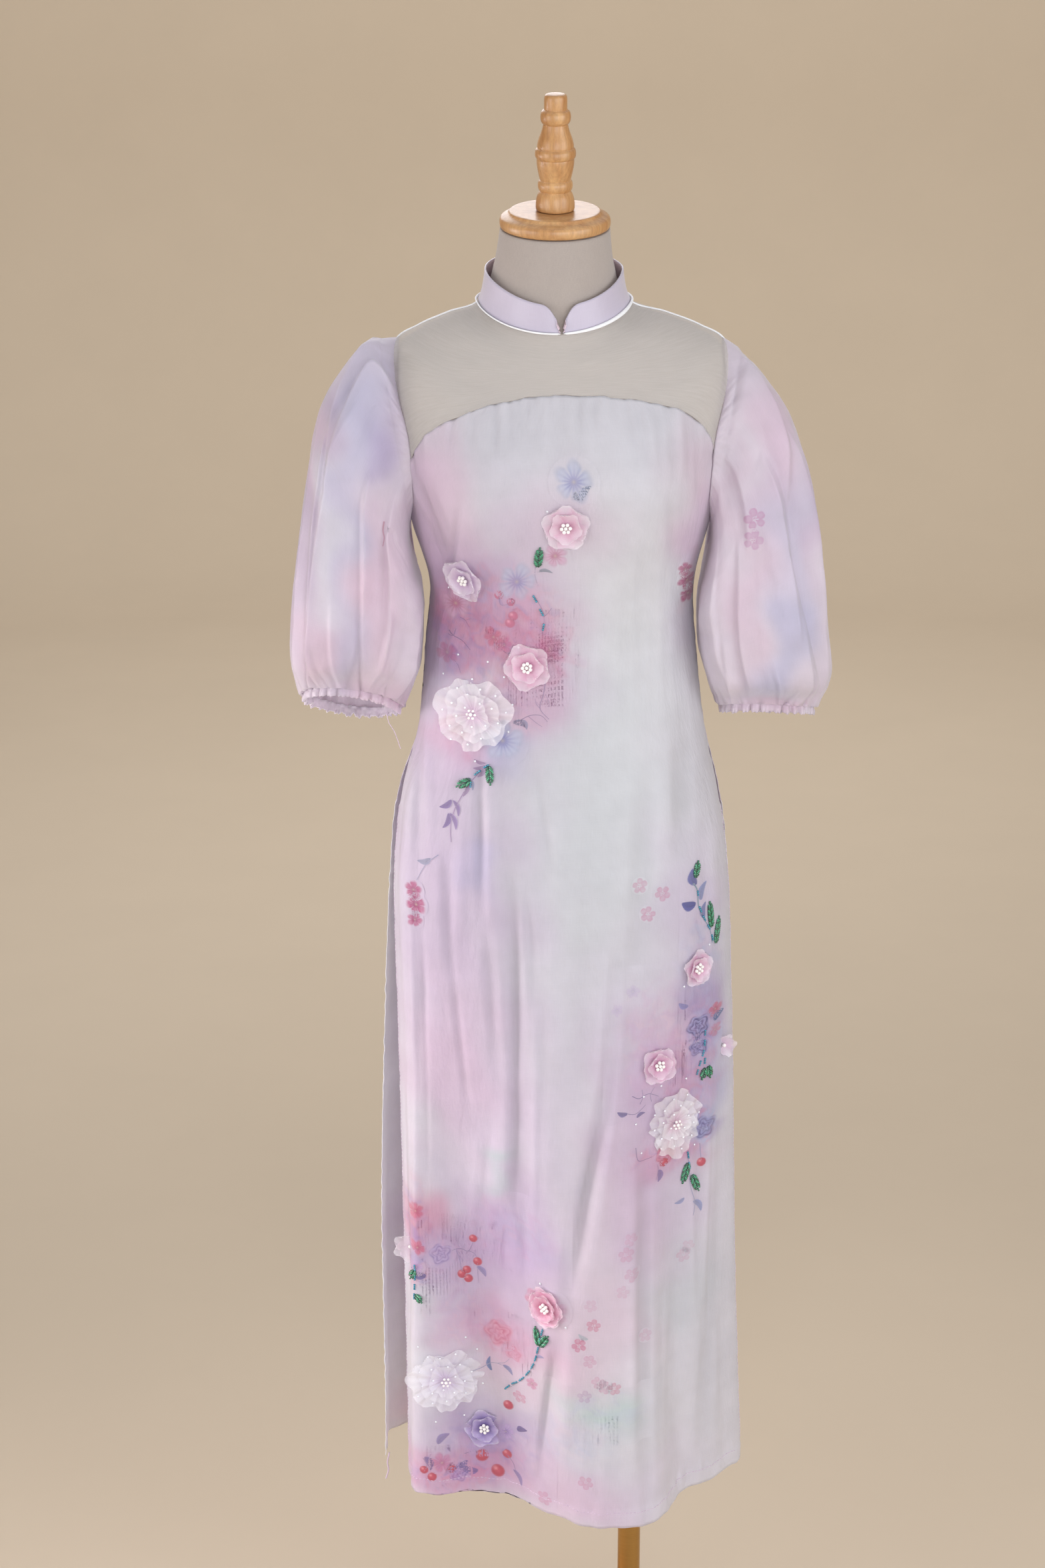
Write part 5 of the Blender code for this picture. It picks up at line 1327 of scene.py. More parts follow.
def bodice_edge(right_corner, left_corner, columns):
    """Levels along the bodice's upper edge, from the right armhole to the left one."""
    inner = np.stack(angle_and_level(FRONT_SECTIONS, BODICE_EDGE["x"], BODICE_EDGE["z"]), axis=-1)
    stops = np.concatenate([[right_corner], inner, [left_corner]])
    angle = np.linspace(right_corner[0], left_corner[0], columns + 1)
    return np.interp(angle, stops[:, 0], stops[:, 1])


def run_along(grid):
    """Distances along a grid from its first column and its first row."""
    across = np.linalg.norm(np.diff(grid, axis=1), axis=-1)
    down = np.linalg.norm(np.diff(grid, axis=0), axis=-1)
    from_side = np.concatenate([np.zeros((grid.shape[0], 1)), np.cumsum(across, axis=1)], axis=1)
    from_top = np.concatenate([np.zeros((1, grid.shape[1])), np.cumsum(down, axis=0)])
    return from_side, from_top


def panel_rise(grid, top_gather, seed):
    """Rise of a panel's small forms: gathers at the top edge, rumples, hem and slit edges."""
    from_side, from_top = run_along(grid)
    from_hem = from_top[-1:] - from_top
    from_edge = np.minimum(from_side, from_side[:, -1:] - from_side)
    x, z = grid[..., 0], grid[..., 2]

    rise = 0.00030 * cloudy(x, z * 0.45, 0.018, seed)
    rise += 0.00055 * cloudy(x, z * 0.3, 0.045, seed + 1)

    reach = 0.020 + 0.010 * cloudy(from_side, 0 * from_side, 0.035, seed + 2)
    ripple = cloudy(from_side + 0.1 * from_top, from_top * 0.15, 0.0075, seed + 3)
    rise += top_gather * ripple * np.exp(-((from_top / np.maximum(reach, 0.006)) ** 1.5))

    side_ripple = cloudy(from_top, from_edge * 0.15, 0.012, seed + 4)
    rise += 0.0005 * side_ripple * np.exp(-((from_edge / 0.012) ** 1.5))

    slit_z = grid[..., 2] < SLIT_TOP
    hem = np.clip((HEM_BAND - from_hem) / EDGE_FALL, 0, 1)
    slit = np.clip((SLIT_BAND - from_edge) / EDGE_FALL, 0, 1) * slit_z
    rise += HEM_RISE * np.maximum(hem, slit)
    pucker = cloudy(from_side, from_hem * 0.2, 0.0100, seed + 5)
    rise += 0.0013 * pucker * np.exp(-(((from_hem - HEM_BAND) / 0.010) ** 2))
    tuck = cloudy(from_top, from_edge * 0.2, 0.0120, seed + 6)
    rise += 0.0004 * tuck * np.exp(-(((from_edge - SLIT_BAND) / 0.005) ** 2)) * slit_z
    return rise


def body_cloth(name, sections, patched, folds, creases, dyes, top_gather, seed):
    """A body panel's fine cloth, with its outer face for what lies on it."""
    angle, level = patched[..., 0], patched[..., 1]
    normal = outward(sections, angle, level)
    grid = cloth_points(sections, angle, level, folds, EASE + CLOTH)
    rise = crease_rise(creases, grid[..., 0], grid[..., 2]) + panel_rise(grid, top_gather, seed)
    if sections is BACK_SECTIONS:
        rise -= ZIP_GROOVE * np.exp(-((grid[..., 0] / 0.0018) ** 2)) * (grid[..., 2] > ZIP_FOOT)
        rise += ZIP_GROOVE * np.exp(-(((np.abs(grid[..., 0]) - 0.0045) / 0.0022) ** 2)) / 2
    grid = grid + normal * rise[..., None]
    from_side, from_top = run_along(grid)
    low = np.exp(-(((from_top[-1:] - from_top) / 0.012) ** 2))
    grid[..., 2] += HEM_WANDER * low * cloudy(from_side, 0 * from_side, 0.022, seed + 7)
    colours = dyed(grid[..., 0], grid[..., 2], *dyes)
    # Painted shade in the creases' troughs and painted light on their ridges, by their rise.
    colours *= 1 + PAINTED_CREASE_LIGHT_AND_SHADE * crease_rise(creases, grid[..., 0], grid[..., 2])[..., None]
    from_side, _ = run_along(grid)
    from_edge = np.minimum(from_side, from_side[:, -1:] - from_side)
    pale = EDGE_PALENESS * np.exp(-((from_edge / EDGE_PALE_WIDTH) ** 2)) * (grid[..., 2] < SLIT_TOP)
    colours += (linear(TINTS["white"]) - colours) * pale[..., None]
    obj = shell(name, grid, silk, colours)
    return obj, grid


def make_panel(side, sections, ends, spread, corners, columns, *form, seed):
    """A body panel and the yoke above it, with the panel's outer face.

    Form is what body_cloth takes between the panel's places and its seed.
    """
    first = yoke_edge(1, spread, ends[0], corners[0])
    last = yoke_edge(-1, spread, ends[1], corners[1])
    if side == "front":
        edge = bodice_edge(first[-1], last[-1], columns)
    else:
        edge = np.full(columns + 1, first[-1, 1])
    angles = np.linspace(first[-1, 0], last[-1, 0], columns + 1)
    patched = panel_grid(sections, ends, spread, corners, angles, edge, columns)
    panel, grid = body_cloth(side + "_cloth", sections, patched, *form, seed)
    patched = patch(first[::-1], last[::-1], edge, YOKE_FADE)[::-1]
    yoke = make_yoke("yoke_" + side + "_net", sections, patched, seed + 100)
    return panel, grid, yoke


def make_shoulder_seam(side):
    """The narrow white seam between the front and back yokes, along the shoulder."""
    level = np.linspace(NECK_LEVEL + 0.02, SHOULDER_LEVEL - 0.05, 60)
    angle = np.full(level.shape, 0.0 if side > 0 else -math.pi)
    front = cloth_points(FRONT_SECTIONS, angle, level, ease=EASE + CLOTH + 0.0002)
    normal = outward(FRONT_SECTIONS, angle, level)
    name = "shoulder_seam_left" if side > 0 else "shoulder_seam_right"
    obj = ribbon_tube(name, front, normal, 0.0014, 0.0010, white_trim, TINTS["white"], sides=8)


def make_yoke(name, sections, patched, seed):
    """Sheer net with shallow crosswise ripples where it is eased over the form."""
    angle, level = patched[..., 0], patched[..., 1]
    grid = cloth_points(sections, angle, level, ease=EASE + CLOTH)
    ripple = cloudy(grid[..., 0] * 0.25, grid[..., 2], 0.012, seed)
    grid = grid + outward(sections, angle, level) * (0.0003 * ripple)[..., None]
    obj = shell(name, grid, net, None, thickness=NET_SHELL)
    return obj


# --- collar ---------------------------------------------------------------------------------------


def collar_points(angle, level, ease):
    """Points round the neck at a distance outside the form, from the front back to the front."""
    angle = (angle + math.pi) % (2 * math.pi) - math.pi
    front = cloth_points(FORM_FRONT, angle, level, ease=ease)
    back = cloth_points(FORM_BACK, angle, level, ease=ease)
    return np.where((angle < 0)[..., None], front, back)


def make_collar():
    """A satin band, lower in front, whose ends part in a V with rounded upper corners."""
    rows = []
    for row in np.linspace(1, 0, COLLAR_ROWS + 1):
        open_by = COLLAR_FRONT_OPEN + COLLAR_V_SPREAD * row
        first = open_by + COLLAR_CORNER * np.linspace(0, 1, COLLAR_END_COLUMNS + 1) ** 2
        last = 2 * math.pi - first[::-1]
        middle = np.linspace(first[-1], last[0], COLLAR_COLUMNS + 1)[1:-1]
        around = np.concatenate([first, middle, last])
        from_end = np.minimum(around - around[0], around[-1] - around)
        corner = np.clip(1 - from_end / COLLAR_CORNER, 0, 1)
        drop = COLLAR_CORNER_DROP * (1 - np.sqrt(1 - corner**2))
        drop += COLLAR_FRONT_DROP * np.clip(np.cos(around), 0, 1) ** 2
        height = row * (1 - drop)
        level = COLLAR_FOOT_LEVEL + (COLLAR_TOP_LEVEL - COLLAR_FOOT_LEVEL) * height
        wave = 0.00035 * cloudy(around * 0.06, height * 0.01, 0.030, 500)
        edge = 0.0003 * np.exp(-(((1 - row) / 0.10) ** 2))
        ease = COLLAR_EASE + COLLAR_CLOTH + COLLAR_FLARE * height + wave + edge
        rows.append(collar_points(COLLAR_OPENS_AT + around, level, ease))
    grid = np.array(rows)
    tone = 1 + 0.02 * cloudy(grid[..., 0], grid[..., 2], 0.03, 501)
    colours = linear(COLLAR_COLOUR) * tone[..., None]
    obj = shell("collar_cloth", grid, [satin, lining, satin], colours, thickness=COLLAR_CLOTH)
    obj.modifiers["cloth"].material_offset = 1
    obj.modifiers["cloth"].material_offset_rim = 2
    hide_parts("collar")
    return obj


def ribbon_tube(name, route, normal, half_width, half_depth, finish, colour, sides=12):
    """A soft flat tube along a route, wide across its normal."""
    along = np.gradient(route, axis=0)
    along /= np.linalg.norm(along, axis=-1, keepdims=True)
    across = np.cross(normal, along)
    across /= np.linalg.norm(across, axis=-1, keepdims=True)
    out = np.cross(along, across)
    around = np.linspace(0, 2 * math.pi, sides, endpoint=False)
    half_width = np.broadcast_to(half_width, len(route))
    half_depth = np.broadcast_to(half_depth, len(route))
    grid = (
        route[:, None]
        + across[:, None] * (half_width[:, None] * np.cos(around))[..., None]
        + out[:, None] * (half_depth[:, None] * np.sin(around))[..., None]
    )
    for end in (0, -1):
        grid[end] = route[end] + (grid[end] - route[end]) * 0.15
    colours = np.zeros((*grid.shape[:2], 3)) + linear(colour)
    faces = grid_faces(len(grid) - 1, sides, closed=True)
    obj = mesh_piece(name, grid.reshape(-1, 3), faces, finish, colours)
    cloth_uv(obj, grid, closed=True)
    return obj


def make_binding():
    """White binding round the foot of the collar, narrower on the right of centre front."""
    around = np.linspace(BINDING_OPEN, 2 * math.pi - BINDING_OPEN, BINDING_STEPS + 1)
    level = np.full(around.shape, float(NECK_LEVEL))
    rise = COLLAR_EASE + COLLAR_CLOTH + BINDING_DEPTH
    route = collar_points(COLLAR_OPENS_AT + around, level, np.full(around.shape, rise))
    inner = collar_points(COLLAR_OPENS_AT + around, level, np.zeros(around.shape))
    normal = route - inner
    normal /= np.linalg.norm(normal, axis=-1, keepdims=True)
    width = np.interp(around, BINDING_PLACES, BINDING_HALF_WIDTHS)
    size = (width, BINDING_DEPTH)
    obj = ribbon_tube("binding_band", route, normal, *size, white_trim, TINTS["white"])
    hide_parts("neck_binding")


# --- sleeves --------------------------------------------------------------------------------------


def armhole_loop(side, around, spread=0.0, lift=0.0):
    """The armhole's points, from the shoulder down the front and up the back."""
    part = np.where(around <= math.pi, around, 2 * math.pi - around) / math.pi
    front_end, back_end = (-math.pi, math.pi) if side < 0 else (0.0, 0.0)
    front_way = 1 if side < 0 else -1
    front = armhole(part, front_way, ARMHOLE_FRONT + spread, front_end)
    back = armhole(part, -front_way, ARMHOLE_BACK + spread, back_end)
    if spread:
        sway = np.radians(np.interp(part, SEAM_SWAY_PLACES, SEAM_SWAYS))
        front[:, 0] += front_way * sway
        back[:, 0] -= front_way * sway
    on_front = cloth_points(FRONT_SECTIONS, front[:, 0], front[:, 1], ease=EASE + lift)
    on_back = cloth_points(BACK_SECTIONS, back[:, 0], back[:, 1], ease=EASE + lift)
    loop = np.where((around <= math.pi)[:, None], on_front, on_back)
    return loop + np.array([side * (CLOTH + SLEEVE_CLEAR), 0, 0])


def sleeve_rings(side, sections, around):
    """Every section ring of a sleeve: its armhole loop, then its table's rows."""
    rings = [armhole_loop(side, around)]
    for outer_x, outer_z, inner_x, inner_z, front_y, back_y, lift in zip(*sections.values()):
        out = (1 + np.cos(around)) / 2
        depth = np.where(np.sin(around) > 0, front_y, -back_y)
        fullness = 1 + (INNER_FULLNESS - 1) * (1 - out)
        x = inner_x + (outer_x - inner_x) * out
        y = depth * np.sign(np.sin(around)) * np.abs(np.sin(around)) ** fullness
        z = inner_z + (outer_z - inner_z) * out + lift * np.sin(around)
        rings.append(np.stack([x, y, z], axis=-1))
    return np.array(rings)


def loft(rings, place):
    """The ring at a place from 0, the first one, to 1, the last one."""
    flat = rings.reshape(len(rings), -1)
    level = np.array([place * (len(rings) - 1)])
    return np.array([smooth(column, level)[0] for column in flat.T]).reshape(-1, 3)


def ring_outward(ring):
    """Directions out of a ring, in its own plane."""
    along = np.roll(ring, -1, axis=0) - np.roll(ring, 1, axis=0)
    centre = ring.mean(axis=0)
    normal = np.cross(ring - centre, along).sum(axis=0)
    out = np.cross(along, normal / np.linalg.norm(normal))
    return out / np.linalg.norm(out, axis=-1, keepdims=True)


def gather_wave(around, seed):
    """Uneven gathers round a ring: round ridges with narrow valleys between them."""
    phase = around * GATHERS + 0.9 * np.sin(around * 3 + seed) + 0.5 * np.sin(around * 7 + 2 * seed)
    depth = 1 + 0.35 * np.sin(around * 5 + seed) + 0.25 * np.sin(around * 11)
    return depth * (2 * np.abs(np.cos(phase / 2)) ** 0.8 - 1)


def bump_at(degrees, angle, half_width):
    away = np.abs((degrees - angle + 180) % 360 - 180) / half_width
    return (1 - np.clip(away, 0, 1) ** 2) ** 2


def puckers(place, degrees, seed):
    """Depth of the narrow creases that run up from the elastic, each of its own length."""
    chance = np.random.default_rng(seed)
    depth = np.zeros(degrees.shape)
    for one in range(PUCKERS):
        angle = 360 * (one + chance.uniform(-0.4, 0.4)) / PUCKERS
        half_width, length, deep = (
            chance.uniform(*limits) for limits in (PUCKER_WIDTHS, PUCKER_LENGTHS, PUCKER_DEPTHS)
        )
        lean = chance.uniform(-30, 30)
        along = (place - (1 - length)) / length
        if along > 0:
            centre = angle + lean * (1 - along) * length * 2
            away = ((degrees - centre + 180) % 360 - 180) / half_width
            away = np.where(away < 0, -away * 1.8, away)
            depth = np.maximum(depth, deep * along**0.6 * np.clip(1 - away, 0, 1) ** 1.2)
    return depth


def sleeve_rise(folds, creases, place, around, seed):
    """How far folds, cap pleats, gathers and rumples move a sleeve's ring out."""
    degrees = np.degrees(around)
    rise = np.zeros(around.shape)
    for angle, drift, half_width, out, start, end in zip(*folds.values()):
        if start < place < end:
            part = (place - start) / (end - start)
            bump = bump_at(degrees, angle + drift * part, half_width)
            rise += out * math.sin(math.pi * part) ** 0.7 * bump
    for angle, drift, half_width, out, start, end in zip(*creases.values()):
        if start < place < end:
            part = (place - start) / (end - start)
            away = ((degrees - angle - drift * part + 180) % 360 - 180) / half_width
            away = np.where(away < 0, -away * LIP_SLOPE, away)
            rise += out * math.sin(math.pi * part) ** 0.6 * np.clip(1 - away, 0, 1) ** 1.4
    if 0 < place < CAP_PLEAT_END:
        for angle in CAP_PLEAT_ANGLES:
            fall = CAP_PLEAT_RISE * (1 - place / CAP_PLEAT_END)
            rise += fall * bump_at(degrees, angle, CAP_PLEAT_HALF_WIDTH)
    if place > GATHER_START:
        strength = ((place - GATHER_START) / (1 - GATHER_START)) ** 4
        rise += GATHER_RISE * strength * gather_wave(around, seed)
        rise -= puckers(place, degrees, seed)
    ring_x, ring_y = np.cos(around) * 0.06, np.sin(around) * 0.06
    run = place * SLEEVE_LENGTH
    rise += 0.0007 * cloudy(ring_x + 0.1 * run, ring_y + 0.6 * run, 0.035, seed)
    rise += 0.00035 * cloudy(ring_x - 0.6 * run, ring_y + 0.3 * run, 0.014, seed + 1)
    cap = math.exp(-((place / 0.05) ** 1.5))
    rise += 0.0006 * cap * np.cos(around * CAP_TUCKS + 1.4 * np.sin(around * 7 + seed))
    return rise


def sleeve_head(side, around, first):
    """Rings of the sleeve's turned edge, which laps over the body along the armhole seam."""
    seam = armhole_loop(side, around, SEAM_SPREAD, CLOTH + SEAM_LIFT)
    seam[:, 0] -= side * (CLOTH + SLEEVE_CLEAR)
    top = np.exp(-((np.minimum(around, 2 * math.pi - around) / 0.45) ** 2))[:, None]
    seam = seam + np.array([-side * HEAD_LAP, 0, HEAD_RISE]) * top
    bulge = (HEAD_BULGE + 0.0003 * np.cos(around * CAP_TUCKS)[:, None]) * (1 - 0.9 * top)
    out = ring_outward(first)
    rings = [seam + (seam.mean(axis=0) - seam) * 0.004 - out * 0.0006]
    for share in HEAD_SHARES:
        rings.append(seam + (first - seam) * share + out * bulge * math.sin(math.pi * share))
    return rings


def cap_shift(place, around):
    """Rounds the sleeve's head along its top, between the shoulder seam and the outer edge."""
    top = np.exp(-((np.minimum(around, 2 * math.pi - around) / 0.55) ** 2))
    return np.interp(place, CAP_SHIFT_PLACES, CAP_SHIFTS) * top


def drawn_in(ring, place):
    """A ring of the sleeve's end: full and hanging above the cuff, then drawn in by its elastic."""
    near = max(0.0, (place - PUFF_START) / (1 - PUFF_START))
    full = PUFF_FULLNESS * math.sin(math.pi * near) ** 1.5 - CUFF_DRAW * near**6
    ring = ring + (ring - ring.mean(axis=0)) * full
    ring[:, 2] -= PUFF_HANG * math.sin(math.pi * near**1.6) ** 2
    return ring


def fill_hollow(grid, around):
    """Lays the cloth straight from the armhole seam to the sleeve's full part, near the body."""
    degrees = np.degrees(around)
    near_body = soft_step(np.minimum(degrees, 360 - degrees), FILL_START, FILL_FULL)
    start, end = grid[0], grid[FILL_ROWS]
    upper = grid[: FILL_ROWS + 1]
    steps = np.linalg.norm(np.diff(upper, axis=0), axis=-1)
    share = np.concatenate([np.zeros((1, len(around))), np.cumsum(steps, axis=0)])
    share = share / share[-1]
    line = start + (end - start) * share[..., None]
    fade = FILL_SHARE * (1 - (2 * share - 1) ** 6) * near_body
    move = line - upper
    fade = np.where(np.sign(line[..., 1]) * move[..., 1] > 0, fade, 0.0)
    filled = grid.copy()
    filled[: FILL_ROWS + 1, :, 1] += fade * move[..., 1]
    filled[: FILL_ROWS + 1, :, 0] += FILL_INWARD * fade * move[..., 0]
    return filled


def make_sleeve(name, side, sections, folds, creases, seed):
    around = np.linspace(0, 2 * math.pi, SLEEVE_COLUMNS, endpoint=False)
    rings = sleeve_rings(side, sections, around)
    rows, painted_shades = [], []
    for place in np.linspace(0, 1, SLEEVE_ROWS + 1):
        ring = loft(rings, place)
        # Painted shade in the puckers' valleys: darker where they are deeper.
        painted_shades.append(puckers(place, np.degrees(around), seed) * PAINTED_PUCKER_SHADE)
        rise = CLOTH + sleeve_rise(folds, creases, place, around, seed)
        ring = drawn_in(ring + ring_outward(ring) * rise[:, None], place)
        ring[:, 2] += cap_shift(place, around)
        rows.append(ring)
    grid = np.array([*sleeve_head(side, around, rows[HEAD_SKIP]), *rows[HEAD_SKIP:]])
    grid = fill_hollow(grid, around)
    body_grid = grid
    colours = dyed(grid[..., 0], grid[..., 2], SLEEVE_WASHES, base="sleeve")
    # Darkens the sleeve's colours with the painted pucker shade.
    colours[-SLEEVE_ROWS:] *= 1 - np.array(painted_shades[1:])[..., None]
    obj = shell("sleeve_cloth_" + name, grid, sleeve_silk, colours, closed=True, flip=side > 0)
    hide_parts("sleeve_" + name)

    last = drawn_in(loft(rings, 1.0), 1.0)
    away = last.mean(axis=0) - loft(rings, 0.98).mean(axis=0)
    normal = np.cross(last - last.mean(axis=0), np.roll(last, -1, axis=0) - last).sum(axis=0)
    normal *= np.sign(np.dot(normal, away)) / np.linalg.norm(normal)
    rows = []
    frill = gather_wave(around, seed)
    small = np.sin(around * GATHERS * 2.5 + 2 * np.sin(around * 5))
    for share in np.linspace(0, 1, CUFF_ROWS + 1):
        waves = GATHER_RISE * (1 - 0.25 * share) * frill + CUFF_FRILL * small * share
        pinch = 1 - 0.5 * math.exp(-(((share - 0.35) / 0.18) ** 2))
        down = CUFF_HEIGHT * share - CUFF_GAP + CUFF_SCALLOP * share * (frill + 0.5 * small)
        bulge = CUFF_CLOTH + 0.0010 * math.sin(math.pi * share) ** 0.7
        outward_by = (waves * pinch + bulge)[:, None]
        rows.append(last + normal * down[:, None] + ring_outward(last) * outward_by)
    grid = np.array(rows)
    colours = dyed(grid[..., 0], grid[..., 2], SLEEVE_WASHES, base="sleeve")
    cuff = shell("cuff_cloth_" + name, grid, sleeve_silk, colours, CUFF_CLOTH, True, side > 0)
    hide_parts("cuff_" + name)
    return obj, cuff, body_grid


# --- print, flowers and beads ---------------------------------------------------------------------


class Surface:
    """A panel's outer face, for things laid on it from the front or the back."""

    def __init__(self, grid, side):
        self.side = side
        self.points = grid.reshape(-1, 3)
        quads = grid_faces(grid.shape[0] - 1, grid.shape[1] - 1)
        self.triangles = np.concatenate([quads[:, [0, 1, 2]], quads[:, [0, 2, 3]]])
        self.tree = BVHTree.FromPolygons(self.points.tolist(), self.triangles.tolist())
        a, b, c = (self.points[self.triangles[:, i]] for i in range(3))
        facing = np.cross(b - a, c - a)
        normal = np.zeros_like(self.points)
        for i in range(3):
            np.add.at(normal, self.triangles[:, i], facing)
        self.normals = normal / np.linalg.norm(normal, axis=-1, keepdims=True)
        self.uv, _ = cloth_map(grid)

    def at(self, x, z):
        """Points, normals and cloth coordinates at every x and z."""
        x, z = np.ravel(x).astype(float), np.ravel(z).astype(float)
        places = np.zeros((len(x), 3))
        hit = np.zeros(len(x), int)
        for i in range(len(x)):
            px, pz = x[i], z[i]
            for turn in range(120):
                found = self.tree.ray_cast(Vector((px, self.side, pz)), Vector((0, -self.side, 0)))
                if found[0] is not None:
                    break
                if turn % 4 == 3:
                    pz += 0.002
                else:
                    px *= 0.99
            places[i], hit[i] = found[0], found[2]
        corners = self.triangles[hit]
        a, b, c = (self.points[corners[:, i]] for i in range(3))
        whole = np.cross(b - a, c - a)
        size = (whole * whole).sum(axis=-1)
        second = (np.cross(places - a, c - a) * whole).sum(axis=-1) / size
        third = (np.cross(b - a, places - a) * whole).sum(axis=-1) / size
        weights = np.stack([1 - second - third, second, third], axis=-1)
        normal = (self.normals[corners] * weights[..., None]).sum(axis=1)
        normal *= np.sign(normal[:, 1:2] * self.side)
        normal /= np.linalg.norm(normal, axis=-1, keepdims=True)
        uv = (self.uv[corners] * weights[..., None]).sum(axis=1)
        return places, normal, uv

    def frame(self, x, z, turn=0.0):
        """A place on the cloth with its across, up and out directions."""
        place, normal, _ = self.at(np.array([x]), np.array([z]))
        out = normal[0]
        across = np.cross(np.array([0.0, 0.0, 1.0]), out)
        across /= np.linalg.norm(across)
        up = np.cross(out, across)
        turned_across = across * math.cos(turn) + up * math.sin(turn)
        return place[0], turned_across, np.cross(out, turned_across), out


class Pile:
    """Many small meshes gathered into one piece."""

    def __init__(self):
        self.points, self.faces, self.colours, self.normals, self.uv = [], [], [], [], []
        self.count = 0

    def add(self, points, faces, colours, normals=None, uv=None):
        points = np.asarray(points).reshape(-1, 3)
        self.points.append(points)
        self.faces.append(np.asarray(faces) + self.count)
        self.colours.append(np.broadcast_to(colours, (len(points), 3)))
        self.count += len(points)
        if normals is not None:
            self.normals.append(normals)
            self.uv.append(uv)

    def build(self, name, finish, slot, smooth=True, with_uv=False):
        faces = [face for group in self.faces for face in group.tolist()]
        colours = np.concatenate(self.colours)
        obj = mesh_piece(name, np.concatenate(self.points), faces, finish, colours, smooth)
        if with_uv:
            placed = np.concatenate(self.uv)[corners_of(obj)]
            obj.data.uv_layers.new(name="cloth").data.foreach_set("uv", placed.ravel())
            obj.data.normals_split_custom_set_from_vertices(np.concatenate(self.normals).tolist())
        return obj


def lay(pile, surface, dyes, x, z, faces, tint, share, lift=PRINT_LIFT):
    """Lays a printed shape on the cloth: its colour fades into the cloth's where share is 0."""
    places, normals, uv = surface.at(x, z)
    ground = dyed(places[:, 0], places[:, 2], *dyes)
    share = np.ravel(share)[:, None]
    tint = np.asarray(tint).reshape(-1, 3) if np.ndim(tint) > 1 else np.asarray(tint)
    colour = ground + (tint - ground) * share
    faces = faces if surface.side < 0 else faces[:, ::-1]
    pile.add(places + normals * lift, faces, colour, normals, uv)


def flower_disc(x, z, radius, rings, spokes):
    """A disc's rings and directions, its places and its faces."""
    share = np.linspace(0, 1, rings + 1)[:, None] ** 0.9
    around = np.linspace(0, 2 * math.pi, spokes, endpoint=False)[None, :]
    reach = share * radius * 1.15
    faces = grid_faces(rings, spokes, closed=True)
    return reach, around, x + reach * np.cos(around), z + reach * np.sin(around), faces


def print_flower(pile, surface, dyes, x, z, radius, petals, turn, outer, inner, strength):
    """A watercolour blossom: pale petals with soft rims and a deeper, streaked throat."""
    rings, spokes = (18, 90) if radius > 0.010 else (11, 60)
    reach, around, xs, zs, faces = flower_disc(x, z, radius, rings, spokes)
    swing = around - math.radians(turn) + 0.12 * np.sin(around + turn)
    lobe = np.abs(np.cos(swing * petals / 2))
    wobble = 1 + 0.08 * np.sin(around * 2 + turn) + 0.05 * np.sin(around * 7 + x * 900)
    rim = (0.70 + 0.30 * lobe**0.7) * wobble * radius
    part = reach / rim
    inside = 1 - soft_step(part, 0.70, 1.04)
    gap = 1 - (1 - soft_step(lobe, 0.0, 0.35)) * soft_step(part, 0.25, 0.7) * 0.55
    mottle = 0.86 + 0.14 * cloudy(xs, zs, radius * 0.35, 31)
    outer, inner = linear(outer), linear(inner)
    streak = 0.5 + 0.5 * np.cos(swing * petals * 3)
    throat = np.exp(-((reach / (radius * (0.26 + 0.16 * streak))) ** 2))
    colour = outer + (inner - outer) * (0.9 * throat)[..., None]
    edge = np.exp(-(((part - 0.84) / 0.10) ** 2)) * 0.10
    veins = 1 - 0.05 * streak * soft_step(part, 0.2, 0.6)
    colour = colour * ((1 - edge) * veins)[..., None]
    heart = np.exp(-((reach / (radius * 0.09)) ** 2))
    colour = colour + (linear(HEART_COLOUR) - colour) * (heart * 0.6)[..., None]
    alpha = np.maximum(strength * inside * gap * mottle, throat * strength * 0.9)
    alpha[-1] = 0
    lay(pile, surface, dyes, xs, zs, faces, colour, alpha)


def print_stamp(pile, surface, dyes, x, z, radius, turn, tint, strength):
    """A small blossom of five separate rounded petals round a speckled middle."""
    reach, around, xs, zs, faces = flower_disc(x, z, radius, 13, 60)
    local_x, local_z = reach * np.cos(around), reach * np.sin(around)
    alpha = np.zeros(xs.shape)
    for one in range(5):
        way = math.radians(turn + 72 * one + 5 * math.sin(one * 9 + turn))
        size = radius * (0.36 + 0.03 * math.sin(one * 5 + turn))
        middle_x, middle_z = radius * 0.62 * math.cos(way), radius * 0.62 * math.sin(way)
        along = (local_x - middle_x) * math.cos(way) + (local_z - middle_z) * math.sin(way)
        aside = -(local_x - middle_x) * math.sin(way) + (local_z - middle_z) * math.cos(way)
        away = (np.abs(along / 1.05) ** 2.6 + np.abs(aside) ** 2.6) ** (1 / 2.6) / size
        deep = 0.72 + 0.28 * soft_step(away, 0.4, 0.9)
        alpha = np.maximum(alpha, (1 - soft_step(away, 0.84, 1.10)) * deep)
    specks = soft_step(cloudy(xs, zs, radius * 0.12, 33), 0.0, 0.5) * (reach < radius * 0.24)
    alpha = np.maximum(alpha * (0.82 + 0.18 * cloudy(xs, zs, radius * 0.4, 34)), specks)
    alpha[-1] = 0
    lay(pile, surface, dyes, xs, zs, faces, linear(tint), alpha * strength)


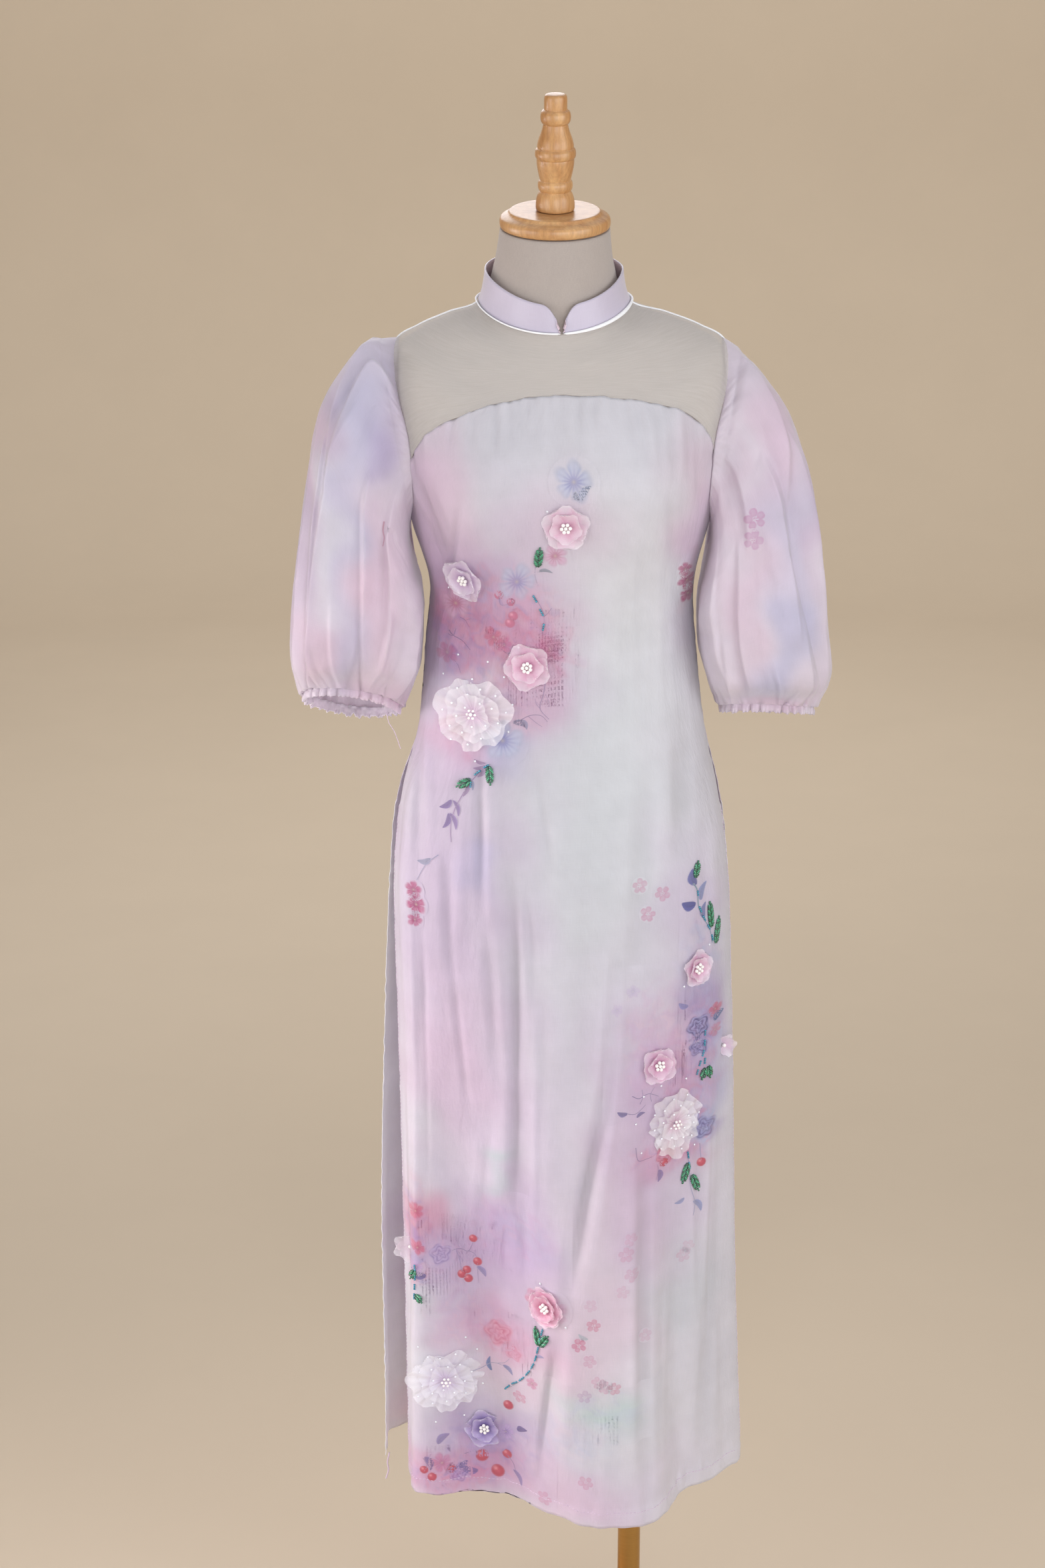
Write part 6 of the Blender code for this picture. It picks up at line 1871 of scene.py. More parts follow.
def print_rose(pile, surface, dyes, x, z, radius, turn, light, dark, strength):
    """A printed rose: curled petals wound about its middle, with loose soft edges."""
    reach, around, xs, zs, faces = flower_disc(x, z, radius, 22, 84)
    swing = around - math.radians(turn)
    rim = radius * (0.86 + 0.10 * np.sin(swing * 5) + 0.06 * np.sin(swing * 3 + 1))
    part = reach / rim
    winding = part * 3.1 + swing / (2 * math.pi) + 0.22 * np.sin(swing * 5 + part * 6)
    band = winding % 1
    glow = soft_step(band, 0.0, 0.7) * (1 - soft_step(band, 0.88, 1.0))
    glow = glow * (0.75 + 0.25 * cloudy(xs, zs, radius * 0.3, 35))
    colour = linear(dark) + (linear(light) - linear(dark)) * np.clip(glow, 0, 1)[..., None]
    inside = 1 - soft_step(part, 0.78, 1.02)
    alpha = strength * inside * (0.80 + 0.20 * cloudy(xs, zs, radius * 0.5, 36))
    alpha[-1] = 0
    lay(pile, surface, dyes, xs, zs, faces, colour, alpha)


def print_field(pile, surface, dyes, x, z, reach_x, reach_z):
    """The mottled dye of a field again, on a finer grid than the cloth's own."""
    across = np.linspace(-1.35, 1.35, int(reach_x * 2.7 / FIELD_STEP) + 1)[None, :]
    high = np.linspace(1.35, -1.35, int(reach_z * 2.7 / FIELD_STEP) + 1)[:, None]
    xs = np.clip(x + across * reach_x + 0 * high, -FIELD_REACH, FIELD_REACH)
    zs = z + high * reach_z + 0 * across
    faces = grid_faces(xs.shape[0] - 1, xs.shape[1] - 1)
    lay(pile, surface, dyes, xs, zs, faces, np.zeros(3), np.zeros(xs.shape), PRINT_LIFT / 2)


def print_leaf(pile, surface, dyes, x, z, angle, length, width, tint, strength, bend=0.15):
    """A printed leaf with a pointed tip, a midrib and a darker edge."""
    steps, spread = 14, 8
    along = np.linspace(0, 1, steps + 1)[:, None]
    across = np.linspace(-1, 1, spread + 1)[None, :]
    half = width / 2 * np.sin(math.pi * along**0.8) ** 0.8
    way = math.radians(angle)
    curve = bend * length * np.sin(math.pi * along)
    local_x = along * length + 0 * across
    local_z = curve + across * half * 1.15
    xs = x + local_x * math.cos(way) - local_z * math.sin(way)
    zs = z + local_x * math.sin(way) + local_z * math.cos(way)
    tint = linear(tint)
    rib = np.exp(-((across / 0.12) ** 2)) * 0.35 * (1 - along)
    side_veins = 0.06 * np.cos(along * 40 - np.abs(across) * 6)
    colour = tint * (1 - rib + side_veins)[..., None] * (0.92 + 0.12 * across)[..., None]
    alpha = strength * (1 - soft_step(np.abs(across), 0.72, 1.0)) + 0 * along
    alpha[0] = 0
    alpha[-1] = 0
    lay(pile, surface, dyes, xs, zs, grid_faces(steps, spread), colour, alpha)


def print_stem(pile, surface, dyes, route, width, tint, strength):
    """A printed stem through the given points."""
    knots = np.array(route, float)
    rows = np.linspace(0, len(knots) - 1, (len(knots) - 1) * 8 + 1)
    x, z = smooth(knots[:, 0], rows), smooth(knots[:, 1], rows)
    along = np.stack([np.gradient(x), np.gradient(z)], axis=-1)
    along /= np.linalg.norm(along, axis=-1, keepdims=True)
    across = np.linspace(-1, 1, 5)[None, :]
    taper = (1 - 0.5 * np.linspace(0, 1, len(x)))[:, None] * width / 2
    xs = x[:, None] - along[:, 1:] * across * taper
    zs = z[:, None] + along[:, :1] * across * taper
    alpha = strength * (1 - np.abs(across) ** 2) + 0 * xs
    lay(pile, surface, dyes, xs, zs, grid_faces(len(x) - 1, 4), linear(tint), alpha)


def print_dot(pile, surface, dyes, x, z, radius, tint):
    """A printed berry, lit from the upper left."""
    share = np.array([0, 0.4, 0.75, 0.92, 1.06])[:, None]
    around = np.linspace(0, 2 * math.pi, 20, endpoint=False)[None, :]
    local_x, local_z = share * np.cos(around), share * np.sin(around)
    lit = np.exp(-(((local_x + 0.35) ** 2 + (local_z - 0.35) ** 2) / 0.09))
    colour = linear(tint) * (1 - 0.18 * share)[..., None] + 0.28 * lit[..., None]
    alpha = 1 - soft_step(share, 0.85, 1.05) + 0 * around
    xs, zs = x + local_x * radius, z + local_z * radius
    lay(pile, surface, dyes, xs, zs, grid_faces(4, 20, closed=True), colour, alpha)


def petal(pile, frame_at, turn, length, half_width, lift, cup, curl, colours, seed):
    """One curved petal that grows out of a flower's middle."""
    place, across, up, out = frame_at
    steps, spread = 9, 8
    along = np.linspace(0.04, 1, steps + 1)[:, None]
    side = np.linspace(-1, 1, spread + 1)[None, :]
    half = half_width * np.sin(math.pi * np.clip(along, 0, 1) ** 0.85 * 0.86) ** 0.7
    tip = 1 - 0.30 * np.abs(side) ** 2.2 - 0.04 * np.exp(-((side / 0.22) ** 2))
    run = along * length * (1 - along + along * tip)
    wave = 0.0007 * np.sin(side * 4 + seed) * along**2
    wave = wave + 0.0004 * np.sin(side * 9 + seed * 2) * along**3
    height = lift * along**1.2 + cup * side**2 * along - curl * along**4 + wave + 0.0006
    a, b = math.cos(turn), math.sin(turn)
    local_x = run * a - side * half * b
    local_z = run * b + side * half * a
    points = (
        place
        + across * local_x[..., None]
        + up * local_z[..., None]
        + out * (height + 0 * local_x)[..., None]
    )
    inner, outer = linear(colours[0]), linear(colours[1])
    blend = soft_step(along + 0.12 * np.sin(side * 5 + seed), 0.15, 0.95)[..., None]
    colour = inner + (outer - inner) * blend
    veins = 1 - 0.10 * np.exp(-((((side * 4) % 1) - 0.5) / 0.16) ** 2) * (1 - 0.6 * along)
    colour = colour * veins[..., None]
    # The tips and side rims go towards white: the organza's paler rolled edge, with a painted
    # highlight along it.
    rolled_edge_and_highlight = np.maximum(soft_step(along, 0.86, 1.0), soft_step(np.abs(side), 0.8, 1.0) * along)
    colour = colour + (linear(TINTS["white"]) - colour) * (0.6 * rolled_edge_and_highlight)[..., None]
    pile.add(points, grid_faces(steps, spread), colour.reshape(-1, 3))


def unit_ball(rings=7, spokes=12):
    """A ball of quads, with its poles."""
    down = np.linspace(0, math.pi, rings + 1)[:, None]
    around = np.linspace(0, 2 * math.pi, spokes, endpoint=False)[None, :]
    height = np.cos(down) + 0 * around
    grid = np.stack([np.sin(down) * np.cos(around), np.sin(down) * np.sin(around), height], -1)
    return grid.reshape(-1, 3), grid_faces(rings, spokes, closed=True)


BALL_POINTS, BALL_FACES = unit_ball()


def ball(pile, centre, radius, colour):
    pile.add(BALL_POINTS * radius + centre, BALL_FACES, linear(colour))


def cut_stone(pile, centre, across, up, out):
    """A flat-backed cut stone: a table, a faceted crown and a girdle on the cloth."""
    around = np.linspace(0, 2 * math.pi, 8, endpoint=False)
    rings = []
    for share, height, twist in STONE_RINGS:
        ring = across * np.cos(around + twist)[:, None] + up * np.sin(around + twist)[:, None]
        rings.append(centre + ring * share * STONE_RADIUS + out * height * STONE_RADIUS)
    grid = np.array(rings)
    pile.add(grid.reshape(-1, 3), grid_faces(3, 8, closed=True), linear(STONE_COLOUR))


def beside(place, way, reach, lift=0.0):
    """A point beside a place on the cloth: a direction, how far, and how high over it."""
    centre, across, up, out = place
    return centre + (across * math.cos(way) + up * math.sin(way)) * reach + out * lift


def bugle(pile, start, end, radius, colour):
    """A tube bead from start to end."""
    along = (end - start) / np.linalg.norm(end - start)
    side = np.cross(along, np.array([0.3, -1.0, 0.2]))
    side /= np.linalg.norm(side)
    other = np.cross(along, side)
    around = np.linspace(0, 2 * math.pi, 8, endpoint=False)
    ring = side * np.cos(around)[:, None] + other * np.sin(around)[:, None]
    shares = ((0.0, 0.55), (0.03, 1.0), (0.97, 1.0), (1.0, 0.55))
    rows = [start + (end - start) * place + ring * radius * size for place, size in shares]
    grid = np.array([np.repeat(start[None], 8, axis=0), *rows, np.repeat(end[None], 8, axis=0)])
    pile.add(grid.reshape(-1, 3), grid_faces(5, 8, closed=True), linear(colour))


def bead_leaf(pile, surface, x, z, angle, length, colour):
    """A leaf of tube beads: pairs that slant out from a midrib, one lighter than the next."""
    place, across, up, out = surface.frame(x, z, math.radians(angle))
    pairs = max(4, round(length / 0.0027))
    for i in range(pairs):
        start_at = length * (0.04 + 0.80 * i / pairs)
        size = 0.0058 * math.sin(math.pi * (0.30 + 0.52 * (i + 0.5) / pairs))
        for side in (-1, 1):
            shade = BEAD_SHADES[(i + (side > 0)) % len(BEAD_SHADES)]
            tint = tuple(min(1.0, one * shade) for one in colour)
            start = place + across * start_at + up * side * 0.0006 + out * BEAD_LIFT
            end = start + across * size * 0.78 + up * side * size * 0.58
            bugle(pile, start, end, BUGLE_RADIUS, tint)
    start = place + across * length * 0.86 + out * BEAD_LIFT
    bugle(pile, start, start + across * 0.0034, BUGLE_RADIUS, colour)


# --- everything on the object ---------------------------------------------------------------------

NECK_CAP = (
    (0.0, 0.0003), (0.0480, 0.0003), (0.0510, 0.0005), (0.0528, 0.0018), (0.0535, 0.0040),
    (0.0535, 0.0080), (0.0524, 0.0108), (0.0500, 0.0124), (0.0462, 0.0136), (0.0446, 0.0150),
    (0.0440, 0.0166), (0.0425, 0.0170), (0.0400, 0.0170), (0.0, 0.0170),
)
FINIAL = (
    (0.0, 0.0174), (0.0170, 0.0174), (0.0184, 0.0178), (0.0188, 0.0200), (0.0187, 0.0240),
    (0.0180, 0.0290), (0.0166, 0.0330), (0.0152, 0.0352), (0.0147, 0.0357), (0.0152, 0.0362),
    (0.0163, 0.0380), (0.0168, 0.0410), (0.0165, 0.0440), (0.0154, 0.0460), (0.0147, 0.0465),
    (0.0150, 0.0470), (0.0158, 0.0505), (0.0170, 0.0560), (0.0178, 0.0610), (0.0180, 0.0650),
    (0.0179, 0.0664), (0.0177, 0.0668), (0.0186, 0.0672), (0.0195, 0.0692), (0.0196, 0.0722),
    (0.0190, 0.0752), (0.0178, 0.0766), (0.0173, 0.0770), (0.0175, 0.0775), (0.0174, 0.0800),
    (0.0162, 0.0850), (0.0142, 0.0900), (0.0126, 0.0950), (0.0119, 0.0985), (0.0118, 0.0992),
    (0.0124, 0.0996), (0.0138, 0.1012), (0.0145, 0.1045), (0.0144, 0.1080), (0.0134, 0.1112),
    (0.0114, 0.1126), (0.0109, 0.1130), (0.0110, 0.1136), (0.0110, 0.1230), (0.0104, 0.1256),
    (0.0094, 0.1268), (0.0060, 0.1274), (0.0, 0.1275),
)
BASE = (
    (0.0, 0.0), (0.165, 0.0), (0.1745, 0.0003), (0.1790, 0.0022),
    (0.1800, 0.0050), (0.1798, 0.0092), (0.1776, 0.0132), (0.1740, 0.0162),
    (0.1700, 0.0178), (0.1650, BASE_HEIGHT), (0.1000, BASE_HEIGHT), (0.0, BASE_HEIGHT),
)
POLE = (
    (0.0, BASE_HEIGHT + GAP),
    (POLE_RADIUS - 0.0010, BASE_HEIGHT + GAP),
    (POLE_RADIUS, BASE_HEIGHT + GAP + 0.0010),
    (POLE_RADIUS, 0.0300),
    (POLE_RADIUS, 0.7885),
    (POLE_RADIUS - 0.0010, 0.7897),
    (0.0, 0.7897),
)

make_form()
turned("neck_cap", NECK_CAP, wood, NECK_CENTRE, NECK_LEAN)
turned("finial", FINIAL, wood, NECK_CENTRE, NECK_LEAN, sides=72, turns=1)
turned("pole", POLE, gold, (POLE_X, 0, 0), sides=64)
turned("base", BASE, base_wood, sides=128)

collar = make_collar()
make_binding()
make_shoulder_seam(1)
make_shoulder_seam(-1)
front, front_grid, front_yoke = make_panel(
    "front",
    FRONT_SECTIONS,
    (-math.pi, 0.0),
    ARMHOLE_FRONT,
    (BODICE_CORNER_RIGHT, BODICE_CORNER_LEFT),
    FRONT_COLUMNS,
    FRONT_FOLDS,
    FRONT_CREASES,
    (FRONT_WASHES, FRONT_FIELDS),
    FRONT_TOP_GATHER,
    seed=100,
)
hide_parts("front_panel")
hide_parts("yoke_front")
back, back_grid, back_yoke = make_panel(
    "back",
    BACK_SECTIONS,
    (0.0, math.pi),
    ARMHOLE_BACK,
    (BACK_CORNER, BACK_CORNER),
    BACK_COLUMNS,
    BACK_FOLDS,
    BACK_CREASES,
    (BACK_WASHES, BACK_FIELDS),
    BACK_TOP_GATHER,
    seed=300,
)
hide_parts("back_panel")
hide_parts("yoke_back")
right_sleeve, right_cuff, right_grid = make_sleeve(
    "right", -1, RIGHT_SLEEVE, RIGHT_SLEEVE_FOLDS, RIGHT_SLEEVE_CREASES, 600
)
left_sleeve, left_cuff, left_grid = make_sleeve(
    "left", 1, LEFT_SLEEVE, LEFT_SLEEVE_FOLDS, LEFT_SLEEVE_CREASES, 700
)

front_face = Surface(front_grid, -1.0)
back_face = Surface(back_grid, 1.0)
right_sleeve_face = Surface(right_grid, -1.0)
left_sleeve_face = Surface(left_grid, -1.0)
ON_FRONT = (front_face, (FRONT_WASHES, FRONT_FIELDS))
ON_BACK = (back_face, (BACK_WASHES, BACK_FIELDS))
ON_RIGHT_SLEEVE = (right_sleeve_face, (SLEEVE_WASHES, (), "sleeve"))
ON_LEFT_SLEEVE = (left_sleeve_face, (SLEEVE_WASHES, (), "sleeve"))

# Printed colours
PALE_BLUE = ((0.84, 0.86, 0.94), (0.50, 0.50, 0.78))
PALE_PINK = ((0.92, 0.76, 0.86), (0.74, 0.30, 0.48))
DEEP_PINK = ((0.86, 0.50, 0.68), (0.66, 0.22, 0.42))
MAGENTA = ((0.80, 0.38, 0.58), (0.62, 0.18, 0.40))
SOFT_RED = ((0.88, 0.46, 0.58), (0.70, 0.18, 0.32))
LILAC_BLOOM = ((0.84, 0.74, 0.90), (0.50, 0.36, 0.70))
INK = (0.46, 0.42, 0.60)
SLATE = (0.50, 0.56, 0.70)
PLUM = (0.56, 0.40, 0.62)
TEAL_STEM = (0.28, 0.54, 0.60)
STAMP_PINK = (0.84, 0.60, 0.72)

# Printed blossoms: x, z, radius, petals, turn, colours and strength.
PRINT_FLOWERS = [
    (0.0101, 1.3677, 0.0215, 5, 10, PALE_BLUE, 0.80),
    (-0.0072, 1.2962, 0.0135, 5, 40, PALE_PINK, 0.80),
    (-0.0438, 1.2696, 0.0215, 5, 0, PALE_BLUE, 0.72),
    (-0.1031, 1.2410, 0.0175, 5, 25, PALE_PINK, 0.85),
    (-0.0578, 1.1089, 0.0230, 5, 20, PALE_BLUE, 0.80),
    (-0.0692, 1.1328, 0.0110, 5, 50, SOFT_RED, 0.55),
    (-0.0992, 1.1200, 0.0150, 5, 15, SOFT_RED, 0.70),
    (-0.0663, 1.2114, 0.0110, 5, 35, SOFT_RED, 0.60),
    (-0.0560, 1.2040, 0.0090, 5, 5, DEEP_PINK, 0.60),
    (-0.0120, 1.2013, 0.0160, 5, 25, DEEP_PINK, 0.45),
    (-0.1120, 1.1900, 0.0120, 5, 45, MAGENTA, 0.50),
    (0.1196, 1.2735, 0.0085, 5, 10, MAGENTA, 0.85),
    (0.1222, 1.2610, 0.0105, 5, 40, MAGENTA, 0.90),
    (0.1240, 1.2465, 0.0100, 5, 70, MAGENTA, 0.92),
    (-0.1475, 0.9480, 0.0100, 5, 10, MAGENTA, 0.88),
    (-0.1450, 0.9330, 0.0110, 5, 40, MAGENTA, 0.92),
    (-0.1465, 0.9170, 0.0085, 5, 70, MAGENTA, 0.85),
    (0.1579, 0.8180, 0.0085, 5, 20, SOFT_RED, 0.85),
    (0.1580, 0.7960, 0.0080, 5, 50, SOFT_RED, 0.55),
    (0.0720, 0.8540, 0.0080, 5, 20, LILAC_BLOOM, 0.30),
    (0.0560, 0.8360, 0.0070, 5, 50, LILAC_BLOOM, 0.25),
    (-0.1490, 0.6011, 0.0100, 5, 30, SOFT_RED, 0.70),
    (-0.1475, 0.5600, 0.0090, 5, 60, SOFT_RED, 0.75),
    (-0.1490, 0.5375, 0.0090, 5, 10, LILAC_BLOOM, 0.75),
    (-0.0090, 0.5180, 0.0190, 7, 15, PALE_PINK, 0.65),
    (-0.0284, 0.4217, 0.0070, 5, 10, DEEP_PINK, 0.60),
    (-0.0795, 0.3436, 0.0240, 5, 30, LILAC_BLOOM, 0.85),
    (-0.0559, 0.3500, 0.0110, 5, 5, LILAC_BLOOM, 0.90),
    (-0.1240, 0.3120, 0.0130, 5, 35, DEEP_PINK, 0.55),
]
# Small blossoms of separate petals: x, z, radius, turn, colour and strength.
PRINT_STAMPS = [
    (0.0777, 0.9624, 0.0078, 20, STAMP_PINK, 0.62),
    (0.1006, 0.9534, 0.0080, 50, STAMP_PINK, 0.72),
    (0.0861, 0.9333, 0.0080, 5, STAMP_PINK, 0.72),
    (0.0343, 0.5052, 0.0074, 10, (0.84, 0.50, 0.62), 0.68),
    (0.0195, 0.4826, 0.0078, 40, (0.84, 0.44, 0.60), 0.78),
    (0.0304, 0.4650, 0.0074, 65, STAMP_PINK, 0.52),
    (0.0562, 0.4357, 0.0070, 25, (0.84, 0.50, 0.62), 0.60),
    (0.0462, 0.4373, 0.0074, 0, STAMP_PINK, 0.55),
    (0.0395, 0.4420, 0.0072, 30, STAMP_PINK, 0.50),
    (0.0255, 0.4250, 0.0076, 15, (0.76, 0.62, 0.76), 0.50),
    (-0.0410, 0.3985, 0.0070, 35, (0.84, 0.48, 0.62), 0.60),
    (0.0274, 0.3265, 0.0080, 55, STAMP_PINK, 0.60),
    (-0.0146, 0.2916, 0.0076, 5, STAMP_PINK, 0.62),
    (0.0310, 0.5270, 0.0070, 45, STAMP_PINK, 0.30),
    (0.0669, 0.5795, 0.0084, 20, STAMP_PINK, 0.48),
    (0.0720, 0.5950, 0.0070, 60, STAMP_PINK, 0.38),
    (0.0729, 0.5572, 0.0078, 50, STAMP_PINK, 0.42),
    (0.0640, 0.5400, 0.0070, 5, STAMP_PINK, 0.30),
    (0.1288, 0.5520, 0.0078, 30, STAMP_PINK, 0.40),
    (0.1340, 0.5620, 0.0070, 60, STAMP_PINK, 0.32),
    (0.0880, 0.4840, 0.0070, 20, STAMP_PINK, 0.34),
]
# Printed roses: x, z, radius, turn, light and dark colours and strength.
PRINT_ROSES = [
    (0.1400, 0.8060, 0.0150, 30, (0.72, 0.72, 0.90), (0.26, 0.22, 0.48), 0.88),
    (0.1405, 0.7840, 0.0125, 80, (0.70, 0.68, 0.88), (0.32, 0.28, 0.54), 0.80),
    (0.1481, 0.6930, 0.0155, 10, (0.70, 0.70, 0.88), (0.34, 0.30, 0.56), 0.80),
    (0.1080, 0.6740, 0.0130, 50, (0.94, 0.66, 0.74), (0.78, 0.28, 0.42), 0.75),
    (-0.0630, 0.4660, 0.0185, 20, (0.94, 0.70, 0.78), (0.84, 0.42, 0.54), 0.62),
    (-0.0480, 0.4480, 0.0110, 70, (0.94, 0.68, 0.78), (0.84, 0.44, 0.58), 0.55),
    (-0.1235, 0.5530, 0.0145, 15, (0.84, 0.78, 0.92), (0.54, 0.44, 0.70), 0.62),
    (-0.0230, 0.5230, 0.0150, 40, (0.96, 0.76, 0.84), (0.86, 0.46, 0.60), 0.60),
    (-0.1060, 0.2990, 0.0130, 60, (0.80, 0.70, 0.90), (0.52, 0.42, 0.70), 0.65),
    (-0.0130, 1.2030, 0.0150, 10, (0.94, 0.70, 0.82), (0.82, 0.44, 0.62), 0.50),
]
# Printed leaves: x, z, angle, length, width, colour and strength.
PRINT_LEAVES = [
    (0.0164, 1.3500, 55, 0.018, 0.0075, (0.56, 0.62, 0.74), 0.80),
    (0.0150, 1.3500, 110, 0.010, 0.0050, (0.62, 0.68, 0.76), 0.60),
    (-0.0249, 1.2800, -5, 0.016, 0.0036, (0.64, 0.66, 0.72), 0.75),
    (-0.1290, 0.9840, 200, 0.016, 0.0060, (0.52, 0.58, 0.70), 0.60),
    (0.1345, 0.9560, 100, 0.019, 0.0090, (0.42, 0.44, 0.70), 0.85),
    (0.1352, 0.9370, 165, 0.016, 0.0100, (0.38, 0.40, 0.68), 0.90),
    (0.1400, 0.9390, 72, 0.020, 0.0070, (0.56, 0.62, 0.82), 0.75),
    (0.1440, 0.9190, 85, 0.018, 0.0060, (0.44, 0.50, 0.74), 0.75),
    (0.1560, 0.8060, 30, 0.014, 0.0080, (0.36, 0.48, 0.70), 0.85),
    (0.1290, 0.8300, 150, 0.012, 0.0060, (0.50, 0.52, 0.78), 0.60),
    (0.0677, 0.7276, 160, 0.012, 0.0050, (0.48, 0.44, 0.66), 0.75),
    (0.0764, 0.7216, 20, 0.010, 0.0040, (0.48, 0.44, 0.66), 0.70),
    (0.1380, 0.6130, -60, 0.018, 0.0060, (0.54, 0.60, 0.80), 0.65),
    (0.1290, 0.6180, 200, 0.012, 0.0045, (0.54, 0.60, 0.80), 0.60),
    (0.1010, 0.6590, -95, 0.014, 0.0060, (0.52, 0.44, 0.70), 0.65),
    (-0.0740, 1.0850, 165, 0.013, 0.0034, PLUM, 0.55),
    (-0.0740, 1.0830, 195, 0.014, 0.0040, PLUM, 0.60),
    (-0.0760, 1.0800, 235, 0.012, 0.0040, PLUM, 0.60),
    (-0.0920, 1.0700, -70, 0.014, 0.0036, SLATE, 0.60),
    (-0.0925, 1.0690, 255, 0.020, 0.0040, PLUM, 0.60),
    (-0.1080, 1.0460, 215, 0.016, 0.0056, (0.52, 0.42, 0.68), 0.75),
    (-0.1070, 1.0460, -72, 0.017, 0.0042, (0.56, 0.44, 0.70), 0.70),
    (-0.1110, 1.0330, 248, 0.018, 0.0052, (0.52, 0.42, 0.68), 0.75),
    (-0.1108, 1.0330, -68, 0.018, 0.0048, (0.58, 0.46, 0.72), 0.70),
    (-0.0480, 1.1280, -20, 0.014, 0.0060, (0.58, 0.60, 0.72), 0.70),
    (-0.0540, 1.1290, 190, 0.013, 0.0055, (0.60, 0.62, 0.74), 0.65),
    (-0.0400, 1.1310, -60, 0.012, 0.0048, (0.56, 0.60, 0.74), 0.60),
    (-0.1380, 0.5280, 160, 0.018, 0.0090, (0.42, 0.40, 0.66), 0.75),
    (-0.0858, 0.5400, -50, 0.015, 0.0060, (0.58, 0.54, 0.76), 0.65),
    (-0.0706, 0.4178, 95, 0.018, 0.0050, (0.46, 0.56, 0.76), 0.80),
    (-0.0590, 0.4290, -40, 0.014, 0.0050, (0.52, 0.56, 0.76), 0.70),
    (-0.0250, 0.4540, 20, 0.010, 0.0040, (0.56, 0.60, 0.78), 0.60),
    (-0.1290, 0.3340, 40, 0.018, 0.0080, (0.54, 0.46, 0.72), 0.60),
    (-0.0960, 0.3120, 200, 0.018, 0.0070, (0.52, 0.46, 0.74), 0.70),
    (-0.0850, 0.3000, 160, 0.022, 0.0090, (0.50, 0.46, 0.72), 0.70),
    (-0.0480, 0.3080, -60, 0.018, 0.0050, (0.56, 0.50, 0.74), 0.65),
    (-0.0440, 0.3560, 30, 0.013, 0.0060, (0.44, 0.36, 0.62), 0.80),
    (-0.1420, 0.3200, -70, 0.018, 0.0080, (0.50, 0.44, 0.70), 0.65),
    (0.0290, 0.4900, 150, 0.012, 0.0045, (0.66, 0.76, 0.78), 0.50),
]
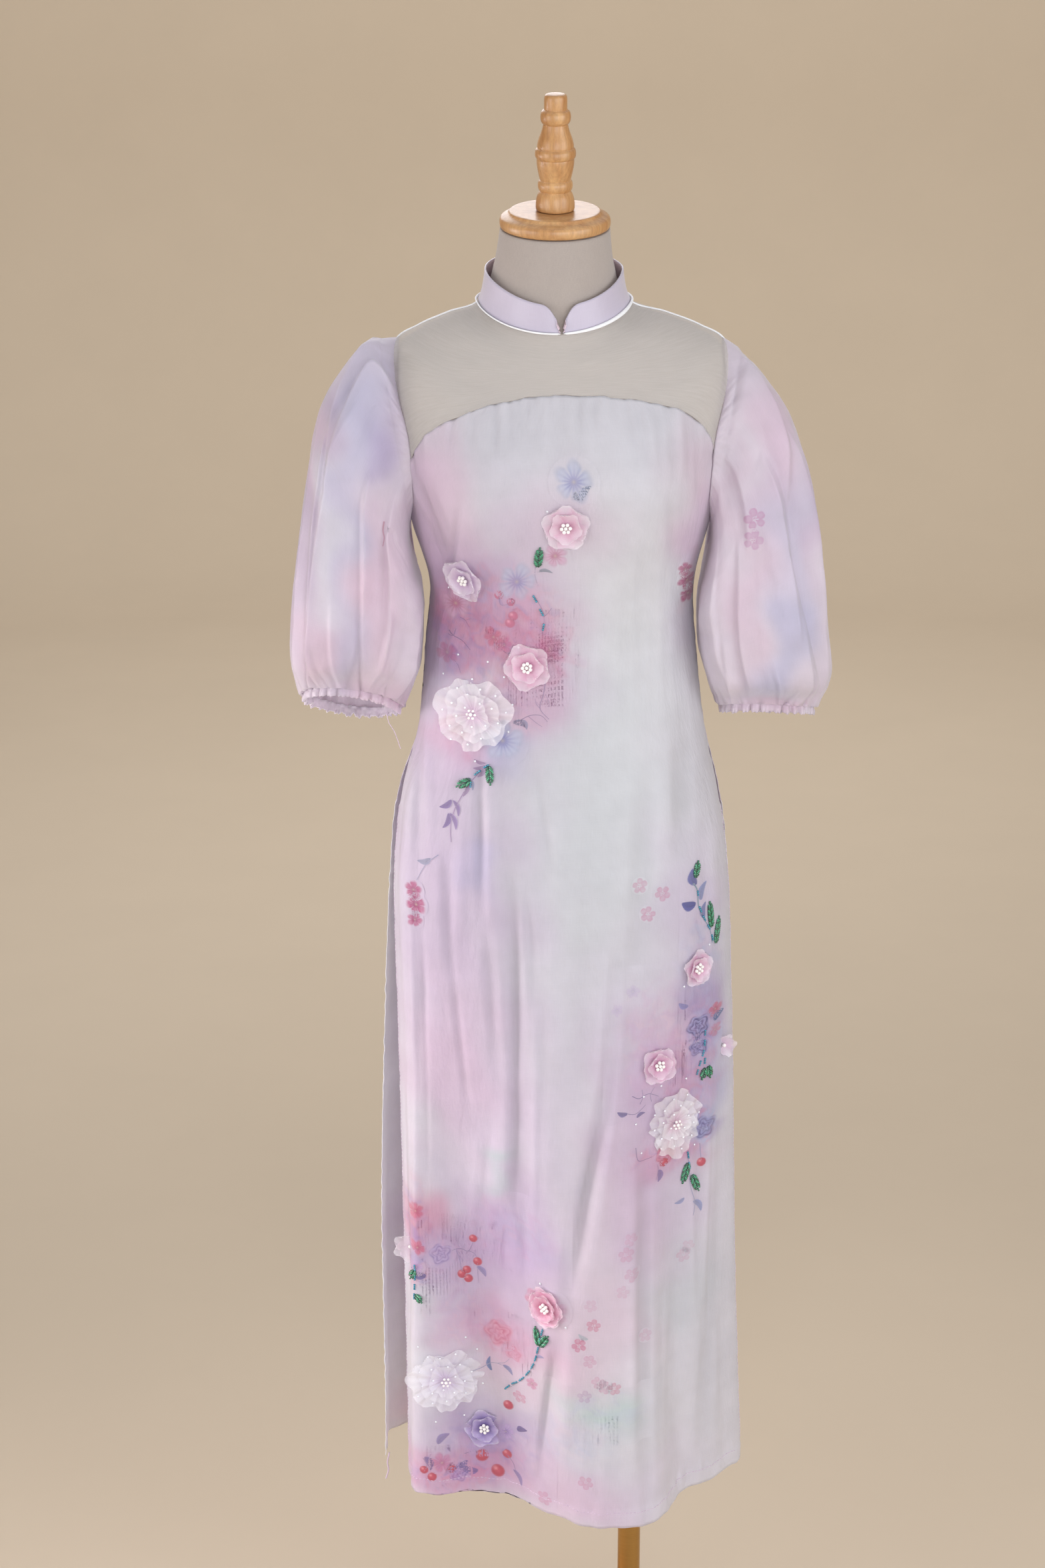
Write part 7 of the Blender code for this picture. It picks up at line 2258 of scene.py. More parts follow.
# Printed stems and twigs: their points, width, colour and strength.
PRINT_STEMS = [
    ([(-0.0260, 1.2850), (-0.0262, 1.2750), (-0.0225, 1.2640)], 0.0012, INK, 0.40),
    ([(-0.0280, 1.2570), (-0.0180, 1.2372), (-0.0190, 1.2170)], 0.0011, INK, 0.50),
    ([(-0.0180, 1.2340), (-0.0145, 1.2372), (-0.0103, 1.2430)], 0.0012, INK, 0.55),
    (
        [(-0.1101, 1.2127), (-0.1058, 1.2082), (-0.0969, 1.2045), (-0.0890, 1.1960)],
        0.0013, INK, 0.75,
    ),
    ([(-0.1110, 1.2085), (-0.1058, 1.2082), (-0.1030, 1.2160)], 0.0010, INK, 0.65),
    ([(-0.0990, 1.2275), (-0.0940, 1.2255), (-0.0900, 1.2190)], 0.0010, INK, 0.60),
    ([(-0.0960, 1.2275), (-0.0940, 1.2255), (-0.0880, 1.2280)], 0.0009, INK, 0.50),
    ([(-0.1060, 1.1850), (-0.1010, 1.1790), (-0.0990, 1.1720)], 0.0010, INK, 0.60),
    (
        [(-0.0640, 1.2030), (-0.0585, 1.1994), (-0.0516, 1.1955), (-0.0470, 1.2050)],
        0.0013, INK, 0.70,
    ),
    ([(-0.0520, 1.1950), (-0.0480, 1.1900), (-0.0470, 1.1850)], 0.0010, INK, 0.50),
    ([(-0.0609, 1.2550), (-0.0590, 1.2450), (-0.0500, 1.2470)], 0.0009, INK, 0.45),
    (
        [(-0.0153, 1.1726), (-0.0180, 1.1560), (-0.0212, 1.1421), (-0.0125, 1.1316)],
        0.0012, INK, 0.65,
    ),
    ([(-0.0160, 1.1560), (-0.0130, 1.1500), (-0.0120, 1.1440)], 0.0009, INK, 0.45),
    (
        [(-0.0420, 1.1290), (-0.0310, 1.1350), (-0.0204, 1.1351), (-0.0140, 1.1290)],
        0.0012, INK, 0.60,
    ),
    ([(-0.0330, 1.1345), (-0.0250, 1.1280), (-0.0190, 1.1240)], 0.0010, INK, 0.50),
    ([(-0.0212, 1.1421), (-0.0250, 1.1470), (-0.0260, 1.1520)], 0.0009, INK, 0.45),
    ([(-0.1218, 0.9890), (-0.1340, 0.9777), (-0.1445, 0.9582)], 0.0013, SLATE, 0.60),
    (
        [
            (-0.0723, 1.0828), (-0.0881, 1.0669), (-0.0994, 1.0486),
            (-0.1055, 1.0360), (-0.1095, 1.0196), (-0.1089, 1.0038),
        ],
        0.0016,
        PLUM,
        0.70,
    ),
    (
        [
            (0.1316, 0.9591), (0.1361, 0.9507), (0.1378, 0.9333),
            (0.1440, 0.9183), (0.1502, 0.9062), (0.1535, 0.8904),
        ],
        0.0018,
        TEAL_STEM,
        0.75,
    ),
    ([(0.0677, 0.7276), (0.0764, 0.7260), (0.0860, 0.7330)], 0.0011, INK, 0.70),
    ([(0.0720, 0.7450), (0.0791, 0.7412), (0.0890, 0.7440), (0.0993, 0.7393)], 0.0012, INK, 0.75),
    ([(0.0800, 0.7350), (0.0830, 0.7420), (0.0820, 0.7500)], 0.0010, INK, 0.65),
    ([(0.0920, 0.7350), (0.0910, 0.7430), (0.0950, 0.7500)], 0.0009, INK, 0.60),
    ([(0.0760, 0.6900), (0.0790, 0.6750), (0.0900, 0.6740), (0.0960, 0.6760)], 0.0011, INK, 0.65),
    ([(0.0960, 0.6710), (0.1000, 0.6600), (0.0980, 0.6480)], 0.0010, INK, 0.50),
    ([(0.1440, 0.6760), (0.1450, 0.6650), (0.1460, 0.6560)], 0.0010, SLATE, 0.65),
    (
        [(0.1310, 0.6701), (0.1334, 0.6493), (0.1350, 0.6300), (0.1400, 0.6100), (0.1383, 0.5960)],
        0.0013, SLATE, 0.65,
    ),
    (
        [(-0.1118, 0.5563), (-0.1030, 0.5590), (-0.0944, 0.5568), (-0.0890, 0.5690)],
        0.0012, INK, 0.60,
    ),
    ([(-0.0944, 0.5568), (-0.0880, 0.5540), (-0.0852, 0.5470)], 0.0010, INK, 0.60),
    ([(-0.1073, 0.5570), (-0.1040, 0.5470), (-0.1018, 0.5330)], 0.0011, INK, 0.60),
    ([(-0.0852, 0.5430), (-0.0850, 0.5330), (-0.0840, 0.5200)], 0.0010, INK, 0.45),
    (
        [
            (-0.0170, 0.4922), (-0.0213, 0.4692), (-0.0241, 0.4549),
            (-0.0298, 0.4377), (-0.0384, 0.4218), (-0.0500, 0.4059),
        ],
        0.0014,
        TEAL_STEM,
        0.65,
    ),
    (
        [(-0.0950, 0.4150), (-0.0819, 0.4200), (-0.0706, 0.4278), (-0.0586, 0.4284)],
        0.0013, SLATE, 0.65,
    ),
    ([(-0.0640, 0.4290), (-0.0560, 0.4330), (-0.0500, 0.4420)], 0.0011, SLATE, 0.50),
    ([(-0.0560, 0.3240), (-0.0480, 0.3150), (-0.0440, 0.3010)], 0.0012, INK, 0.60),
    ([(-0.1000, 0.3200), (-0.0900, 0.3230), (-0.0820, 0.3190)], 0.0011, INK, 0.55),
    ([(-0.1440, 0.3180), (-0.1400, 0.3090), (-0.1430, 0.3020)], 0.0010, INK, 0.55),
    ([(0.0120, 1.3560), (0.0150, 1.3500), (0.0165, 1.3440)], 0.0010, SLATE, 0.60),
]
# Printed berries: x, z, radius and colour.
PINK_BERRY = (0.90, 0.58, 0.70)
RED_BERRY = (0.87, 0.43, 0.50)
BERRIES = [
    (-0.0609, 1.2550, 0.0046, PINK_BERRY),
    (-0.0494, 1.2483, 0.0042, PINK_BERRY),
    (-0.0473, 1.2342, 0.0050, PINK_BERRY),
    (-0.0502, 1.2268, 0.0050, PINK_BERRY),
    (-0.0700, 1.2180, 0.0044, PINK_BERRY),
    (-0.0894, 0.5721, 0.0046, RED_BERRY),
    (-0.0849, 0.5456, 0.0050, RED_BERRY),
    (-0.1012, 0.5300, 0.0052, RED_BERRY),
    (-0.0946, 0.5250, 0.0050, RED_BERRY),
    (-0.0962, 0.5350, 0.0048, RED_BERRY),
    (-0.0530, 0.3828, 0.0056, RED_BERRY),
    (-0.0811, 0.3177, 0.0072, RED_BERRY),
    (-0.0545, 0.3238, 0.0054, RED_BERRY),
    (-0.0643, 0.3011, 0.0076, RED_BERRY),
    (-0.1135, 0.3038, 0.0048, RED_BERRY),
    (-0.1430, 0.3040, 0.0048, RED_BERRY),
    (-0.1345, 0.2960, 0.0052, RED_BERRY),
    (0.1460, 0.6541, 0.0052, RED_BERRY),
    (0.1060, 0.6650, 0.0050, RED_BERRY),
]
SLEEVE_STAMPS = [
    (0.1850, 1.3260, 0.0105, 35, (0.84, 0.64, 0.78), 0.80),
    (0.1835, 1.3060, 0.0100, 70, (0.84, 0.66, 0.80), 0.70),
]
SLEEVE_STREAK = (
    [(-0.1712, 1.3235), (-0.1722, 1.3150), (-0.1710, 1.3080), (-0.1724, 1.3000)],
    0.0022,
    (0.72, 0.36, 0.48),
    0.6,
)

BACK_FLOWERS = [
    (0.1050, 1.2350, 0.0170, 5, 10, PALE_PINK, 0.80),
    (0.0820, 1.2060, 0.0150, 5, 40, PALE_BLUE, 0.80),
    (-0.1080, 1.0400, 0.0170, 5, 20, LILAC_BLOOM, 0.80),
    (0.0840, 0.7300, 0.0140, 5, 0, PALE_BLUE, 0.75),
    (-0.0620, 0.4500, 0.0130, 5, 45, LILAC_BLOOM, 0.80),
    (0.0300, 0.3600, 0.0150, 5, 25, PALE_PINK, 0.80),
    (0.0700, 0.3350, 0.0120, 5, 5, PALE_BLUE, 0.75),
]
BACK_ROSES = [
    (0.1100, 0.7600, 0.0160, 30, (0.94, 0.68, 0.78), (0.80, 0.36, 0.50), 0.70),
    (-0.0900, 0.4900, 0.0170, 15, (0.80, 0.74, 0.92), (0.44, 0.36, 0.64), 0.72),
]
BACK_STAMPS = [
    (0.0200, 1.2700, 0.0078, 10, STAMP_PINK, 0.60),
    (0.0420, 1.2550, 0.0080, 45, STAMP_PINK, 0.60),
    (-0.0700, 0.8900, 0.0078, 20, STAMP_PINK, 0.55),
    (-0.0500, 0.8700, 0.0080, 60, STAMP_PINK, 0.60),
    (0.0100, 0.5600, 0.0078, 30, STAMP_PINK, 0.50),
    (0.0280, 0.5400, 0.0076, 5, STAMP_PINK, 0.55),
    (-0.0200, 0.3100, 0.0078, 50, STAMP_PINK, 0.55),
]
BACK_LEAVES = [
    (0.1000, 1.2150, -100, 0.022, 0.0085, SLATE, 0.75),
    (0.0720, 1.1920, 200, 0.018, 0.0070, PLUM, 0.65),
    (-0.1020, 1.0230, -70, 0.022, 0.0080, SLATE, 0.75),
    (0.1010, 0.7400, -110, 0.024, 0.0090, PLUM, 0.70),
    (-0.0820, 0.4700, -60, 0.022, 0.0085, SLATE, 0.75),
    (-0.0500, 0.4380, 10, 0.018, 0.0065, PLUM, 0.70),
    (0.0430, 0.3500, 30, 0.016, 0.0060, SLATE, 0.70),
]
BACK_STEMS = [
    ([(0.0950, 1.2250), (0.0800, 1.1900), (0.0850, 1.1500)], 0.0013, INK, 0.65),
    ([(-0.1050, 1.0300), (-0.0950, 0.9950), (-0.1000, 0.9600)], 0.0013, INK, 0.65),
    ([(-0.0850, 0.4800), (-0.0700, 0.4300), (-0.0750, 0.3850)], 0.0013, INK, 0.65),
]
BACK_BERRIES = [
    (0.0850, 1.1480, 0.0046, PINK_BERRY),
    (-0.1000, 0.9580, 0.0048, PINK_BERRY),
    (-0.0750, 0.3830, 0.0050, RED_BERRY),
    (-0.0680, 0.3760, 0.0050, RED_BERRY),
]


def print_all(on, fields, roses, flowers, stamps, leaves, stems, berries):
    """One panel's whole print, from the mottled fields up."""
    prints = Pile()
    for field in fields:
        print_field(prints, *on, *field[:4])
    for rose in roses:
        print_rose(prints, *on, *rose)
    for x, z, radius, petals, turn, colours, strength in flowers:
        print_flower(prints, *on, x, z, radius, petals, turn, *colours, strength)
    for stamp in stamps:
        print_stamp(prints, *on, *stamp)
    for leaf in leaves:
        print_leaf(prints, *on, *leaf)
    for stem in stems:
        print_stem(prints, *on, *stem)
    for berry in berries:
        print_dot(prints, *on, *berry)
    return prints


prints = print_all(
    ON_FRONT,
    FRONT_FIELDS,
    PRINT_ROSES,
    PRINT_FLOWERS,
    PRINT_STAMPS,
    PRINT_LEAVES,
    PRINT_STEMS,
    BERRIES,
)
front_print = prints.build("front_print", silk, "printed_silk", with_uv=True)
prints = print_all(
    ON_BACK,
    BACK_FIELDS,
    BACK_ROSES,
    BACK_FLOWERS,
    BACK_STAMPS,
    BACK_LEAVES,
    BACK_STEMS,
    BACK_BERRIES,
)
back_print = prints.build("back_print", silk, "printed_silk", with_uv=True)
prints = print_all(ON_LEFT_SLEEVE, [], [], [], SLEEVE_STAMPS, [], [], [])
left_sleeve_print = prints.build("sleeve_print_left", sleeve_silk, "sleeve_silk", with_uv=True)
prints = print_all(ON_RIGHT_SLEEVE, [], [], [], [], [], [SLEEVE_STREAK], [])
right_sleeve_print = prints.build("sleeve_print_right", sleeve_silk, "sleeve_silk", with_uv=True)

# Organza flowers: node, x, z, radius, petals, turn, middle and tip colours, pearls.
ORGANZA_FLOWERS = [
    ("flower_bust", 0.0027, 1.3243, 0.0240, 5, 20, (0.92, 0.72, 0.82), (0.96, 0.89, 0.94), 7),
    ("flower_underbust", -0.0941, 1.2684, 0.0245, 5, 0, (0.86, 0.74, 0.88), (0.94, 0.89, 0.95), 7),
    ("flower_waist", -0.0338, 1.1829, 0.0245, 5, 40, (0.91, 0.68, 0.80), (0.96, 0.87, 0.93), 8),
    (
        "flower_thigh_upper", 0.1370, 0.8698, 0.0200, 5, 15,
        (0.89, 0.64, 0.78), (0.95, 0.87, 0.93),
        7,
    ),
    (
        "flower_thigh_lower", 0.0988, 0.7732, 0.0215, 4, 50,
        (0.88, 0.64, 0.78), (0.95, 0.86, 0.93),
        7,
    ),
    ("flower_hem_peony", -0.0138, 0.5170, 0.0240, 7, 5, (0.86, 0.50, 0.64), (0.95, 0.78, 0.87), 7),
    (
        "flower_hem_violet", -0.0785, 0.3501, 0.0225, 5, 30,
        (0.54, 0.46, 0.72), (0.80, 0.73, 0.91),
        7,
    ),
]
pearls = Pile()
for i, (name, x, z, radius, petals, turn, middle, tip, pearl_count) in enumerate(ORGANZA_FLOWERS):
    pile = Pile()
    place = front_face.frame(x, z)
    for ring, share, lift, cup in ((0, 1.0, 0.0030, 0.0022), (1, 0.68, 0.0052, 0.0030)):
        for one in range(petals):
            way = math.radians(turn) + 2 * math.pi * (one + 0.5 * ring) / petals
            way += rng.uniform(-0.08, 0.08)
            length = radius * share * rng.uniform(0.95, 1.04)
            half_width = radius * share * 0.70
            shape = (length, half_width, lift * rng.uniform(0.85, 1.2), cup, PETAL_CURL)
            petal(pile, place, way, *shape, (middle, tip), i * 9 + one)
    made = pile.build("organza_" + name, organza, "organza")
    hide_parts(name)
    for one in range(pearl_count):
        reach = 0.0 if one == 0 else 0.0041 * (1 + 0.08 * rng.uniform(-1, 1))
        way = 2 * math.pi * one / (pearl_count - 1) + turn
        ball(pearls, beside(place, way, reach, 0.0042), PEARL_RADIUS, PEARL_COLOUR)

# Loose clear petals at the slits' edges: x, z, length, their turns, middle and tip colours.
EDGE_PETALS = [
    (-0.1560, 0.5530, 0.0190, (150, 205, 262), (0.93, 0.86, 0.91), (0.95, 0.92, 0.95)),
    (0.1690, 0.7740, 0.0140, (12, 60, 300), (0.92, 0.80, 0.90), (0.95, 0.90, 0.95)),
]
pile = Pile()
for i, (x, z, length, turns, middle, tip) in enumerate(EDGE_PETALS):
    spot = front_face.frame(x, z)[0] + np.array([0, -0.003, 0])
    place = (spot, np.array([1.0, 0, 0]), np.array([0, 0, 1.0]), np.array([0, -1.0, 0]))
    shape = (length, length * 0.5, 0.0040, 0.0024, PETAL_CURL)
    for one, turn in enumerate(turns):
        petal(pile, place, math.radians(turn), *shape, (middle, tip), i + one)
    ball(pearls, place[0] + place[3] * 0.0036, 0.0021, PEARL_COLOUR)
pile.build("organza_edge_petals", organza, "organza")

# Tulle rosettes: node, x, z, radius, petals, turn, middle and rim colours.
ROSETTES = [
    ("rosette_waist", -0.0860, 1.1330, 0.0400, 7, 10, (0.93, 0.84, 0.92), (0.96, 0.95, 0.97)),
    ("rosette_thigh", 0.1160, 0.7060, 0.0355, 7, 25, (0.94, 0.82, 0.89), (0.96, 0.95, 0.97)),
    ("rosette_hem", -0.1200, 0.4080, 0.0380, 7, 15, (0.90, 0.84, 0.94), (0.96, 0.95, 0.98)),
]


def tulle_ring(pile, place, radius, petals, turn, lift, colours, seed):
    """A ruffled ring of tulle gathered at its middle."""
    centre, across, up, out = place
    rings, spokes = 12, 112
    share = np.linspace(0.06, 1, rings + 1)[:, None]
    around = np.linspace(0, 2 * math.pi, spokes, endpoint=False)[None, :]
    lobe = 0.5 + 0.5 * np.cos((around - math.radians(turn)) * petals)
    rim = 1 - 0.13 * (1 - lobe) ** 1.5 + 0.02 * np.sin(around * 13 + seed)
    oval = 1 + 0.10 * np.cos(2 * around + seed) + 0.05 * np.sin(3 * around + 2 * seed)
    reach = radius * share * oval * (1 - share**2 + share**2 * rim)
    swing = around * petals * 2 + 0.8 * np.sin(around * 3 + seed)
    ruffle = 0.0015 * np.sin(swing + seed) + 0.0009 * np.sin(swing * 1.5 + 2 * seed)
    height = 0.0008 + lift * share**1.1 + ruffle * share**1.5
    points = (
        centre
        + across * (reach * np.cos(around))[..., None]
        + up * (reach * np.sin(around))[..., None]
        + out * height[..., None]
    )
    blend = soft_step(share + 0.06 * np.sin(around * 5 + seed), 0.1, 0.9)[..., None]
    colour = linear(colours[0]) + (linear(colours[1]) - linear(colours[0])) * blend
    # Painted shade and light in bands round the gathered middle, for the pleats' folds, strongest
    # near the middle.
    painted_pleat_shade = 1 - 0.10 * np.cos(around * petals * 4 + seed) * (1 - share)
    colour = colour * painted_pleat_shade[..., None]
    pile.add(points, grid_faces(rings, spokes, closed=True), colour.reshape(-1, 3))


stones = Pile()
for i, (name, x, z, radius, petals, turn, middle, rim) in enumerate(ROSETTES):
    pile = Pile()
    place = front_face.frame(x, z)
    for ring, (share, lift) in enumerate(((1.0, 0.0022), (0.76, 0.0036), (0.50, 0.0052))):
        shape = (radius * share, petals - ring, turn + 20 * ring, lift)
        tulle_ring(pile, place, *shape, (middle, rim), i * 3 + ring)
    made = pile.build("tulle_" + name, tulle, "organza")
    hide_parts(name)
    for one in range(STONES_IN_ROSETTE):
        reach = radius * 0.92 * math.sqrt((one + 0.4) / STONES_IN_ROSETTE)
        lift = 0.0008 + 0.0056 * (1 - reach / radius) + 0.0014
        cut_stone(stones, beside(place, one * GOLDEN_ANGLE + i, reach, lift), *place[1:])
    for one in range(PEARLS_IN_ROSETTE):
        way = 2 * math.pi * one / PEARLS_IN_ROSETTE + i
        ball(pearls, beside(place, way, 0.0042, 0.0068), SMALL_PEARL_RADIUS, PEARL_COLOUR)
    ball(pearls, beside(place, 0.0, 0.0, 0.0074), 0.0018, PEARL_COLOUR)

# Loose stones scattered on the print: x and z.
LOOSE_STONES = [
    (-0.1010, 1.1900), (-0.0720, 1.1860), (-0.0560, 1.1720), (-0.1160, 1.1680), (-0.0480, 1.1450),
    (-0.0520, 1.1180), (-0.0850, 1.0860), (-0.0420, 1.2020), (0.0840, 0.7420), (0.0760, 0.7150),
    (0.1020, 0.7500), (0.1280, 0.7520), (0.0820, 0.6820), (0.1380, 0.6760), (-0.0860, 0.4420),
    (-0.1480, 0.4460), (-0.0800, 0.4020), (-0.1000, 0.3650), (-0.1300, 0.3600), (-0.0980, 0.4560),
    (-0.0200, 0.5420), (0.0060, 0.5010), (0.0180, 1.3120), (-0.0150, 1.3400), (-0.1100, 1.2550),
    (0.1500, 0.8900), (0.1240, 0.8530),
]
for x, z in LOOSE_STONES:
    place = front_face.frame(x, z)
    cut_stone(stones, beside(place, 0.0, 0.0, 0.0004), *place[1:])

# Leaves of tube beads: x, z, angle and length.
GREEN_BEAD_LEAVES = [
    (-0.0241, 1.2846, 83, 0.0210),
    (-0.0710, 1.0833, -82, 0.0190),
    (-0.0888, 1.0676, 207, 0.0160),
    (0.1337, 0.9639, 72, 0.0170),
    (0.1520, 0.9070, 98, 0.0300),
    (0.1565, 0.8880, 76, 0.0300),
    (0.1515, 0.7600, -80, 0.0130),
    (0.1480, 0.7590, -110, 0.0120),
    (0.1321, 0.6576, 255, 0.0240),
    (0.1359, 0.6430, -66, 0.0220),
    (-0.0213, 0.4692, 100, 0.0220),
    (-0.0205, 0.4692, 52, 0.0200),
    (-0.1500, 0.5340, 240, 0.0120),
    (-0.1500, 0.5060, -40, 0.0100),
]
GREEN = (0.17, 0.45, 0.33)
TEAL = (0.22, 0.56, 0.66)
# Runs of teal tube beads: where each starts and ends.
TEAL_BEAD_RUNS = [
    ((-0.0283, 1.2563), (-0.0244, 1.2490)),
    ((-0.0218, 1.2425), (-0.0182, 1.2352)),
    ((-0.0175, 1.2275), (-0.0188, 1.2200)),
    ((-0.0710, 1.0842), (-0.0760, 1.0805)),
    ((-0.0790, 1.0775), (-0.0860, 1.0723)),
    ((-0.0890, 1.0660), (-0.0895, 1.0600)),
    ((0.1361, 0.9507), (0.1366, 0.9450)),
    ((0.1380, 0.9340), (0.1405, 0.9270)),
    ((0.1420, 0.9230), (0.1450, 0.9165)),
    ((0.1475, 0.9115), (0.1502, 0.9062)),
    ((0.1520, 0.9000), (0.1535, 0.8930)),
    ((0.1470, 0.8004), (0.1468, 0.7940)),
    ((0.1467, 0.7900), (0.1465, 0.7830)),
    ((0.1462, 0.7790), (0.1445, 0.7720)),
    ((0.1432, 0.7680), (0.1414, 0.7620)),
    ((0.1405, 0.7590), (0.1390, 0.7530)),
    ((0.1476, 0.7700), (0.1470, 0.7630)),
    ((0.1310, 0.6701), (0.1322, 0.6620)),
    ((0.1326, 0.6580), (0.1336, 0.6500)),
    ((-0.0172, 0.4905), (-0.0187, 0.4830)),
    ((-0.0192, 0.4800), (-0.0205, 0.4730)),
    ((-0.0215, 0.4680), (-0.0230, 0.4600)),
    ((-0.0235, 0.4570), (-0.0252, 0.4500)),
    ((-0.0262, 0.4465), (-0.0290, 0.4395)),
    ((-0.0305, 0.4360), (-0.0345, 0.4290)),
    ((-0.0365, 0.4255), (-0.0412, 0.4190)),
    ((-0.0435, 0.4160), (-0.0490, 0.4100)),
    ((-0.0515, 0.4070), (-0.0565, 0.4010)),
    ((-0.1505, 0.5400), (-0.1500, 0.5330)),
    ((-0.1500, 0.5290), (-0.1502, 0.5220)),
    ((-0.1505, 0.5180), (-0.1508, 0.5110)),
    ((-0.1510, 0.5070), (-0.1512, 0.5000)),
]
BEADS_IN_RUN = 3
BEAD_SPACE = 0.0003

green = Pile()
for leaf in GREEN_BEAD_LEAVES:
    bead_leaf(green, front_face, *leaf, GREEN)
teal = Pile()
for ends in TEAL_BEAD_RUNS:
    x, z = np.linspace(*ends, BEADS_IN_RUN + 1).T
    places, outs, _ = front_face.at(x, z)
    places = places + outs * BEAD_LIFT
    for start, end in zip(places, places[1:]):
        trim = (end - start) / np.linalg.norm(end - start) * BEAD_SPACE
        bugle(teal, start + trim, end - trim, BUGLE_RADIUS, TEAL)

for pile, name, finish in (
    (pearls, "pearls", pearl),
    (stones, "stones", crystal),
    (green, "green_beads", bead),
    (teal, "teal_beads", bead),
):
    pile.build(name, finish, "organza", smooth=finish is not crystal)

# --- stitches and loose threads -------------------------------------------------------------------


def along_route(run, values, place):
    """The values' row at a place along a route."""
    return np.array([np.interp(place, run, column) for column in values.T])


def stitches(pile, route, normals, gap, radius):
    """Short raised stitches along a route on the cloth."""
    step = np.linalg.norm(np.diff(route, axis=0), axis=-1)
    run = np.concatenate([[0], np.cumsum(step)])
    start = 0.0
    while start + STITCH_LENGTH < run[-1]:
        ends = [along_route(run, route, place) for place in (start, start + STITCH_LENGTH)]
        rise = along_route(run, normals, start) * radius * 0.4
        bugle(pile, ends[0] + rise, ends[1] + rise, radius, TINTS["white"])
        start += STITCH_LENGTH + gap


def panel_stitches(pile, grid):
    """The hem's and slits' stitches, found by their distance from the panel's edges."""
    from_side, from_top = run_along(grid)
    from_hem = from_top[-1:] - from_top
    normal = np.cross(np.gradient(grid, axis=0), np.gradient(grid, axis=1))
    normal /= np.linalg.norm(normal, axis=-1, keepdims=True)

    route, outs = [], []
    height = HEM_BAND - HEM_STITCH_INSET
    for column in range(6, grid.shape[1] - 6):
        place = np.interp(-height, -from_hem[:, column], np.arange(grid.shape[0]))
        row = int(place)
        part = place - row
        below = min(row + 1, len(grid) - 1)
        route.append(grid[row, column] * (1 - part) + grid[below, column] * part)
        outs.append(normal[row, column])
    stitches(pile, np.array(route), np.array(outs), HEM_STITCH_GAP, HEM_STITCH_RADIUS)
    slit_rows = np.where((grid[:, 0, 2] < SLIT_TOP) & (from_hem[:, 0] > HEM_BAND))[0]
    for first in (True, False):
        route, outs = [], []
        for row in slit_rows:
            distance = from_side[row] if first else from_side[row, -1] - from_side[row]
            order = np.arange(grid.shape[1]) if first else np.arange(grid.shape[1])[::-1]
            place = np.interp(SLIT_BAND - SLIT_STITCH_INSET, distance[order], np.arange(len(order)))
            low = int(place)
            part = place - low
            a, b = order[low], order[min(low + 1, len(order) - 1)]
            route.append(grid[row, a] * (1 - part) + grid[row, b] * part)
            outs.append(normal[row, a])
        stitches(pile, np.array(route), np.array(outs), SLIT_STITCH_GAP, SLIT_STITCH_RADIUS)


for name, grid in (("front_stitches", front_grid), ("back_stitches", back_grid)):
    pile = Pile()
    panel_stitches(pile, grid)
    pile.build(name, thread_finish, "printed_silk")

# Loose threads left at the right cuff and at the back panel's right corner.
LOOSE_THREADS = [
    [
        (-0.1732, -0.045, 1.1269), (-0.1712, -0.047, 1.1172),
        (-0.1655, -0.046, 1.1067), (-0.1599, -0.042, 1.0886),
    ],
    [
        (-0.1840, 0.006, 0.2800), (-0.1862, 0.005, 0.2690),
        (-0.1852, 0.004, 0.2600), (-0.1880, 0.003, 0.2500),
    ],
]
THREAD_RADII = (0.00035, 0.00080)
pile = Pile()
for route, radius in zip(LOOSE_THREADS, THREAD_RADII):
    steps = np.linspace(0, len(route) - 1, 25)
    points = np.stack([smooth(np.array(column), steps) for column in zip(*route)], axis=-1)
    for start, end in zip(points, points[1:]):
        bugle(pile, start, end, radius, TINTS["white"])
pile.build("loose_threads", thread_finish, "printed_silk")

# --- floor, lights and camera ---------------------------------------------------------------------

STUDIO_REACH = 7.5
STUDIO_BEND = 1.6
STUDIO_HEIGHT = 6.0

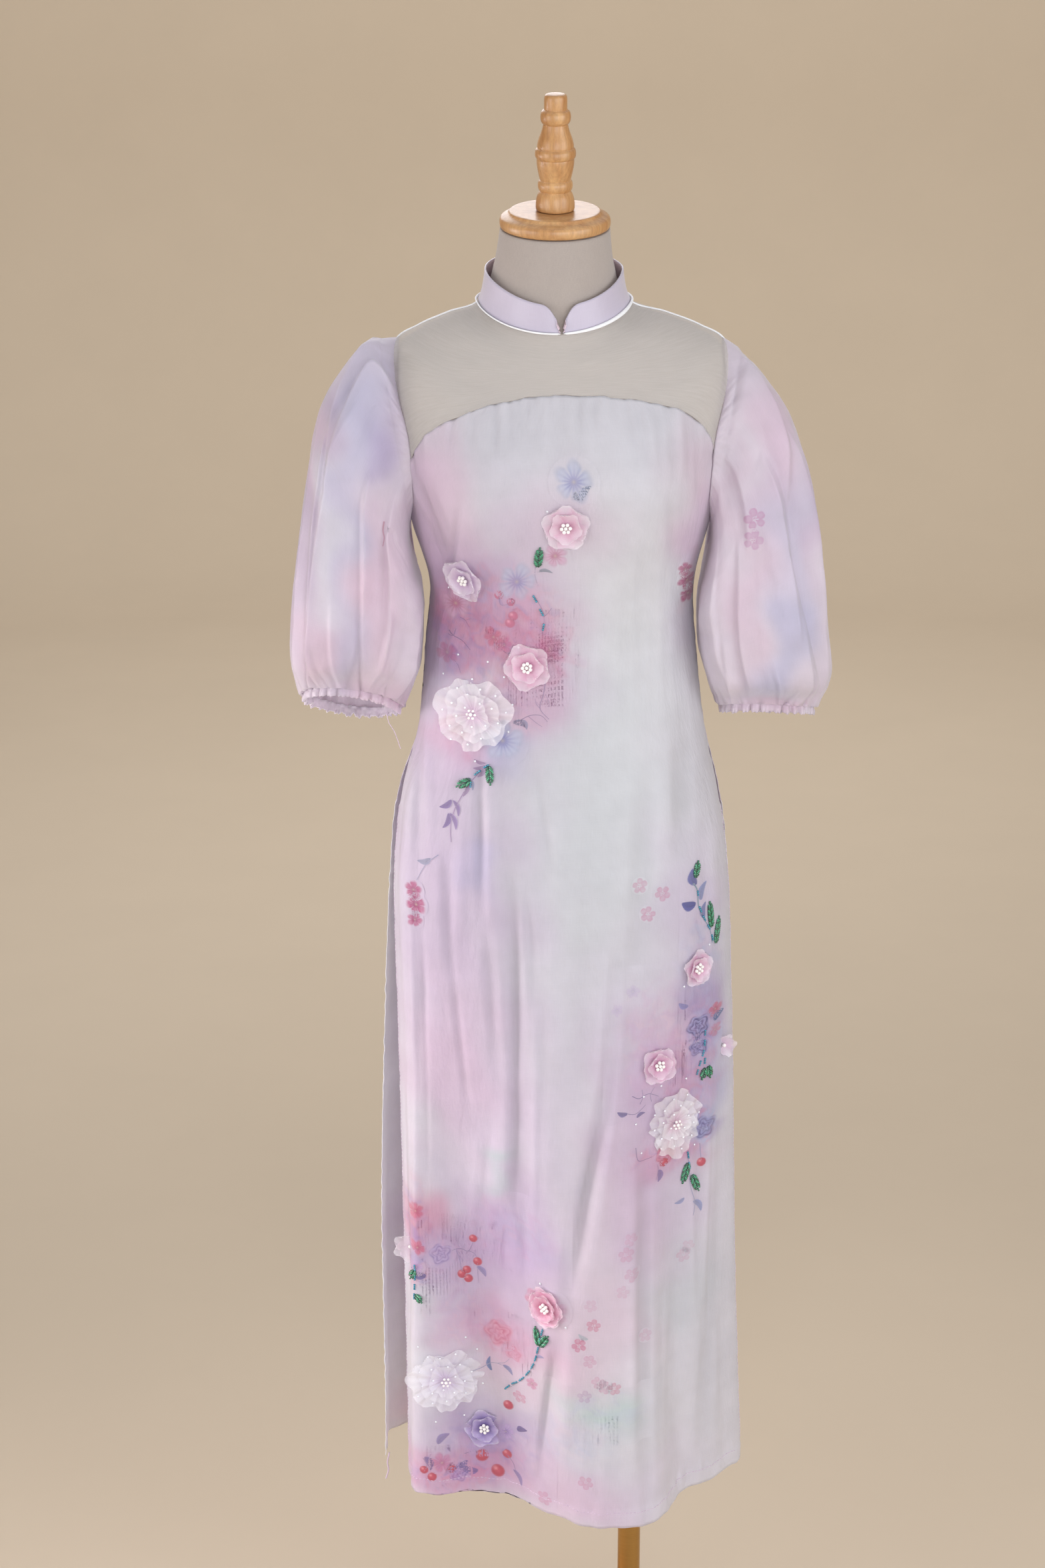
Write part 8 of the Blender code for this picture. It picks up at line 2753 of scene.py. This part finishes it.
bend = np.radians(np.linspace(0, 90, 13))
inner = STUDIO_REACH - STUDIO_BEND
profile = [(0.02, 0.0), (1.5, 0.0), (3.5, 0.0)]
profile += [(inner + STUDIO_BEND * math.sin(a), STUDIO_BEND * (1 - math.cos(a))) for a in bend]
profile += [(STUDIO_REACH, STUDIO_HEIGHT)]
around = np.linspace(0, 2 * math.pi, 96, endpoint=False)
sweep = np.array([[(r * math.cos(a), r * math.sin(a), z) for a in around] for r, z in profile])
floor_mesh = bpy.data.meshes.new("floor")
floor_faces = grid_faces(len(profile) - 1, 96, closed=True).tolist()
floor_mesh.from_pydata(sweep.reshape(-1, 3).tolist(), [], floor_faces)
floor_mesh.shade_smooth()
floor = bpy.data.objects.new("floor", floor_mesh)
bpy.context.scene.collection.objects.link(floor)
floor_mesh.materials.append(floor_finish)

world = bpy.data.worlds.new("studio")
bpy.context.scene.world = world
world.use_nodes = True
sky = world.node_tree.nodes["Background"]
sky.inputs["Color"].default_value = (*linear(WORLD_COLOUR), 1)
sky.inputs["Strength"].default_value = WORLD_STRENGTH


def area_light(name, place, aim, size, power, colour, spread=180):
    data = bpy.data.lights.new(name, "AREA")
    data.shape = "RECTANGLE"
    data.size, data.size_y = size
    data.energy = power
    data.spread = math.radians(spread)
    data.color = linear(colour)
    obj = bpy.data.objects.new(name, data)
    bpy.context.scene.collection.objects.link(obj)
    obj.location = place
    obj.rotation_euler = (Vector(aim) - Vector(place)).to_track_quat("-Z", "Y").to_euler()


area_light("front", (0.6, -3.8, 1.3), (0, 0, 0.75), (2.4, 2.0), 61, (0.95, 0.97, 1.0))
area_light("left", (-2.5, -1.9, 1.2), (-0.1, 0, 0.80), (1.6, 1.8), 16, (0.96, 0.975, 1.0), 120)
area_light("low_left", (-2.2, 0.1, 0.9), (-0.2, 0.05, 0.65), (0.8, 0.9), 5.5, (1.0, 0.96, 0.97), 60)
area_light("right", (2.5, -1.9, 1.5), (0, 0, 0.90), (1.8, 2.2), 21, (0.96, 0.975, 1.0), 120)
area_light("behind", (-0.6, 2.6, 2.9), (0, 0, 1.0), (2.0, 1.6), 30, (0.98, 0.98, 1.0))
area_light("wall", (0.2, 3.4, 3.6), (0.0, 7.0, 1.5), (3.0, 1.0), 84, (0.98, 0.985, 1.0))

camera_data = bpy.data.cameras.new("camera")
camera_data.lens = CAMERA_LENS
camera_data.sensor_width = CAMERA_FILM
camera = bpy.data.objects.new("camera", camera_data)
bpy.context.scene.collection.objects.link(camera)
camera.location = CAMERA_PLACE
camera.rotation_euler = (math.radians(90 - CAMERA_DIP), 0, 0)
bpy.context.scene.camera = camera
bpy.context.scene.view_settings.view_transform = "Standard"
